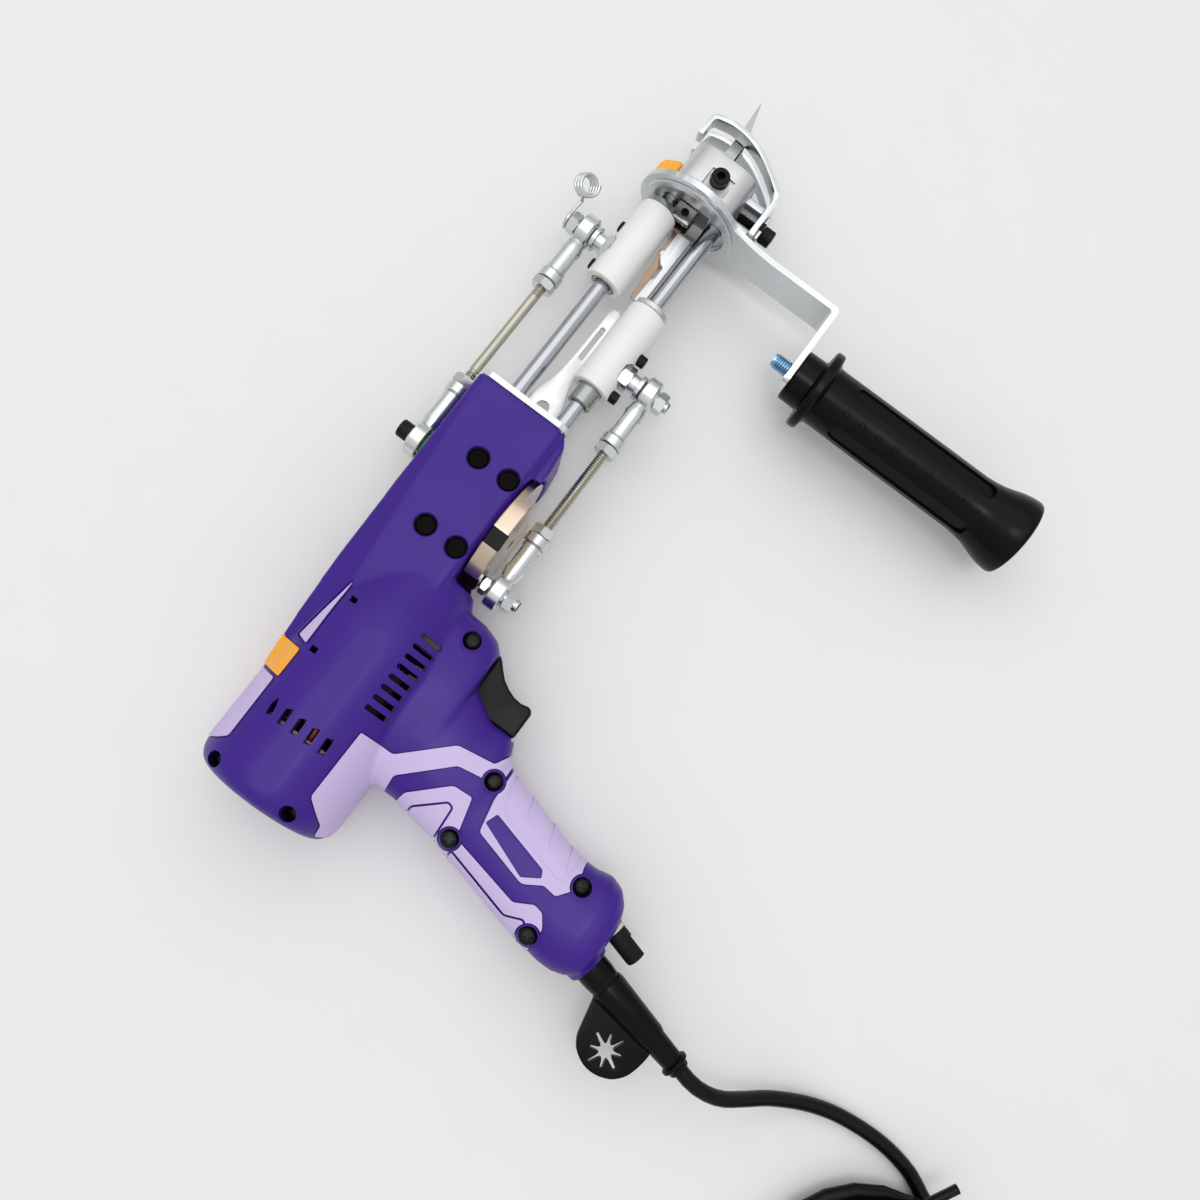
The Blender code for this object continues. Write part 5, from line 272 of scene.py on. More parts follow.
# %% A smooth route through points
def smooth_route(points, count):
    """Points at even steps along a smooth curve through the route."""
    points = [Vector(point) for point in points]
    padded = [points[0] * 2 - points[1]] + points + [points[-1] * 2 - points[-2]]
    dense = []
    for a, b, c, d in zip(padded, padded[1:], padded[2:], padded[3:]):
        for k in range(24):
            t = k / 24
            square = (2 * a - 5 * b + 4 * c - d) * t ** 2
            cube = (3 * b - a - 3 * c + d) * t ** 3
            dense.append(0.5 * (2 * b + (c - a) * t + square + cube))
    dense.append(points[-1])
    lengths = [0.0]
    for before, after in zip(dense, dense[1:]):
        lengths.append(lengths[-1] + (after - before).length)
    spaced, index = [], 0
    for k in range(count):
        wanted = lengths[-1] * k / (count - 1)
        while index < len(lengths) - 2 and lengths[index + 1] < wanted:
            index += 1
        span = lengths[index + 1] - lengths[index]
        spaced.append(dense[index].lerp(dense[index + 1], (wanted - lengths[index]) / span))
    return spaced


print("a route of five points:", [round(point.x, 2) for point in smooth_route([(0, 0, 0), (1, 0, 0)], 5)])

# %% [markdown]
# A coil is wound from the outside in, and then back out on top of the first layer, so that both of its
# ends lie outside. Its turns touch, one diameter apart.

# %% Route of the coil
def coil_route(centre, start_angle):
    """Two layers of three turns, spiralling in and then out, and a tail that lays the plug on top."""
    points, step = [], math.tau / LOOP_POINTS
    for k in range(2 * COIL_TURNS * LOOP_POINTS + 1):
        turn = k / LOOP_POINTS
        folded = turn % (2 * COIL_TURNS)
        radius = COIL_RADIUS - COIL_PITCH * min(folded, 2 * COIL_TURNS - folded)
        rise = min(max((turn - COIL_TURNS) * 2 + 0.5, 0), 1)
        height = COIL_PITCH * rise * rise * (3 - 2 * rise)
        angle = start_angle - step * k
        points.append(centre + Vector((radius * math.cos(angle), radius * math.sin(angle), height)))
    low = points[-1].z - centre.z
    high = low + LEAD_DIAMETER / 2 + PLUG_HALF_HEIGHT + 0.3
    half_turn = LOOP_POINTS // 2
    for k in range(1, half_turn + 1):
        share = k / half_turn
        radius, angle = COIL_RADIUS + 1.6 * math.sin(math.pi * share), start_angle - step * k
        height = low + (high - low) * math.sin(math.pi / 2 * share)
        points.append(centre + Vector((radius * math.cos(angle), radius * math.sin(angle), height)))
    turned_to = start_angle - step * half_turn
    inner = COIL_RADIUS - COIL_TAIL_RADIUS
    bend = centre + Vector((inner * math.cos(turned_to), inner * math.sin(turned_to), high))
    for k in range(1, 8):
        angle = turned_to - step * k
        points.append(bend + COIL_TAIL_RADIUS * Vector((math.cos(angle), math.sin(angle), 0)))
    return points


print("the coil is", 2 * COIL_RADIUS + LEAD_DIAMETER, "mm across")

# %% Points of the whole lead
last = Vector(LEAD_ROUTE[-1])
way = (last - Vector(LEAD_ROUTE[-2])).normalized()
coil_start = last + way * LEAD_DIAMETER * 3
coil_start.z = LEAD_LIES_AT
inward = Vector((way.y, -way.x, 0)).normalized()
coil_centre = coil_start + inward * COIL_RADIUS
turns = coil_route(coil_centre, math.atan2(-inward.y, -inward.x))
back_along = Vector((inward.y, -inward.x, 0))
coil_points = [turns[0] + back_along * LEAD_DIAMETER] + turns
plug_way = turns[-1] - turns[-2]
plug_way.z = 0
plug_way.normalize()
coil_points.append(turns[-1] + plug_way * LEAD_DIAMETER)
join = coil_points[0] + back_along * 0.3
free_route = [LEAD_EXIT, LEAD_EXIT + GUARD_DOWN * LEAD_DIAMETER] + LEAD_ROUTE
free_points = smooth_route(free_route + [join + back_along * LEAD_DIAMETER, join], 32)
for point in free_points:
    point.z = max(point.z, LEAD_LIES_AT)
lead_points = free_points[:-1] + coil_points

# %% The lead as one curve
line = bpy.data.curves.new("flexible_lead", "CURVE")
line.dimensions = "3D"
line.bevel_depth = LEAD_DIAMETER / 2 * MM
line.bevel_resolution = 6
line.use_fill_caps = True
spline = line.splines.new("POLY")
spline.points.add(len(lead_points) - 1)
for knot, point in zip(spline.points, lead_points):
    knot.co = (*spot(*point), 1)
spline.use_smooth = True
line.materials.append(lead_pvc)
lead = in_scene("flexible_lead", line)
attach(lead, "housing")
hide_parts("mains_lead", "lead_coil")
print("the lead has", len(lead_points), "points")

# %% [markdown]
# ## Making shapes
#
# Every piece is drawn in millimetres in the machine's own axes and moved to the scene at the end. Three
# plain forms do most of the work: a profile turned round an axis, as on a lathe, an outline pushed
# through a thickness, and a tube along a path. Each of them is a skin over rings of points, so one
# function makes every mesh.

# %% A skin over rings
ALONG_X, ALONG_Y, ALONG_Z = Vector((1, 0, 0)), Vector((0, 1, 0)), Vector((0, 0, 1))


def object_from(bm):
    """An object that holds the faces of bm."""
    mesh = bpy.data.meshes.new("shape")
    bm.to_mesh(mesh)
    bm.free()
    return in_scene("shape", mesh)


def skinned(rings, closed=False):
    """A solid over rings of points. A ring of one point is a tip, and a closed row of rings is a torus."""
    bm = bmesh.new()
    loops = [[bm.verts.new(point) for point in ring] for ring in rings]
    pairs = list(zip(loops, loops[1:] + loops[:1] if closed else loops[1:]))
    for near, far in pairs:
        count = max(len(near), len(far))
        for here in range(count):
            there = (here + 1) % count
            if len(near) == 1:
                bm.faces.new((near[0], far[there], far[here]))
            elif len(far) == 1:
                bm.faces.new((near[here], near[there], far[0]))
            else:
                bm.faces.new((near[here], near[there], far[there], far[here]))
    if not closed:
        for ring in (loops[0], loops[-1]):
            if len(ring) > 2:
                bm.faces.new(ring)
    bmesh.ops.recalc_face_normals(bm, faces=bm.faces)
    return object_from(bm)


def circle(radius, height, sides, flute=0.0):
    """A ring of points round Z. A flute sinks two points of every four by this share of the radius."""
    ring = []
    for k in range(sides):
        angle, reach = math.tau * k / sides, radius * (1 - flute * (k % 4 < 2))
        ring.append((reach * math.cos(angle), reach * math.sin(angle), height))
    return ring


print("a circle of six points:", [(round(x, 2), round(y, 2)) for x, y, z in circle(1, 0, 6)])

# %% Turned, pushed and tubular forms
def lathe(profile, sides=72, bored=False):
    """A profile of (radius, height) pairs turned round Z. A bored one closes on itself."""
    rings = [circle(radius, height, sides) if radius else [(0, 0, height)] for radius, height in profile]
    return skinned(rings, closed=bored)


def disc(radius, low, high, edge=0.3, sides=72):
    """A round bar with chamfered ends."""
    return lathe([(0, low), (radius - edge, low), (radius, low + edge),
                  (radius, high - edge), (radius - edge, high), (0, high)], sides)


def slab(points, low, high, along="Z"):
    """An outline pushed from low to high. Along X it holds (y, z), along Y (x, z), along Z (x, y)."""
    order = {"X": (2, 0, 1), "Y": (0, 2, 1), "Z": (0, 1, 2)}[along]
    return skinned([[tuple((a, b, level)[k] for k in order) for a, b in points] for level in (low, high)])


def through(points, reach=60):
    """A slab that reaches right through the machine, to cut or to keep."""
    return slab(points, -reach, reach)


def block(low, high):
    """A box between two corners."""
    return slab([(low[0], low[1]), (high[0], low[1]), (high[0], high[1]), (low[0], high[1])], low[2], high[2])


def tube_along(points, radius, sides):
    """A round tube along a path."""
    points = [Vector(point) for point in points]
    rings, normal, last = [], None, len(points) - 1
    for index, point in enumerate(points):
        way = (points[min(index + 1, last)] - points[max(index - 1, 0)]).normalized()
        normal = normal or way.orthogonal().normalized()
        normal = (normal - way * normal.dot(way)).normalized()
        other = way.cross(normal)
        angles = [math.tau * k / sides for k in range(sides)]
        rings.append([point + radius * (math.cos(a) * normal + math.sin(a) * other) for a in angles])
    return skinned(rings)


print("the plain forms are ready")

# %% [markdown]
# A shape is moved by changing its mesh, so that each object stays at the scene's zero and Booleans
# need no thought about places.

# %% Moving and copying shapes
def turn_to(made, start, direction, spin=0.0):
    """Turns a shape that was built along Z so that it runs along direction from start."""
    turn = Vector(direction).to_track_quat("Z", "Y").to_matrix().to_4x4()
    made.data.transform(Matrix.Translation(start) @ turn @ Matrix.Rotation(spin, 4, "Z"))
    return made


def hole(radius, low, high, sides, start, direction):
    """A round cutter without chamfers, turned to where it cuts."""
    return turn_to(disc(radius, low, high, 0, sides), start, direction)


def shifted(made, x, y, z=0.0):
    made.data.transform(Matrix.Translation((x, y, z)))
    return made


def copied(made):
    """A second object with its own mesh."""
    return in_scene("copy", made.data.copy())


def flipped(made):
    """The mirror image of a shape on the other side of the machine's middle plane."""
    made = copied(made)
    made.data.transform(Matrix.Scale(-1, 4, ALONG_Z))
    made.data.flip_normals()
    return made


def dropped(*shapes):
    for shape in shapes:
        bpy.data.objects.remove(shape, do_unlink=True)


def gathered(shapes):
    """One object that holds the shapes as separate solids."""
    bm = bmesh.new()
    for shape in shapes:
        bm.from_mesh(shape.data)
    dropped(*shapes)
    return object_from(bm)


def at_each(shape, places):
    """One object that holds a copy of the shape at every place."""
    copies = [shifted(copied(shape), x, y) for x, y in places]
    dropped(shape)
    return gathered(copies)


print("shapes can be moved, copied and gathered")

# %% [markdown]
# Booleans join and cut the shapes, and a bevel rounds their edges. Each modifier is applied at once,
# because the next step works on the finished mesh.

# %% Joining, cutting and rounding
def changed(made, kind, **settings):
    """Adds a modifier with its settings and applies it to the mesh."""
    change = made.modifiers.new(kind.lower(), kind)
    for name, value in settings.items():
        setattr(change, name, value)
    graph = bpy.context.evaluated_depsgraph_get()
    made.data = bpy.data.meshes.new_from_object(made.evaluated_get(graph))
    made.modifiers.clear()
    return made


def combined(target, tool, operation):
    changed(target, "BOOLEAN", solver="MANIFOLD", operation=operation, object=tool)
    dropped(tool)
    return target


def cut(target, *tools):
    for tool in tools:
        combined(target, tool, "DIFFERENCE")
    return target


def joined(target, *others):
    for other in others:
        combined(target, other, "UNION")
    return target


def kept(target, tool):
    return combined(target, tool, "INTERSECT")


def softened(made, width, segments=3, angle=40):
    """Rounds the edges sharper than an angle."""
    return changed(made, "BEVEL", width=width, segments=segments, limit_method="ANGLE",
                   angle_limit=math.radians(angle), use_clamp_overlap=True, harden_normals=False)


print("Booleans and bevels are ready")

# %% [markdown]
# A finished piece gets its name, its material, smooth shading with crisp edges, the body that it
# rides on, and the CAD part that it stands for.

# %% Finishing a piece
RESTING = Matrix.Translation(DRAWING_ZERO) @ Matrix.Scale(MM, 4)
SLOTS = {
    moulded_abs: "purple_housing", orange_abs: "orange_plastic", black_nylon: "black_plastic",
    grip_rubber: "black_rubber", white_acetal: "white_sleeve", zinc_plate: "zinc_plate",
    dull_zinc: "zinc_plate", blue_zinc: "blue_zinc", machined_aluminium: "cast_aluminium",
    hard_chrome: "chromed_steel", turned_steel: "bright_steel", spring_steel: "spring_steel",
    black_oxide: "black_oxide", bolt_black_and_well_shade: "black_oxide",
}


def piece(made, name, finish, body="housing", stands_for=None, slot=None, sharp=32):
    """Moves a drawn shape into the scene as a piece of the machine."""
    slot = slot or SLOTS.get(finish)
    made.name = made.data.name = name
    made.data.transform(RESTING)
    made.data.materials.clear()
    made.data.materials.append(finish)
    made.data.shade_smooth()
    made.data.set_sharp_from_angle(angle=math.radians(sharp))
    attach(made, body)
    if stands_for:
        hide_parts(stands_for)
    return made


print("one drawn millimetre is", round(RESTING.to_scale().x, 6), "m")

# %% [markdown]
# ## Housing
#
# The real housing is two ABS mouldings that meet at the middle plane. A moulding has soft blends
# where one form runs into the next, which edges of a polygon can't give. So the plain forms (gearbox
# box, motor barrel, grip) are joined, remeshed into small even cells and smoothed, and only then are
# the crisp holes cut. The same smooth skin, pushed out and in by less than a millimetre, makes the
# rubber panels that are moulded over the ABS.

# %% Forms of the housing
MOTOR_AXIS, CRANK_CENTRE = (0, -9.75, 0), (-53.7, 0, 0)


def gearbox_form():
    """The box from the front plate back over the barrel's shoulder, with sloping shoulders."""
    rings = []
    for x, top, half, drop in ((-3.1, 27.5, 24, 2.2), (-60, 27.3, 24, 7.5), (-104.8, 26.95, 24, 12.1),
                               (-135, 25.6, 21.5, 12.3), (-162, 23.65, 18, 12.4)):
        inset = half - max(drop * 0.55, 2.2)
        side = [(-19, half - 2.2), (-16.8, half), (top - drop, half), (top, inset)]
        rings.append([(x, y, z) for y, z in side + [(y, -z) for y, z in reversed(side)]])
    return skinned(rings)


def barrel_form():
    """The motor barrel, swelling out of the gearbox and rounded at its rear end."""
    profile = [(0, 84), (20, 84), (22.6, 88), (24.6, 92.5), (26.6, 98), (28.8, 104), (30.9, 110), (32.5, 116),
               (33.5, 122), (34, 128), (34, 199), (33.5, 202.3), (32.4, 205), (30.6, 207.2),
               (28, 208.6), (24, 209.4), (0, 209.5)]
    return turn_to(lathe(profile, 96), MOTOR_AXIS, -ALONG_X)


def grip_form():
    """Nose, trigger section, pistol grip and foot in one skin: drop, front, rear and half width."""
    rows = [(13.9, 90.1, 169.9, 22), (34, 90.1, 172, 22), (42, 90.5, 174.1, 21.6), (50.5, 93.2, 174.9, 20.8),
            (54.6, 97, 174.9, 20.2), (55.6, 114.5, 175, 19.9), (70.1, 122.8, 177, 18.9),
            (80.5, 122.6, 178.9, 18.5), (83.6, 125.6, 179.7, 18.1), (86.5, 132.4, 180.8, 17.6),
            (95, 137, 182.5, 16.9), (119, 143.7, 188.3, 16.9), (132, 147.3, 191.3, 17.4),
            (146.1, 147.1, 193.6, 18.9), (153.1, 145.6, 193.6, 20), (159, 147.5, 191.9, 19.6),
            (163.5, 152.1, 189, 17.6), (166, 158, 183.9, 13)]
    rings = []
    for down, front, rear, half in rows:
        middle, reach = -(front + rear) / 2, (rear - front) / 2
        ring = []
        for k in range(48):
            c, s = math.cos(math.tau * k / 48), math.sin(math.tau * k / 48)
            x = middle + reach * math.copysign(abs(c) ** 0.74, c)
            ring.append((x, -down, half * math.copysign(abs(s) ** 0.74, s)))
        rings.append(ring)
    return skinned(rings)


def tab_form():
    """The lip between the front plate and the lower crank, hollowed round the crank."""
    lip = slab([(-3.1, -16), (-3.1, -19.5), (-8.1, -22.75), (-20.5, -24.2), (-31, -24.2), (-31, -16)], -20, 20)
    return cut(lip, hole(32.5, 17.5, 27.2, 96, CRANK_CENTRE, -ALONG_Y))


whole = joined(gearbox_form(), barrel_form(), grip_form(), tab_form(),
               turn_to(disc(10, -12, 3.4, 0.8), GUARD_START, GUARD_DOWN))
for face in (-39.4, 33.4):
    cut(whole, block((-240, -80, face), (10, 80, face + 6)))
changed(whole, "REMESH", mode="VOXEL", voxel_size=0.85)
changed(whole, "SMOOTH", factor=0.5, iterations=11)
print("the housing's skin has", len(whole.data.polygons), "faces")

# %% [markdown]
# Skins that lie a little outside or inside the housing come from moving each point along its normal.

# %% Skins over the housing
def grown(made, distance):
    """A copy of the skin moved out along its normals."""
    copy = copied(made)
    count = len(copy.data.vertices)
    places, normals = np.empty(count * 3), np.empty(count * 3)
    copy.data.vertices.foreach_get("co", places)
    copy.data.vertices.foreach_get("normal", normals)
    copy.data.vertices.foreach_set("co", places + normals * distance)
    return copy


print("a skin of", len(whole.data.vertices), "points can be grown by any distance")

# %% [markdown]
# The panels' edges are outlines, so three helpers work on outlines: one moves all sides outwards, one
# rounds the corners and one makes a band along an outline.

# %% Outlines
def offset_outline(points, distance):
    """An outline moved outwards by a distance, corner by corner."""
    area = sum(a[0] * b[1] - b[0] * a[1] for a, b in zip(points, points[1:] + points[:1]))
    side = 1 if area > 0 else -1
    moved = []
    for before, here, after in zip(points[-1:] + points, points, points[1:] + points[:1]):
        first = Vector((here[0] - before[0], here[1] - before[1])).normalized()
        second = Vector((after[0] - here[0], after[1] - here[1])).normalized()
        out_first, out_second = Vector((first.y, -first.x)) * side, Vector((second.y, -second.x)) * side
        miter = (out_first + out_second).normalized()
        reach = distance / max(miter.dot(out_first), 0.4)
        moved.append((here[0] + miter.x * reach, here[1] + miter.y * reach))
    return moved


def rounded_corners(points, radius, steps=5):
    """An outline with each corner replaced by an arc. A radius may be given per corner."""
    rounded, count = [], len(points)
    radii = radius if isinstance(radius, list) else [radius] * count
    for index, size in enumerate(radii):
        before, here, after = (Vector(points[(index + step) % count]) for step in (-1, 0, 1))
        if not size:
            rounded.append(tuple(here))
            continue
        reach = min(size, (before - here).length * 0.45, (after - here).length * 0.45)
        start, end = here + (before - here).normalized() * reach, here + (after - here).normalized() * reach
        for k in range(steps + 1):
            t = k / steps
            rounded.append(tuple(start * (1 - t) ** 2 + here * 2 * t * (1 - t) + end * t ** 2))
    return rounded


def rounded_box(left, low, right, high, radius, steps=5):
    """The outline of a rectangle with rounded corners."""
    return rounded_corners([(left, low), (right, low), (right, high), (left, high)], radius, steps)


def ellipse(x, y, half_length, half_width, lean=0.0, count=28):
    """Points of a leaning ellipse."""
    turn = Matrix.Rotation(math.radians(lean), 2)
    ring = []
    for k in range(count):
        angle = math.tau * k / count
        ring.append(turn @ Vector((half_length * math.cos(angle), half_width * math.sin(angle))))
    return [(x + point.x, y + point.y) for point in ring]


def ribbon(points, width):
    """The band between an outline and the same outline moved inwards, as a tall slab."""
    outer = through(offset_outline(points, width / 2))
    return cut(outer, through(offset_outline(points, -width / 2), 61))


square = [(0, 0), (4, 0), (4, 4), (0, 4)]
print("a square grown by 1 mm:", [(round(x, 2), round(y, 2)) for x, y in offset_outline(square, 1)])

# %% [markdown]
# The panels are drawn as outlines in the plane of the parting line, because the two halves of the real
# mould open that way. A band 0.55 mm wider is sunk round each panel, which leaves the fine dark groove
# that shows on the real machine, and the wedge lies in a wider one. Each screw stands in a small ring
# of the ABS.

# %% Outlines of the soft panels
SCREWS = [(-100.8, -41.8), (-143.5, -85.7), (-173.7, -85.0), (-156.9, -142.6), (-186.5, -135.8)]
PANELS = {
    "wedge_trim": rounded_corners([(-111.4, 13.3), (-142.4, 17.9), (-143.6, 12.4)], [1, 0.8, 0.8]),
    "rear_strip_trim": rounded_corners(
        [(-162.3, 30), (-162.9, 14.2), (-192.4, 13.8), (-196.5, 18.5), (-202, 30)], [1, 1, 1.2, 4, 1]),
    "corner_band": rounded_corners(
        [(-159.6, -29.2), (-159.4, -44.5), (-140.2, -64.3), (-137.4, -81.5), (-130.5, -85.3), (-118, -86),
         (-118, -89), (-145.4, -88.6), (-145, -81.4), (-147.1, -69.4), (-166.3, -49.9), (-181, -50.8),
         (-203.2, -45.5), (-206, -38.8), (-200.4, -38.6), (-192, -28.9)],
        [0.8, 1.5, 1.5, 1, 1, 1, 1, 1, 1, 1.5, 1.5, 2, 1.2, 1, 1, 1.5]),
    "front_pad": rounded_corners(
        [(-149.5, -90.4), (-118, -89.9), (-118, -142), (-139, -141.6), (-149.4, -138.8), (-159.4, -140.7),
         (-166.5, -135.2), (-165.7, -128.8), (-170.8, -120.6), (-163.8, -93.4)],
        [1, 1, 1, 1.5, 1.5, 1.5, 1.2, 1.2, 2, 1.5]),
    "rear_pad": rounded_corners(
        [(-173.2, -57.2), (-169.3, -58.1), (-154.8, -73), (-154.2, -82.3), (-168.8, -86.2), (-172.2, -89.2),
         (-179, -122.2), (-174.4, -130.4), (-175.2, -134.8), (-180.6, -138.9), (-204, -140.8), (-199, -110),
         (-188, -56.6)],
        [1, 1, 1.5, 1.2, 1.2, 1.5, 1.5, 1, 1, 1.5, 1, 1, 1]),
}
WINDOW = rounded_corners(
    [(-153.4, -95.2), (-159.2, -93), (-168.8, -118.6), (-164, -126.2), (-160.8, -124.6)], 0.9)
UPPER_LINE = rounded_corners(
    [(-210, -62.8), (-172.4, -63.6), (-161.6, -75.4), (-162.4, -78.2), (-210, -81.6)], 1.2)
LOWER_LINE = rounded_corners(
    [(-212, -87), (-177.4, -88.6), (-185.8, -122.6), (-182.2, -130.2), (-184.6, -133.4), (-212, -134.6)], 1.2)
FINGER_AREA = rounded_corners(
    [(-118, -93.6), (-141.4, -93.2), (-151.3, -96.8), (-160.5, -132.4), (-158.8, -134.4), (-147, -132.4),
     (-118, -130)],
    [1, 3, 4, 4, 2, 3, 1])
FINGER_RIBS = [(-141.5, -105.6), (-145.8, -120.2), (-149.8, -132.2)]
TAB_OUTLINE = rounded_corners([(-146.6, 30), (-147.2, 12.8), (-161.4, 12.8), (-160.9, 30)], 0.9)
print("panels drawn:", list(PANELS))

# %% Slabs through the panels and their grooves
def with_bosses(made, radius):
    """Leaves room for the rings round the screws."""
    return cut(made, at_each(disc(radius, -61, 61, 0, 40), SCREWS))


prisms = {name: with_bosses(through(outline), 5.5) for name, outline in PANELS.items()}
cut(prisms["front_pad"], through(WINDOW, 61))
cut(prisms["rear_pad"], ribbon(UPPER_LINE, 1.0), ribbon(LOWER_LINE, 1.0))
seats = [with_bosses(through(offset_outline(outline, 1.1 if name == "wedge_trim" else 0.55)), 5.1)
         for name, outline in PANELS.items()]
seats.append(through(offset_outline(TAB_OUTLINE, 0.4)))
print("grooves drawn:", len(seats))

# %% Panels cut from the skin
inner = grown(whole, -0.75)
shell = cut(grown(whole, 0.45), copied(inner))
raised = cut(grown(whole, 0.85), copied(inner))
ribbed = cut(grown(whole, 1.25), copied(inner))


def half_of(made, side):
    """The part of a shape on one side of the parting line."""
    low, high = (0.15, 80) if side > 0 else (-80, -0.15)
    return kept(made, block((-260, -260, low), (60, 60, high)))


right_panels = {name: kept(copied(shell), prism) for name, prism in prisms.items()}
finger_tool = with_bosses(through(FINGER_AREA), 5.5)
finger_tool = cut(finger_tool, through(offset_outline(WINDOW, 0.3), 62))
joined(right_panels["front_pad"], kept(raised, finger_tool))
ribs = gathered([through(ellipse(x + 6, y, 12, 1.9, 8)) for x, y in FINGER_RIBS])
joined(right_panels["front_pad"], kept(ribbed, with_bosses(ribs, 5.5)))
right_panels = {name: half_of(made, 1) for name, made in right_panels.items()}
tab = half_of(kept(shell, through(TAB_OUTLINE)), 1)
RIB_PLACES = (-159.4, -157.2, -155, -152.8, -150.6, -148.4)
cut(tab, gathered([block((x, 24.2, -1), (x + 0.6, 40, 60)) for x in RIB_PLACES]))
print("faces of the panels:", {name: len(made.data.polygons) for name, made in right_panels.items()})

# %% [markdown]
# The hollows take the gearbox, the motor, the switch and the speed control, as in the CAD part. The
# slots and vents are cut straight through the wall, and the holes for the gearbox bolts get a small
# chamfer, which catches the light as a moulded rim does.

# %% Hollows
KNOB_START, KNOB_LEAN = (-163.8, -166.4, 0), math.radians(15)
KNOB_WAY = (-math.sin(KNOB_LEAN), -math.cos(KNOB_LEAN), 0)


def gear_hollow():
    bay = joined(block((-19.8, -18.3, -21.3), (0, 25.8, 21.3)), block((-92, -18, -21.3), (-16.5, 17.6, 21.3)))
    joined(bay, hole(6, -22, 20, 72, CRANK_CENTRE, ALONG_Y))
    return joined(bay, hole(20, 19.7, 31, 96, CRANK_CENTRE, ALONG_Y))


def motor_hollow():
    profile = [(0, 91), (8.6, 91), (8.6, 95.7), (11.3, 95.7), (11.3, 103.3), (28.5, 103.3), (28.5, 165.3),
               (26, 165.3), (26, 197), (9.8, 197), (9.8, 203.3), (0, 203.3)]
    return turn_to(lathe(profile, 64), MOTOR_AXIS, -ALONG_X)


def grip_hollow():
    bay = block((-131, -82.2, -8.3), (-97.4, -54.2, 8.3))
    joined(bay, block((-169.8, -80.3, -9.3), (-130, -56.7, 9.3)))
    outline = [(-150.4, -83), (-166.6, -83), (-180.2, -146.1), (-182.7, -152.7), (-180.2, -157.7),
               (-150.4, -157.7), (-151.3, -147.7), (-164.5, -145.3)]
    joined(bay, block((-163.6, -86, -4), (-153.4, -77, 4)), slab(outline, -10, 10))
    joined(bay, hole(4.1, -14.6, 3, 48, KNOB_START, KNOB_WAY))
    return joined(bay, hole(6.3, -15, 5.5, 48, GUARD_START, GUARD_DOWN))


print("the grip is hollow down to", 157.7, "mm below the drive's middle line")

# %% Slots, vents and holes for screws
SLOT_PLACES = [-112.5 - 5.314 * k for k in range(8)]
slots = [slab(rounded_box(x - 1.2, -34.4, x + 1.2, -24, 1.3), 17, 40) for x in SLOT_PLACES]
vents = []
for y in (-1, -7.8, -14.6, -21.4):
    outline = [(-176.4, y + 1.3), (-169.4, y + 1.7), (-168, y - 1.3), (-175.7, y - 1.7)]
    vents.append(slab(rounded_corners(outline, 0.35), 18, 40))
pointed = [(-176.2, 6.6), (-171.6, 7.4), (-167.8, 6.2), (-170.6, 5), (-175, 4)]
vents.append(slab(rounded_corners(pointed, 0.5), 18, 40))
latches = [slab(rounded_box(x - 1.35, 5.8, x + 1.35, 9.2, 0.4), 19, 40) for x in (-117.5, -143.9)]
BOLTS = [(x, y) for x in (-35.5, -73.1) for y in (4.2, -12.25)]
REAR_SCREWS = [(-203.4, 12.5), (-203, -25.7)]
bolt_wells = at_each(lathe([(0, 20.8), (5.1, 20.8), (5.1, 23.5), (5.8, 24.2), (5.8, 30), (0, 30)]), BOLTS)
rear_wells = at_each(lathe([(0, 8), (3.5, 8), (3.5, 28), (3.5, 40), (0, 40)]), REAR_SCREWS)
counterbores = at_each(lathe([(0, -3), (2.1, -3), (2.1, 12), (4.3, 12), (4.3, 40), (0, 40)]), SCREWS)
print("cutters drawn:", len(slots + vents + latches), "slots and vents,", len(BOLTS), "bolt wells")

# %% Both halves cut from the skin
joined(whole, kept(grown(whole, 0.45), at_each(disc(5.1, -60, 60, 0, 40), SCREWS)))
cut(whole, cut(gathered(seats), inner))
cut(whole, gear_hollow(), motor_hollow(), grip_hollow())
right = half_of(whole, 1)
cut(right, gathered(slots + vents + latches + [bolt_wells]))
left = flipped(right)
cut(right, gathered([counterbores, rear_wells]))
cut(left, at_each(disc(2.1, -8.3, 3, 0, 40), SCREWS))
print("faces of a half:", len(right.data.polygons))

# %% The halves and their panels become pieces
piece(right, "right_case", moulded_abs, stands_for="right_housing")
piece(left, "left_case", moulded_abs, stands_for="left_housing")
for name, made in right_panels.items():
    piece(flipped(made), "left_" + name, soft_panel)
    piece(made, "right_" + name, soft_panel)
piece(flipped(tab), "left_shoulder_tab", orange_abs)
piece(tab, "right_shoulder_tab", orange_abs)

# %% [markdown]
# ## Screws of the housing and the gearbox
#
# The case is held by black self-tapping screws with cross recesses. The gearbox is bolted up through
# four deep round wells with black cap screws, of which only the dark heads show. Their heads and a disc
# that fills the floor of each well are near-black and matt, as painted shade of the deep wells.

# %% Heads, nuts and threads
def hexagon(radius):
    return [(radius * math.cos(k * math.pi / 3), radius * math.sin(k * math.pi / 3)) for k in range(6)]


def cross_screw(radius, low, top, depth=1.6):
    """A domed head with a cross recess, its seat at low."""
    head = lathe([(0, low), (radius, low), (radius, top - radius * 0.32), (radius * 0.9, top - radius * 0.17),
                  (radius * 0.66, top - radius * 0.05), (radius * 0.4, top), (0, top)], 48)
    for turn in (0, math.pi / 2):
        arm = block((-radius * 0.58, -radius * 0.13, top - depth), (radius * 0.58, radius * 0.13, top + 1))
        arm.data.transform(Matrix.Rotation(turn + 0.5, 4, "Z"))
        cut(head, arm)
    return head


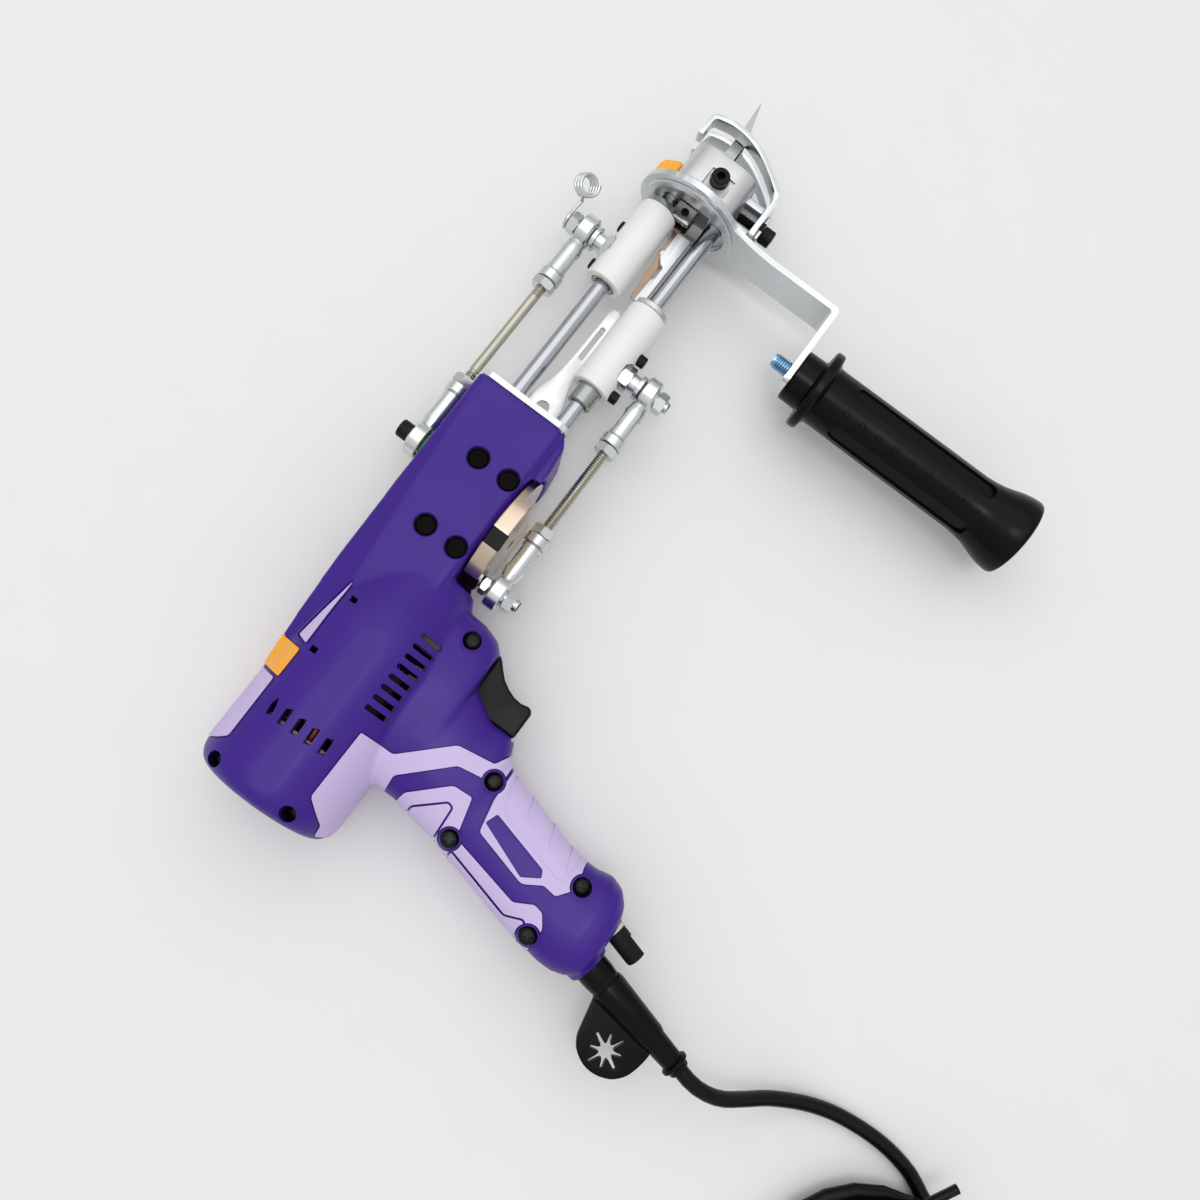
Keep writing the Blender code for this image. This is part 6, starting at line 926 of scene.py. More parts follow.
def cap_screw(radius, low, top, socket=0.55, deep=0.9):
    """A socket cap screw's head, with its straight knurl and hexagon socket."""
    stations = ((low, 0.93, 0), (low + 0.3, 1, 0.035), (top - 0.7, 1, 0.035), (top - 0.35, 0.97, 0),
                (top, 0.88, 0))
    rings = [circle(radius * scale, height, 96, knurl) for height, scale, knurl in stations]
    head = skinned([[(0, 0, low)]] + rings + [[(0, 0, top)]])
    depth = min((top - low) * 0.6, radius * deep)
    return cut(head, slab(hexagon(radius * socket), top - depth, top + 1))


def chamfered_nut(radius, low, high, bore=0.0):
    """A hexagon nut with its corners turned off at both faces."""
    body = slab(hexagon(radius), low, high)
    turn = (high - low) * 0.14
    cone = lathe([(0, low - 0.01), (radius * 0.87, low - 0.01), (radius * 1.02, low + turn),
                  (radius * 1.02, high - turn), (radius * 0.87, high + 0.01), (0, high + 0.01)], 60)
    kept(body, cone)
    return cut(body, disc(bore, low - 1, high + 1, 0, 40)) if bore else body


def threaded(radius, low, high, pitch=1.25, depth=0.5, ends=0.5):
    """A threaded bar. A real M5 thread of 0.8 mm is too fine to show, so its rings are drawn coarser."""
    profile, place = [(0, low), (radius - depth, low)], low + ends
    while place < high - ends - pitch:
        profile += [(radius - depth, place), (radius, place + pitch * 0.42), (radius, place + pitch * 0.58)]
        place += pitch
    return lathe(profile + [(radius - depth, place), (radius - depth, high), (0, high)], 32)


print("a hexagon of 5.6 mm radius is", round(2 * 5.6 * math.cos(math.pi / 6), 1), "mm across its flats")

# %% Screws of the case and the gearbox
for number, (x, y) in enumerate(SCREWS, 1):
    head = joined(cross_screw(3.95, 12.3, 15.6), disc(1.8, -8, 12.6, 0.3, 24))
    piece(shifted(head, x, y), f"cross_head_screw_{number}", black_oxide, stands_for=f"case_screw_{number}")
for number, (x, y) in enumerate(BOLTS, 1):
    for side in (1, -1):
        # Near-black matt heads and well-floor discs: painted shade of the deep bolt wells.
        head = joined(disc(5.09, 20.82, 21.3, 0.1), cap_screw(4.3, 21.2, 21.9, 0.5, deep=0.1))
        name = f"gearbox_bolt_{number}_{'right' if side > 0 else 'left'}"
        piece(turn_to(head, (x, y, 0), ALONG_Z * side), name, bolt_black_and_well_shade)
for number, (x, y) in enumerate(REAR_SCREWS, 1):
    piece(shifted(cross_screw(3.3, 8.2, 11), x, y), f"rear_case_screw_{number}", black_oxide)

# %% [markdown]
# ## Cranks
#
# The upper crank is a plain turned disc in the top of the gearbox. The lower one is a counterweight: a
# thick disc, stepped thinner on one side, with notches milled in its rim. Its rim is bright oiled steel
# with a warm, coppery tone. The floors and walls of the notches are given a near-black finish as
# painted shade, so that the notches show dark.

# %% Places of the slides, pins and pivots
GUIDE_Y = 13
UPPER_ROD_Y, UPPER_PIN_X, UPPER_PIVOT_X = 34.8, -40.3, 90.2
LOWER_ROD_Y, LOWER_PIN_X, LOWER_PIVOT_X = -36.6, -75, 43
print("guide rods lie", 2 * GUIDE_Y, "mm apart, and the rods", round(UPPER_ROD_Y - LOWER_ROD_Y, 1), "mm")

# %% Upper crank
def ring(outer, inner, low, high, edge=0.4, sides=96):
    """A washer or a sleeve with chamfered rims."""
    profile = [(outer - edge, low), (outer, low + edge), (outer, high - edge), (outer - edge, high),
               (inner + edge, high), (inner, high - edge), (inner, low + edge), (inner + edge, low)]
    return lathe(profile, sides, bored=True)


upper_crank = turn_to(ring(18.8, 4.3, 20.3, 27.6, 0.6, 120), CRANK_CENTRE, ALONG_Y)
cut(upper_crank, hole(3.3, 23.6, 30, 40, (UPPER_PIN_X, 0, 0), ALONG_Y))
for turn in (150, 180, 210):
    angle = math.radians(turn)
    place = (CRANK_CENTRE[0] + 13.4 * math.cos(angle), 0, 13.4 * math.sin(angle))
    cut(upper_crank, hole(2.6, 25, 30, 32, place, ALONG_Y))
piece(upper_crank, "upper_crank_disc", turned_steel, "crank", "upper_crank")
print("the upper crank is", 18.8 * 2, "mm across")

# %% Lower crank
lower_crank = turn_to(ring(30.5, 4.3, 19.9, 28, 0.5, 160), CRANK_CENTRE, -ALONG_Y)
cut(lower_crank, block((-40, -31, -34), (-22, -23.5, 34)))
for turn in (76.5, -76.5, 28, -28):
    notch = block((26.5, -4.2, -31), (34, 4.2, -17))
    notch.data.transform(Matrix.Rotation(math.radians(turn), 4, "Z"))
    cut(lower_crank, turn_to(notch, CRANK_CENTRE, ALONG_Y))
cut(lower_crank, hole(3.3, 24, 31, 40, (LOWER_PIN_X, 0, 0), -ALONG_Y))
piece(lower_crank, "lower_crank_disc", turned_steel, "crank", "lower_crank")
# The notch floors and walls take the near-black finish as painted shade in the notches.
lower_crank.data.materials.append(black_oxide)
for face in lower_crank.data.polygons:
    out = (face.center - spot(*CRANK_CENTRE)) / MM
    if 26 < math.hypot(out.x, out.z) < 30.2 and abs(face.normal.y) < 0.5:
        face.material_index = 1
for name, start, way, high in (("upper", CRANK_CENTRE, ALONG_Y, 27.3), ("lower", CRANK_CENTRE, -ALONG_Y, 27.7)):
    grub = cut(disc(3.9, high - 3, high + 0.15, 0.3, 48), slab(hexagon(2.1), high - 1.5, high + 1))
    piece(turn_to(grub, start, way), name + "_shaft_end", black_oxide, "crank")
print("the lower crank is", 30.5 * 2, "mm across")

# %% [markdown]
# ## Connecting rods
#
# Each connecting rod is made of two bought rod ends on a threaded stud: a forged eye with a steel ball
# in it, a shank, and a lock nut on each side. The ball lets the rod tilt while the crank carries its
# far end round. Small red liners show in the lower eyes, and a green washer lies under the upper one.

# %% Rod ends
EYE_TO_STUD = 32
green_fibre = grained("green_fibre_washer", "#2E7D4A", "#276C40", 0.6, 0.6, 0.02)
red_liner = grained("red_nylon_liner", "#8E2F55", "#7A2748", 0.5, 0.6, 0.02)


def rod_end(start, way, across):
    """An eye at start with its bore along across, and a shank towards way."""
    eye = ring(8.5, 6.7, -3.2, 3.2, 0.5, 96)
    profile = [(0, 7.2), (4.1, 7.2), (4.3, 8.4), (4.7, 9.8), (4.95, 11.4), (5, 13), (5, 26.2), (4.5, 26.8),
               (5.5, 27), (5.9, 27.4), (5.9, 31.6), (5.5, 32), (0, 32)]
    body = joined(turn_to(eye, start, across), turn_to(lathe(profile, 64), start, way))
    for spin in (0, math.pi):
        cut(body, turn_to(block((3.9, -8, 13.4), (8, 8, 24.5)), start, way, spin))
    cut(body, hole(2.7, 23.7, 34, 40, start, way))
    return body


def steel_ball(radius, half, bore):
    """A ball cut flat on both sides and bored."""
    steps = 14
    heights = [half * (2 * k / steps - 1) for k in range(steps + 1)]
    outside = [(math.sqrt(radius ** 2 - height ** 2), height) for height in heights]
    return lathe(outside + [(bore, half), (bore, -half)], 72, bored=True)


def rod_set(prefix, offset, crank_x, slider_x, outward, body):
    """Both rod ends, their liners, the stud and its lock nuts."""
    for end, x, way in (("crank", crank_x, ALONG_X), ("slider", slider_x, -ALONG_X)):
        place = (x, offset, 0)
        piece(rod_end(place, way, outward), f"{prefix}_{end}_eye", zinc_plate, body, f"{prefix}_{end}_rod_end")
        liner = turn_to(ring(6.68, 6.35, -2.6, 2.6, 0.05, 72), place, outward)
        piece(liner, f"{prefix}_{end}_liner", red_liner if prefix == "lower" else pale_nylon, body)
    low, high = crank_x + EYE_TO_STUD, slider_x - EYE_TO_STUD
    if prefix == "upper":
        stud = joined(threaded(2.6, low - 8, low + 10), disc(2.5, low + 9.8, high - 9.8, 0.2, 40),
                      threaded(2.6, high - 10, high + 8))
    else:
        stud = threaded(2.6, low - 8, high + 8)
    stud = turn_to(stud, (0, offset, 0), ALONG_X)
    piece(stud, prefix + "_threaded_stud", dull_zinc, body, prefix + "_rod_stud")
    for name, start in (("rear", low + 0.3), ("front", high - 4.8)):
        nut = turn_to(chamfered_nut(5.8, start, start + 4.5, 2.65), (0, offset, 0), ALONG_X, 0.4)
        piece(nut, f"{prefix}_{name}_lock_nut", zinc_plate, body)


rod_set("upper", UPPER_ROD_Y, UPPER_PIN_X, UPPER_PIVOT_X, ALONG_Y, "upper_rod")
rod_set("lower", LOWER_ROD_Y, LOWER_PIN_X, LOWER_PIVOT_X, -ALONG_Y, "lower_rod")
print("rods from pin to pin:", round(UPPER_PIVOT_X - UPPER_PIN_X, 1), "and", LOWER_PIVOT_X - LOWER_PIN_X, "mm")

# %% Bolts of the connecting rods
def ball_at(offset):
    """The ball of a rod end, at the middle of its eye."""
    return shifted(steel_ball(6.3, 4.2, 3), 0, 0, abs(offset))


upper_pin = (UPPER_PIN_X, 0, 0)
made = gathered([disc(2.95, 27.9, 39.3, 0.2, 48), ball_at(UPPER_ROD_Y)])
piece(turn_to(made, upper_pin, ALONG_Y), "upper_crank_ball", zinc_plate, "upper_rod", "upper_crank_bolt")
washer = turn_to(ring(8.6, 3.05, 29.1, 30.5, 0.3, 72), upper_pin, ALONG_Y)
piece(washer, "green_washer", green_fibre, "upper_rod")
head = turn_to(cap_screw(4.4, 39.05, 45), upper_pin, ALONG_Y)
piece(head, "upper_crank_cap_screw", black_oxide, "upper_rod")

lower_pin = (LOWER_PIN_X, 0, 0)
made = gathered([disc(2.95, 28.3, 47.8, 0.3, 48), ball_at(LOWER_ROD_Y)])
piece(turn_to(made, lower_pin, -ALONG_Y), "lower_crank_ball", zinc_plate, "lower_rod", "lower_crank_bolt")
for name, low, high, spin in (("inner_nut", 28.6, 32.1, 0.2), ("nut", 41.1, 45.8, 0.5)):
    nut = turn_to(chamfered_nut(5.6, low, high, 3), lower_pin, -ALONG_Y, spin)
    piece(nut, "lower_crank_" + name, zinc_plate, "lower_rod")
end = turn_to(threaded(2.98, 45.6, 48.2, 0.8, 0.45, 0.2), lower_pin, -ALONG_Y)
piece(end, "lower_crank_bolt_end", black_oxide, "lower_rod")
print("pins at", upper_pin[0], "and", lower_pin[0], "mm")

# %% [markdown]
# ## Guide rods and sliders
#
# The two sliders are white acetal sleeves that run on ground steel rods in bushes of bright steel.
# Each carries a pivot bolt for its connecting rod, with a hexagon foot sunk in the sleeve, a washer and
# an outer nut, and two black set screws.

# %% Guide rods
for name, y in (("upper_guide_rod", GUIDE_Y), ("lower_guide_rod", -GUIDE_Y)):
    made = turn_to(lathe([(0, -17), (4, -17), (4, 149.2), (3.4, 150), (0, 150)], 96), (0, y, 0), ALONG_X)
    piece(made, name + "_bar", hard_chrome, stands_for=name)
print("guide rods are 8 mm across")

# %% Sliders
SLIDER_LENGTH, SLIDER_RADIUS = 47, 9.75


def slider(prefix, y, rear, pivot_x, offset, outward, bush_proud, screws, proud, body):
    """A sleeve with its bush, its set screws and its pivot bolt."""
    front = rear + SLIDER_LENGTH
    profile = [(9.15, rear), (9.6, rear + 0.3), (SLIDER_RADIUS, rear + 0.9), (SLIDER_RADIUS, front - 0.9),
               (9.6, front - 0.3), (9.15, front), (6.5, front), (6.5, rear)]
    sleeve = turn_to(lathe(profile, 120, bored=True), (0, y, 0), ALONG_X)
    surface = abs(y) + SLIDER_RADIUS
    cut(sleeve, hole(7.3, surface - 2.7, surface + 4, 64, (pivot_x, 0, 0), outward))
    for x in screws:
        cut(sleeve, hole(3.2, surface - 2.4, surface + 3, 40, (x, 0, 0), outward))
    piece(sleeve, prefix + "_sleeve", white_acetal, body, prefix + "_slider")
    bush = turn_to(ring(6.2, 4.3, rear - bush_proud, front - 0.3, 0.5, 80), (0, y, 0), ALONG_X)
    piece(bush, prefix + "_bush", spring_steel, body, prefix + "_slider_bush", "bright_steel")
    for number, x in enumerate(screws, 1):
        head = turn_to(cap_screw(3, surface - 2.2, surface + proud), (x, 0, 0), outward)
        piece(head, f"{prefix}_set_screw_{number}", black_oxide, body)
    reach = abs(offset)
    foot_top = surface + (3.4 if prefix == "lower" else 1.2)
    foot = chamfered_nut(6.6, surface - 2.4, foot_top)
    washer = ring(6.4, 3, reach - 6.6, reach - 4.25, 0.25, 60)
    bolt = turn_to(gathered([disc(2.95, surface, reach + 11.1, 0.5, 48), ball_at(reach)]), (pivot_x, 0, 0), outward)
    piece(bolt, prefix + "_pivot_ball", zinc_plate, body, prefix + "_pivot_bolt")
    piece(turn_to(foot, (pivot_x, 0, 0), outward, 0.3), prefix + "_pivot_foot", zinc_plate, body)
    if reach - 6.6 > foot_top + 0.5:
        spacer = ring(4.6, 3, foot_top, reach - 6.6, 0.2, 60)
        piece(turn_to(spacer, (pivot_x, 0, 0), outward), prefix + "_pivot_spacer", zinc_plate, body)
    piece(turn_to(washer, (pivot_x, 0, 0), outward), prefix + "_pivot_washer", zinc_plate, body)
    nut = turn_to(chamfered_nut(5.6, reach + 4.5, reach + 9.2, 3), (pivot_x, 0, 0), outward, 0.45)
    piece(nut, prefix + "_pivot_nut", zinc_plate, body)
    end = turn_to(threaded(2.98, reach + 9, reach + 11.2, 0.8, 0.45, 0.2), (pivot_x, 0, 0), outward)
    piece(end, prefix + "_pivot_end", black_oxide if prefix == "lower" else zinc_plate, body, slot="zinc_plate")


slider("upper", GUIDE_Y, 73.5, UPPER_PIVOT_X, UPPER_ROD_Y, ALONG_Y, 0, (79, 103), 1.2, "needle_slider")
slider("lower", -GUIDE_Y, 28, LOWER_PIVOT_X, LOWER_ROD_Y, -ALONG_Y, 9.5, (31.7, 54.3), 3.6, "scissor_slider")
print("sliders are", SLIDER_LENGTH, "mm long")

# %% [markdown]
# ## Needle, scissors and eyelet
#
# The needle is a hollow channel of spring steel, ground to a slanted point and clamped in a small block
# on the upper slider. The scissors under it are two thin blades on a screw, held between the cheeks of
# an aluminium bar. Their edges were ground hot and kept a coppery tone. The yarn runs through an eyelet
# of bent wire on the upper pivot.

# %% Needle and its carrier
coppery_steel = grained("bronzed_spring_steel", "#A48C7A", "#7F6B5D", 0.24, 0.8, 0.01, metallic=1.0)


def carrier_plate(y, face):
    return turn_to(ring(9, 4.3, face, face + 3, 0.4, 96), (0, y, 0), ALONG_X)


carrier = joined(carrier_plate(GUIDE_Y, 120.8), softened(block((120.8, -2.4, -6), (130.3, 8, 6)), 0.5))
cut(carrier, block((118, -8, -3.4), (134, 6, 3.4)))
piece(carrier, "needle_clamp_block", spring_steel, "needle_slider", "needle_carrier")
piece(shifted(cap_screw(2.1, 5.8, 7.3), 125.5, 2.5), "needle_clamp_screw", black_oxide, "needle_slider")

channel = slab([(124.5, -0.7), (177.5, 0.3), (201.4, 7.4), (182.3, 6), (171.5, 5.7), (124.5, 5.7)], -3.1, 3.1)
bore = slab([(121, -4), (199, -4), (192.4, 5.1), (171.5, 5.1), (121, 5.1)], -4, 4)
cut(channel, kept(bore, slab([(120, -2.5), (171.5, -2.5), (196, -0.4), (196, 0.4), (171.5, 2.5), (120, 2.5)],
                             -6, 7, "Y")))
for side in (1, -1):
    taper = [(171.5, side * 3.1), (204.4, side * 0.2), (204.4, side * 6), (171.5, side * 6)]
    cut(channel, slab(taper, -4, 12, "Y"))
piece(channel, "hollow_needle", spring_steel, "needle_slider", "needle", sharp=20)
print("the needle reaches", 201.4 - 120.5, "mm out of its slider")

# %% Scissors
bar = softened(slab([(75.6, -8.2), (116.3, -8.2), (116.3, -3.7), (98, -3.7), (96.8, -5.2), (90, -5.2),
                     (88.8, -3.7), (75.6, -3.7)], -4, 4), 0.35, 2)
cheek = softened(slab([(97.5, -8.2), (116.3, -8.2), (116.3, -0.6), (101, -0.6), (97.5, -3.4)], -4, 4), 0.5, 3)
bar = joined(carrier_plate(-GUIDE_Y, 75.3), bar, cheek)
cut(bar, block((86, -3.3, -1.3), (118, 1, 1.3)))
piece(bar, "scissor_carrier_bar", machined_aluminium, "scissor_slider", "scissor_carrier")
BLADE_PIVOT = (104, -1.2)


def blade(tail, low, high):
    """A thin blade from its tail over the pivot's boss to its slanted tip."""
    x, y = BLADE_PIVOT
    boss = [(x + 3, y + 2.2), (x + 1.6, y + 3.0), (x - 1.6, y + 3.0), (x - 3, y + 2.2)]
    outline = [(tail, -3.4), (x - 3, y - 1.9), (x + 3, y - 2.2), (129, 1.2), (127.6, 3.44), *boss,
               (tail + 1, -0.9)]
    return cut(softened(slab(outline, low, high), 0.12, 2, 30), shifted(disc(1.3, -3, 3, 0, 32), x, y))


piece(blade(76, 0.15, 1.15), "fixed_scissor_blade", coppery_steel, "scissor_slider", "fixed_blade",
      slot="spring_steel")
piece(blade(90, -1.15, -0.15), "moving_scissor_blade", coppery_steel, "scissor_blade", "moving_blade",
      slot="spring_steel")
screw = joined(disc(1, -1.5, 1.5, 0.1, 32), disc(1.9, 1.45, 2.15, 0.25, 48), disc(1.9, -2.15, -1.45, 0.25, 48))
cut(screw, block((-3, -0.3, 1.75), (3, 0.3, 3)))
piece(shifted(screw, *BLADE_PIVOT), "scissor_screw", zinc_plate, "scissor_slider", "blade_pivot_screw")
print("the blades pivot at", BLADE_PIVOT)

# %% Yarn eyelet
NUT_THICKNESS, WIRE_RADIUS, STEPS = 5, 0.9, 32
seat, loop = UPPER_ROD_Y + 4.2 + NUT_THICKNESS + WIRE_RADIUS + 0.3, 4.2
path = []
for k in range(3, 27):
    angle = math.tau * k / STEPS
    path.append((UPPER_PIVOT_X + loop * math.cos(angle), seat, -loop * math.sin(angle)))
path.append((97, seat, loop * 0.9))
path.append((100.2, seat - 0.2, loop * 0.85))
lean = math.radians(38)
for k in range(3 * STEPS + 9):
    angle = math.tau * k / STEPS - math.pi * 0.75
    across, along = 5 * math.sin(angle), 2.3 * k / STEPS - 1.3
    path.append((106.6 + 5 * math.cos(angle), 48.8 + across * math.cos(lean) - along * math.sin(lean),
                 loop + across * math.sin(lean) + along * math.cos(lean)))
eyelet = tube_along(smooth_route(path, 170), WIRE_RADIUS, 14)
piece(eyelet, "wire_eyelet", zinc_plate, "needle_slider", "yarn_eyelet")
print("the eyelet's wire has", len(path), "points")

# %% [markdown]
# ## Front plate and centre plate
#
# The gearbox ends in a machined aluminium plate, of which the edge shows in front of the housing. A
# flat stamped arm is screwed to it and reaches forward between the guide rods, to feel for the scissors.

# %% Centre plate
arm = [(0.3, -8.2), (13, -8.2), (22, -4.4), (32, -3.4), (44, -3), (64, -2.6)]
outline = rounded_corners(arm + [(68.6, -2.6), (68.6, 2.6)] + [(x, -y) for x, y in arm[::-1]],
                          [0.3, 4, 4, 4, 4, 1, 2.4, 2.4, 1, 4, 4, 4, 4, 0.3])
plate = slab(outline, -5, -3)
cut(plate, slab(rounded_box(38, -1.3, 58, 1.3, 1.25), -6, 0))
cut(plate, shifted(disc(3.2, -7, 0, 0, 48), 8.5, 0))
foot_tab = block((0.3, -8.2, -4.7), (2.3, 8.2, 6))
piece(softened(joined(plate, foot_tab), 0.3, 2), "centre_arm", machined_aluminium, stands_for="centre_plate")
piece(turn_to(cap_screw(2.6, 2.3, 4.1), (0, 0, 1.7), ALONG_X), "centre_arm_screw", black_oxide)
print("the centre arm is 68 mm long")

# %% [markdown]
# ## Head
#
# The head is an aluminium block on a flange, machined with big round corners, that holds the front ends
# of the guide rods. Black cap screws clamp it. The round plate of the handle's bracket sits behind the
# flange: it is cut from 3 mm steel sheet, bent through a right angle and zinc plated.

# %% Handle bracket
STUD_AXIS = (95.3, 0, 0)


def sheet_bracket():
    """The round plate with its tail, the bend and the leg that takes the grip's stud."""
    neck = math.asin(12.5 * 1.35 / 28.5)
    round_part = []
    for k in range(97):
        angle = neck + (math.tau - 2 * neck) * k / 96
        round_part.append((-28.5 * math.cos(angle), 28.5 * math.sin(angle)))
    blends = [(-36, -13.6), (-46, -12.5), (-82.5, -12.5), (-82.5, 12.5), (-46, 12.5), (-36, 13.6)]
    plate = slab(round_part + blends, 127, 130, "X")
    outline = [(130 - 3 + 3 * math.cos(-math.pi / 2 * k / 12), -82.5 + 3 * math.sin(-math.pi / 2 * k / 12))
               for k in range(13)]
    outline += [(84, -85.5), (84, -82.5), (126, -82.5), (127, -81.5), (127, -79.5), (130, -79.5)]
    leg = slab(outline, -12.5, 12.5)
    corners = rounded_box(84, -12.5, 131, 12.5, [6, 0.1, 0.1, 6], 8)
    kept(leg, slab(corners, -90, -70, "Y"))
    whole_sheet = joined(plate, leg)
    cut(whole_sheet, hole(20.5, 120, 134, 120, (0, 0, 0), ALONG_X))
    cut(whole_sheet, hole(4.3, 80, 90, 48, STUD_AXIS, -ALONG_Y))
    softened(whole_sheet, 0.5, 3, 50)
    return joined(whole_sheet, turn_to(ring(25.2, 20.6, 126.1, 127.3, 0.5, 120), (0, 0, 0), ALONG_X))


piece(sheet_bracket(), "sheet_steel_bracket", zinc_plate, stands_for="handle_bracket")
print("the bracket's leg is", 130 - 84, "mm long")

# %% Head block
FOOT_BOLT, CLAMP_PLACE = (144, 0, 0), (144, -2.5, 0)


def head_casting():
    outline = rounded_box(-18, -17.5, 17, 17.5, 11, 12)
    body = slab(outline, 130.6, 156, "X")
    passage = block((126, -8.6, -6.6), (160, 8.5, 6.6))
    cut(body, copied(passage))
    softened(body, 0.6, 3, 50)
    flange = turn_to(disc(24.5, 130.3, 133.3, 0.5, 144), (0, 0, 0), ALONG_X)
    cut(flange, passage)
    joined(body, flange)
    for low, high in ((134, 137.4), (148.2, 152)):
        joined(body, softened(block((low, -27.5, -7), (high, -15, 7)), 0.6))
    for y in (GUIDE_Y, -GUIDE_Y):
        cut(body, hole(4.3, 125, 150.3, 64, (0, y, 0), ALONG_X))
        cut(body, hole(2.2, 149, 158, 40, (0, y, 0), ALONG_X))
    for side in (1, -1):
        low, high = sorted((side * 15.9, side * 22))
        cut(body, softened(block((136.4, -9.6, low), (147, 3.4, high)), 0.3, 2))
        cut(body, hole(5.0, 14.5, 22, 64, CLAMP_PLACE, ALONG_Z * side))
    return cut(body, hole(2.8, 14, 30, 40, FOOT_BOLT, -ALONG_Y))


piece(head_casting(), "machined_head", machined_aluminium, stands_for="head_block")
for side, name in ((1, "right"), (-1, "left")):
    head = turn_to(cap_screw(4.5, 14.6, 20.4, 0.5), CLAMP_PLACE, ALONG_Z * side)
    piece(head, f"head_cap_screw_{name}", black_oxide)
for y, name in ((GUIDE_Y, "upper"), (-GUIDE_Y, "lower")):
    head = turn_to(cap_screw(4.3, 156.1, 160.2, 0.5), (0, y, 0), ALONG_X)
    piece(head, f"rod_end_screw_{name}", black_oxide)
brass = grained("passivated_yellow_zinc", "#C9A24A", "#B58A35", 0.3, 0.8, 0.01, metallic=1.0)
piece(shifted(cross_screw(2.6, 6.0, 7.6, 0.8), 134.5, 3.4), "passage_screw", brass)
print("the head is 25.4 mm long")

# %% Foot bolt
made = gathered([threaded(2.5, 18.2, 30.6), ring(6, 2.7, 30.9, 32.4, 0.2, 64), cap_screw(4.4, 32.6, 38.4)])
bolt = turn_to(made, FOOT_BOLT, -ALONG_Y)
piece(bolt, "foot_clamp_screw", black_oxide, stands_for="foot_bolt")
nut = turn_to(softened(block((-7, -5.5, 30.75), (7, 5.5, 32.5)), 0.4), FOOT_BOLT, -ALONG_Y)
cut(nut, hole(2.8, 28, 34, 40, FOOT_BOLT, -ALONG_Y))
piece(nut, "foot_clamp_plate", zinc_plate)
print("the foot's screw stands at", FOOT_BOLT[0], "mm")

# %% [markdown]
# The presser foot is one strip of sheet steel, bent up and over the needle. Its middle line is drawn
# from the side and given its thickness, and then the fork and the slots are cut through from above.

# %% Presser foot
def bent_foot():
    """A strip bent up from a slotted base, round the needle and back, and split into two prongs."""
    centre_line = [Vector((133, -29.3)), Vector((150, -29.3)), Vector((155, -29.3))]
    low, bow, high = Vector((160, -27)), Vector((180.2, -3.6)), Vector((174.2, 15.4))
    for k in range(25):
        t = k / 24
        centre_line.append(low * (1 - t) ** 2 + bow * 2 * t * (1 - t) + high * t ** 2)
    corner = 4.2
    for k in range(1, 13):
        angle = math.pi / 2 * k / 12 + math.radians(10)
        way = Vector((math.cos(angle), math.sin(angle)))
        centre_line.append(Vector((high.x - corner, high.y)) + way * corner)
    centre_line.append(Vector((161, 19.6)))
    flat = [Vector((p.x, p.y, 0)) for p in centre_line]
    line = smooth_route(flat, 90)
    outside, inside = [], []
    for before, here, after in zip(line[:1] + line, line, line[1:] + line[-1:]):
        way = (after - before).normalized()
        out = Vector((way.y, -way.x, 0)) * 1.3
        outside.append(((here + out).x, (here + out).y))
        inside.append(((here - out).x, (here - out).y))
    foot = slab(outside + inside[::-1], -11.5, 11.5)
    trim = rounded_box(133, -11.5, 181, 11.5, [4, 0.1, 0.1, 4], 8)
    kept(foot, slab(trim, -40, 40, "Y"))
    cut(foot, slab(rounded_box(157, -3.6, 190, 3.6, 3), -40, 40, "Y"))
    cut(foot, block((156, 0, -3.6), (190, 40, 3.6)))
    cut(foot, slab(rounded_box(135.2, -2.8, 148.8, 2.8, 2.7), -34, -24, "Y"))
    return softened(foot, 0.55, 3, 55)


piece(bent_foot(), "bent_presser_foot", zinc_plate, "foot", "presser_foot")
print("the foot is 23 mm wide")

# %% Yarn guide
guide = slab([(133.4, 17.3), (145, 17.3), (145, 19), (141.6, 25), (139, 26.4), (133.4, 26.4)], -8, 8)
softened(guide, 1.1, 4)
cut(guide, hole(1.8, 130, 150, 48, (0, 20.9, 0), ALONG_X))
piece(guide, "moulded_yarn_guide", orange_abs, stands_for="yarn_guide")
print("the yarn guide has", len(guide.data.polygons), "faces")

# %% [markdown]
# ## Front grip
#
# The front grip is moulded rubber with a flange for the thumb, four long sunk panels, a row of small
# round studs on two of the ribs between them, and a flared end. It is turned as one profile and the
# panels are cut into it. A blue zinc-plated stud screws it to the bracket.

# %% Front grip
profile = [(0, 0), (12.6, 0), (13.2, 0.6), (13.3, 9.6), (14.2, 10.2), (19.9, 10.8), (20.7, 11.6), (20.7, 14.6),
           (19.9, 15.4), (16.6, 16), (15.4, 17), (15.2, 20), (15.3, 40), (15.4, 60), (15.4, 90), (15.4, 103),
           (15.8, 108), (16.6, 113), (17.9, 117.5), (19.2, 121.5), (20.1, 125.5), (20.5, 129.5), (20.5, 131),
           (20, 132.2), (18.8, 132.8), (12, 132.8), (11.2, 132.2), (0, 132.2)]
grip = lathe([(r, 85.8 + h) for r, h in profile], 144)
panels, studs = [], []
STUD_ROW = math.radians(116)
for index in range(4):
    panel = slab(rounded_box(-4.6, 115, 4.6, 195, 4.5, 10), 13.7, 20, "X")
    panel.data.transform(Matrix.Rotation(STUD_ROW + math.tau * (index + 0.5) / 4, 4, "Z"))
    panels.append(panel)
for row in (0, math.pi):
    turn = Matrix.Rotation(STUD_ROW + row, 4, "Z")
    for k in range(9):
        stud = lathe([(0, -1.2), (1.5, -1.2), (1.5, 0.1), (1.15, 0.55), (0, 0.7)], 24)
        place = Matrix.Translation((15.35, 0, 116.5 + 9.5 * k))
        stud.data.transform(turn @ place @ Matrix.Rotation(math.pi / 2, 4, "Y"))
        studs.append(stud)
cut(grip, gathered(panels))
joined(grip, gathered(studs))
cut(grip, disc(4.3, 80, 116, 0, 48))
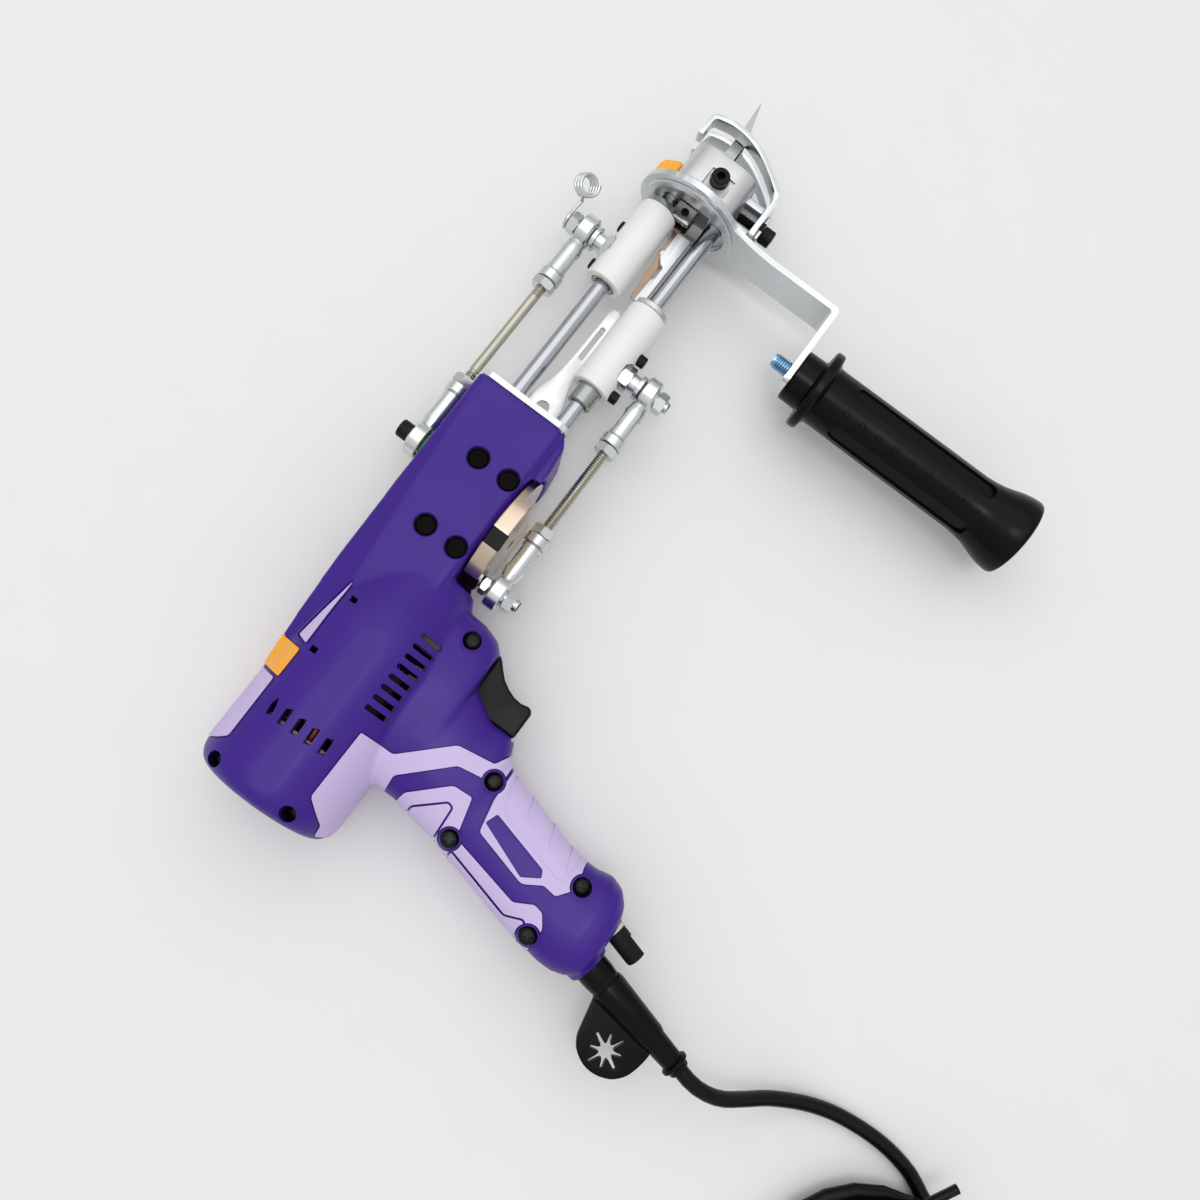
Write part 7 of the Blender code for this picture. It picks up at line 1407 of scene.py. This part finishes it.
piece(turn_to(grip, STUD_AXIS, -ALONG_Y), "rubber_front_grip", grip_rubber, stands_for="front_grip")
stud = threaded(4, 73.5, 115.5, 1.25, 0.65, 1.2)
piece(turn_to(stud, STUD_AXIS, -ALONG_Y), "threaded_stud", blue_zinc, stands_for="handle_stud")
print("the grip is 133 mm long")

# %% [markdown]
# ## Trigger, speed knob and lead guard
#
# The trigger is matt black nylon with a hollowed face for the finger. Below the grip sit the small knob
# of the speed control, fluted and cut flat on one side, and the tapered rubber guard of the mains lead,
# on which hangs the rubber key holder with a slit star.

# %% Trigger
finger = [(-97.4, -54.8), (-99.4, -57.4), (-102.2, -60), (-105.3, -63.3), (-107.6, -67.2), (-109, -71.2),
          (-109.4, -75), (-108.6, -78.6), (-108.9, -80.6), (-111, -81.7), (-124, -81.7), (-124, -58),
          (-120, -54.8)]
face = softened(slab(finger, -8, 8), 1.5, 5, 45)
stem = block((-130.5, -72.5, -4), (-122, -64.5, 4))
piece(joined(face, stem), "moulded_trigger", black_nylon, "trigger", "trigger")
print("the trigger slides 6 mm")

# %% Speed knob and its ring
KNOB_RADIUS = 4.8
stations = ((1.8, 0.94), (2.2, 1), (15.2, 1), (16.4, 0.93), (16.8, 0.82))
rings = [circle(KNOB_RADIUS * scale, height, 96, 0.03) for height, scale in stations]
knob = skinned([[(0, 0, 1.8)]] + rings + [[(0, 0, 16.8)]])
cut(knob, disc(2.8, 0, 12, 0, 40), block((4.0, -6, 6.8), (8, 6, 20)))
piece(turn_to(knob, KNOB_START, KNOB_WAY), "fluted_knob", black_nylon, "knob", "speed_knob")
bush = lathe([(0, -18.5), (7.5, -18.5), (7.5, -11.9), (3.8, -11.9), (3.8, -0.3), (5.2, -0.3), (5.2, 1.1),
              (4.9, 1.5), (2.5, 1.5), (2.5, 11.7), (0, 11.7)], 64)
piece(turn_to(bush, KNOB_START, KNOB_WAY), "speed_control_bush", pale_nylon, stands_for="speed_control",
      slot="pale_nylon")
print("the knob is", 2 * KNOB_RADIUS, "mm across")

# %% Guard of the lead
profile = [(0, -12), (6, -12), (6, 2.8), (7.4, 2.8), (7.7, 3.1), (7.7, 8.8), (7.3, 12), (5.1, 56.2), (5, 57.4),
           (6.1, 57.7), (6.5, 58.1), (6.5, 59.4), (6.1, 59.8), (5, 60.1), (4.9, 61.9), (4.5, 62.5),
           (3.6, 61.8), (0, 61.8)]
guard = turn_to(lathe(profile, 96), GUARD_START, GUARD_DOWN)
piece(guard, "tapered_lead_guard", grip_rubber, stands_for="cord_guard")


def sleeve_profile(*stations):
    """A profile that follows the guard's taper, each station further out by its own wall."""
    rings = [(7.7 - 0.0548 * (along - 8.8) + wall, along) for along, wall in stations]
    return [(0, rings[0][1])] + rings + [(0, rings[-1][1])]


TAG = [(-186, -174.5), (-192.7, -176.4), (-209.2, -179.6), (-213.8, -182.8), (-217.3, -189), (-217.5, -196),
       (-215, -202.8), (-210.2, -207.3), (-204, -209.4), (-197.6, -210.4), (-190.5, -209)]
tag = softened(slab(rounded_corners(TAG, [1, 1] + [3.5] * 7 + [2, 1], 4), -1.5, 1.5), 0.4)
sleeve = lathe(sleeve_profile((14, 0.2), (16, 0.65), (43, 0.65), (45, 0.2)), 96)
joined(tag, turn_to(sleeve, GUARD_START, GUARD_DOWN))
cut(tag, turn_to(lathe(sleeve_profile((9, 0.08), (50, 0.08)), 96), GUARD_START, GUARD_DOWN))
STAR_CENTRE = Vector((-206.8, -193.7))
star = []
for k in range(8):
    arm = Matrix.Rotation(math.tau * k / 8 + 0.3, 2)
    reach = 8.6 if k % 2 else 7.2
    for corner in ((4, -0.75), (reach, -0.45), (reach, 0.45), (4, 0.75), (2.9, 1.2)):
        star.append(tuple(STAR_CENTRE + arm @ Vector(corner)))
cut(tag, slab(star, -4, 4))
piece(tag, "rubber_key_holder", grip_rubber, stands_for="key_holder")
print("the guard is 62.5 mm long")

# %% [markdown]
# ## Table and light
#
# The photograph was taken on a plain pale table under soft light from above. One very big lamp overhead
# gives a faint soft shadow and a smaller one puts thin highlights on the black rubber. The world fills
# in from all sides, paler above than at the horizon. Where the camera looks past the table, and where
# the metal mirrors the room, a pale backdrop shows instead, again a little darker at the horizon.

# %% Table
bpy.ops.mesh.primitive_plane_add(size=8)
table = bpy.context.object
table.name = "table"
table_finish = grained("matt_white_table", "#E9E9E8", "#E7E7E6", 0.8, 3.0, 0.01)
table.data.materials.append(table_finish)
table.location = (0.1, -0.1, -0.0002)
print("table is", table.dimensions.x, "m wide")

# %% World
world = bpy.data.worlds.new("soft_studio")
bpy.context.scene.world = world
world.use_nodes = True
sky = world.node_tree
direction = add(sky, "ShaderNodeTexCoord").outputs["Generated"]
height = add(sky, "ShaderNodeSeparateXYZ", {"Vector": direction}).outputs["Z"]
light = add(sky, "ShaderNodeMapRange", {
    "Value": height, "From Min": -0.1, "From Max": 0.9, "To Min": 0.27, "To Max": 0.9,
})
up = add(sky, "ShaderNodeMapRange", {"Value": height, "From Min": -0.1, "From Max": 0.9})
backdrop = add(sky, "ShaderNodeMix", {
    "Factor": up.outputs["Result"], "A": linear("#B4B4B3"), "B": linear("#F2F2F1"),
}, data_type="RGBA")
paths = add(sky, "ShaderNodeLightPath").outputs
mirrored = add(sky, "ShaderNodeMath", {
    0: paths["Is Glossy Ray"], 1: paths["Is Transmission Ray"],
}, operation="MAXIMUM")
looked_at = add(sky, "ShaderNodeMath", {
    0: paths["Is Camera Ray"], 1: mirrored.outputs["Value"],
}, operation="MAXIMUM")
seen = add(sky, "ShaderNodeMix", {
    "Factor": looked_at.outputs["Value"], "A": light.outputs["Result"], "B": backdrop.outputs["Result"],
}, data_type="RGBA")
sky.links.new(seen.outputs["Result"], sky.nodes["Background"].inputs["Color"])
print("the world has", len(sky.nodes), "nodes")

# %% Lamps
def soft_lamp(name, place, target, size, power):
    """A square soft lamp aimed at a point."""
    lamp = bpy.data.lights.new(name, "AREA")
    lamp.shape = "SQUARE"
    lamp.size = size
    lamp.energy = power
    made = in_scene(name, lamp)
    made.location = place
    aim = Vector(target) - Vector(place)
    made.rotation_euler = aim.to_track_quat("-Z", "Y").to_euler()
    return made


soft_lamp("overhead_lamp", (0.45, 0.25, 1.5), (0.12, -0.05, 0), 1.8, 7)
soft_lamp("highlight_lamp", (-0.05, -0.15, 1.4), (0.12, -0.05, 0), 0.35, 2.2)
bpy.context.scene.view_settings.view_transform = "Standard"
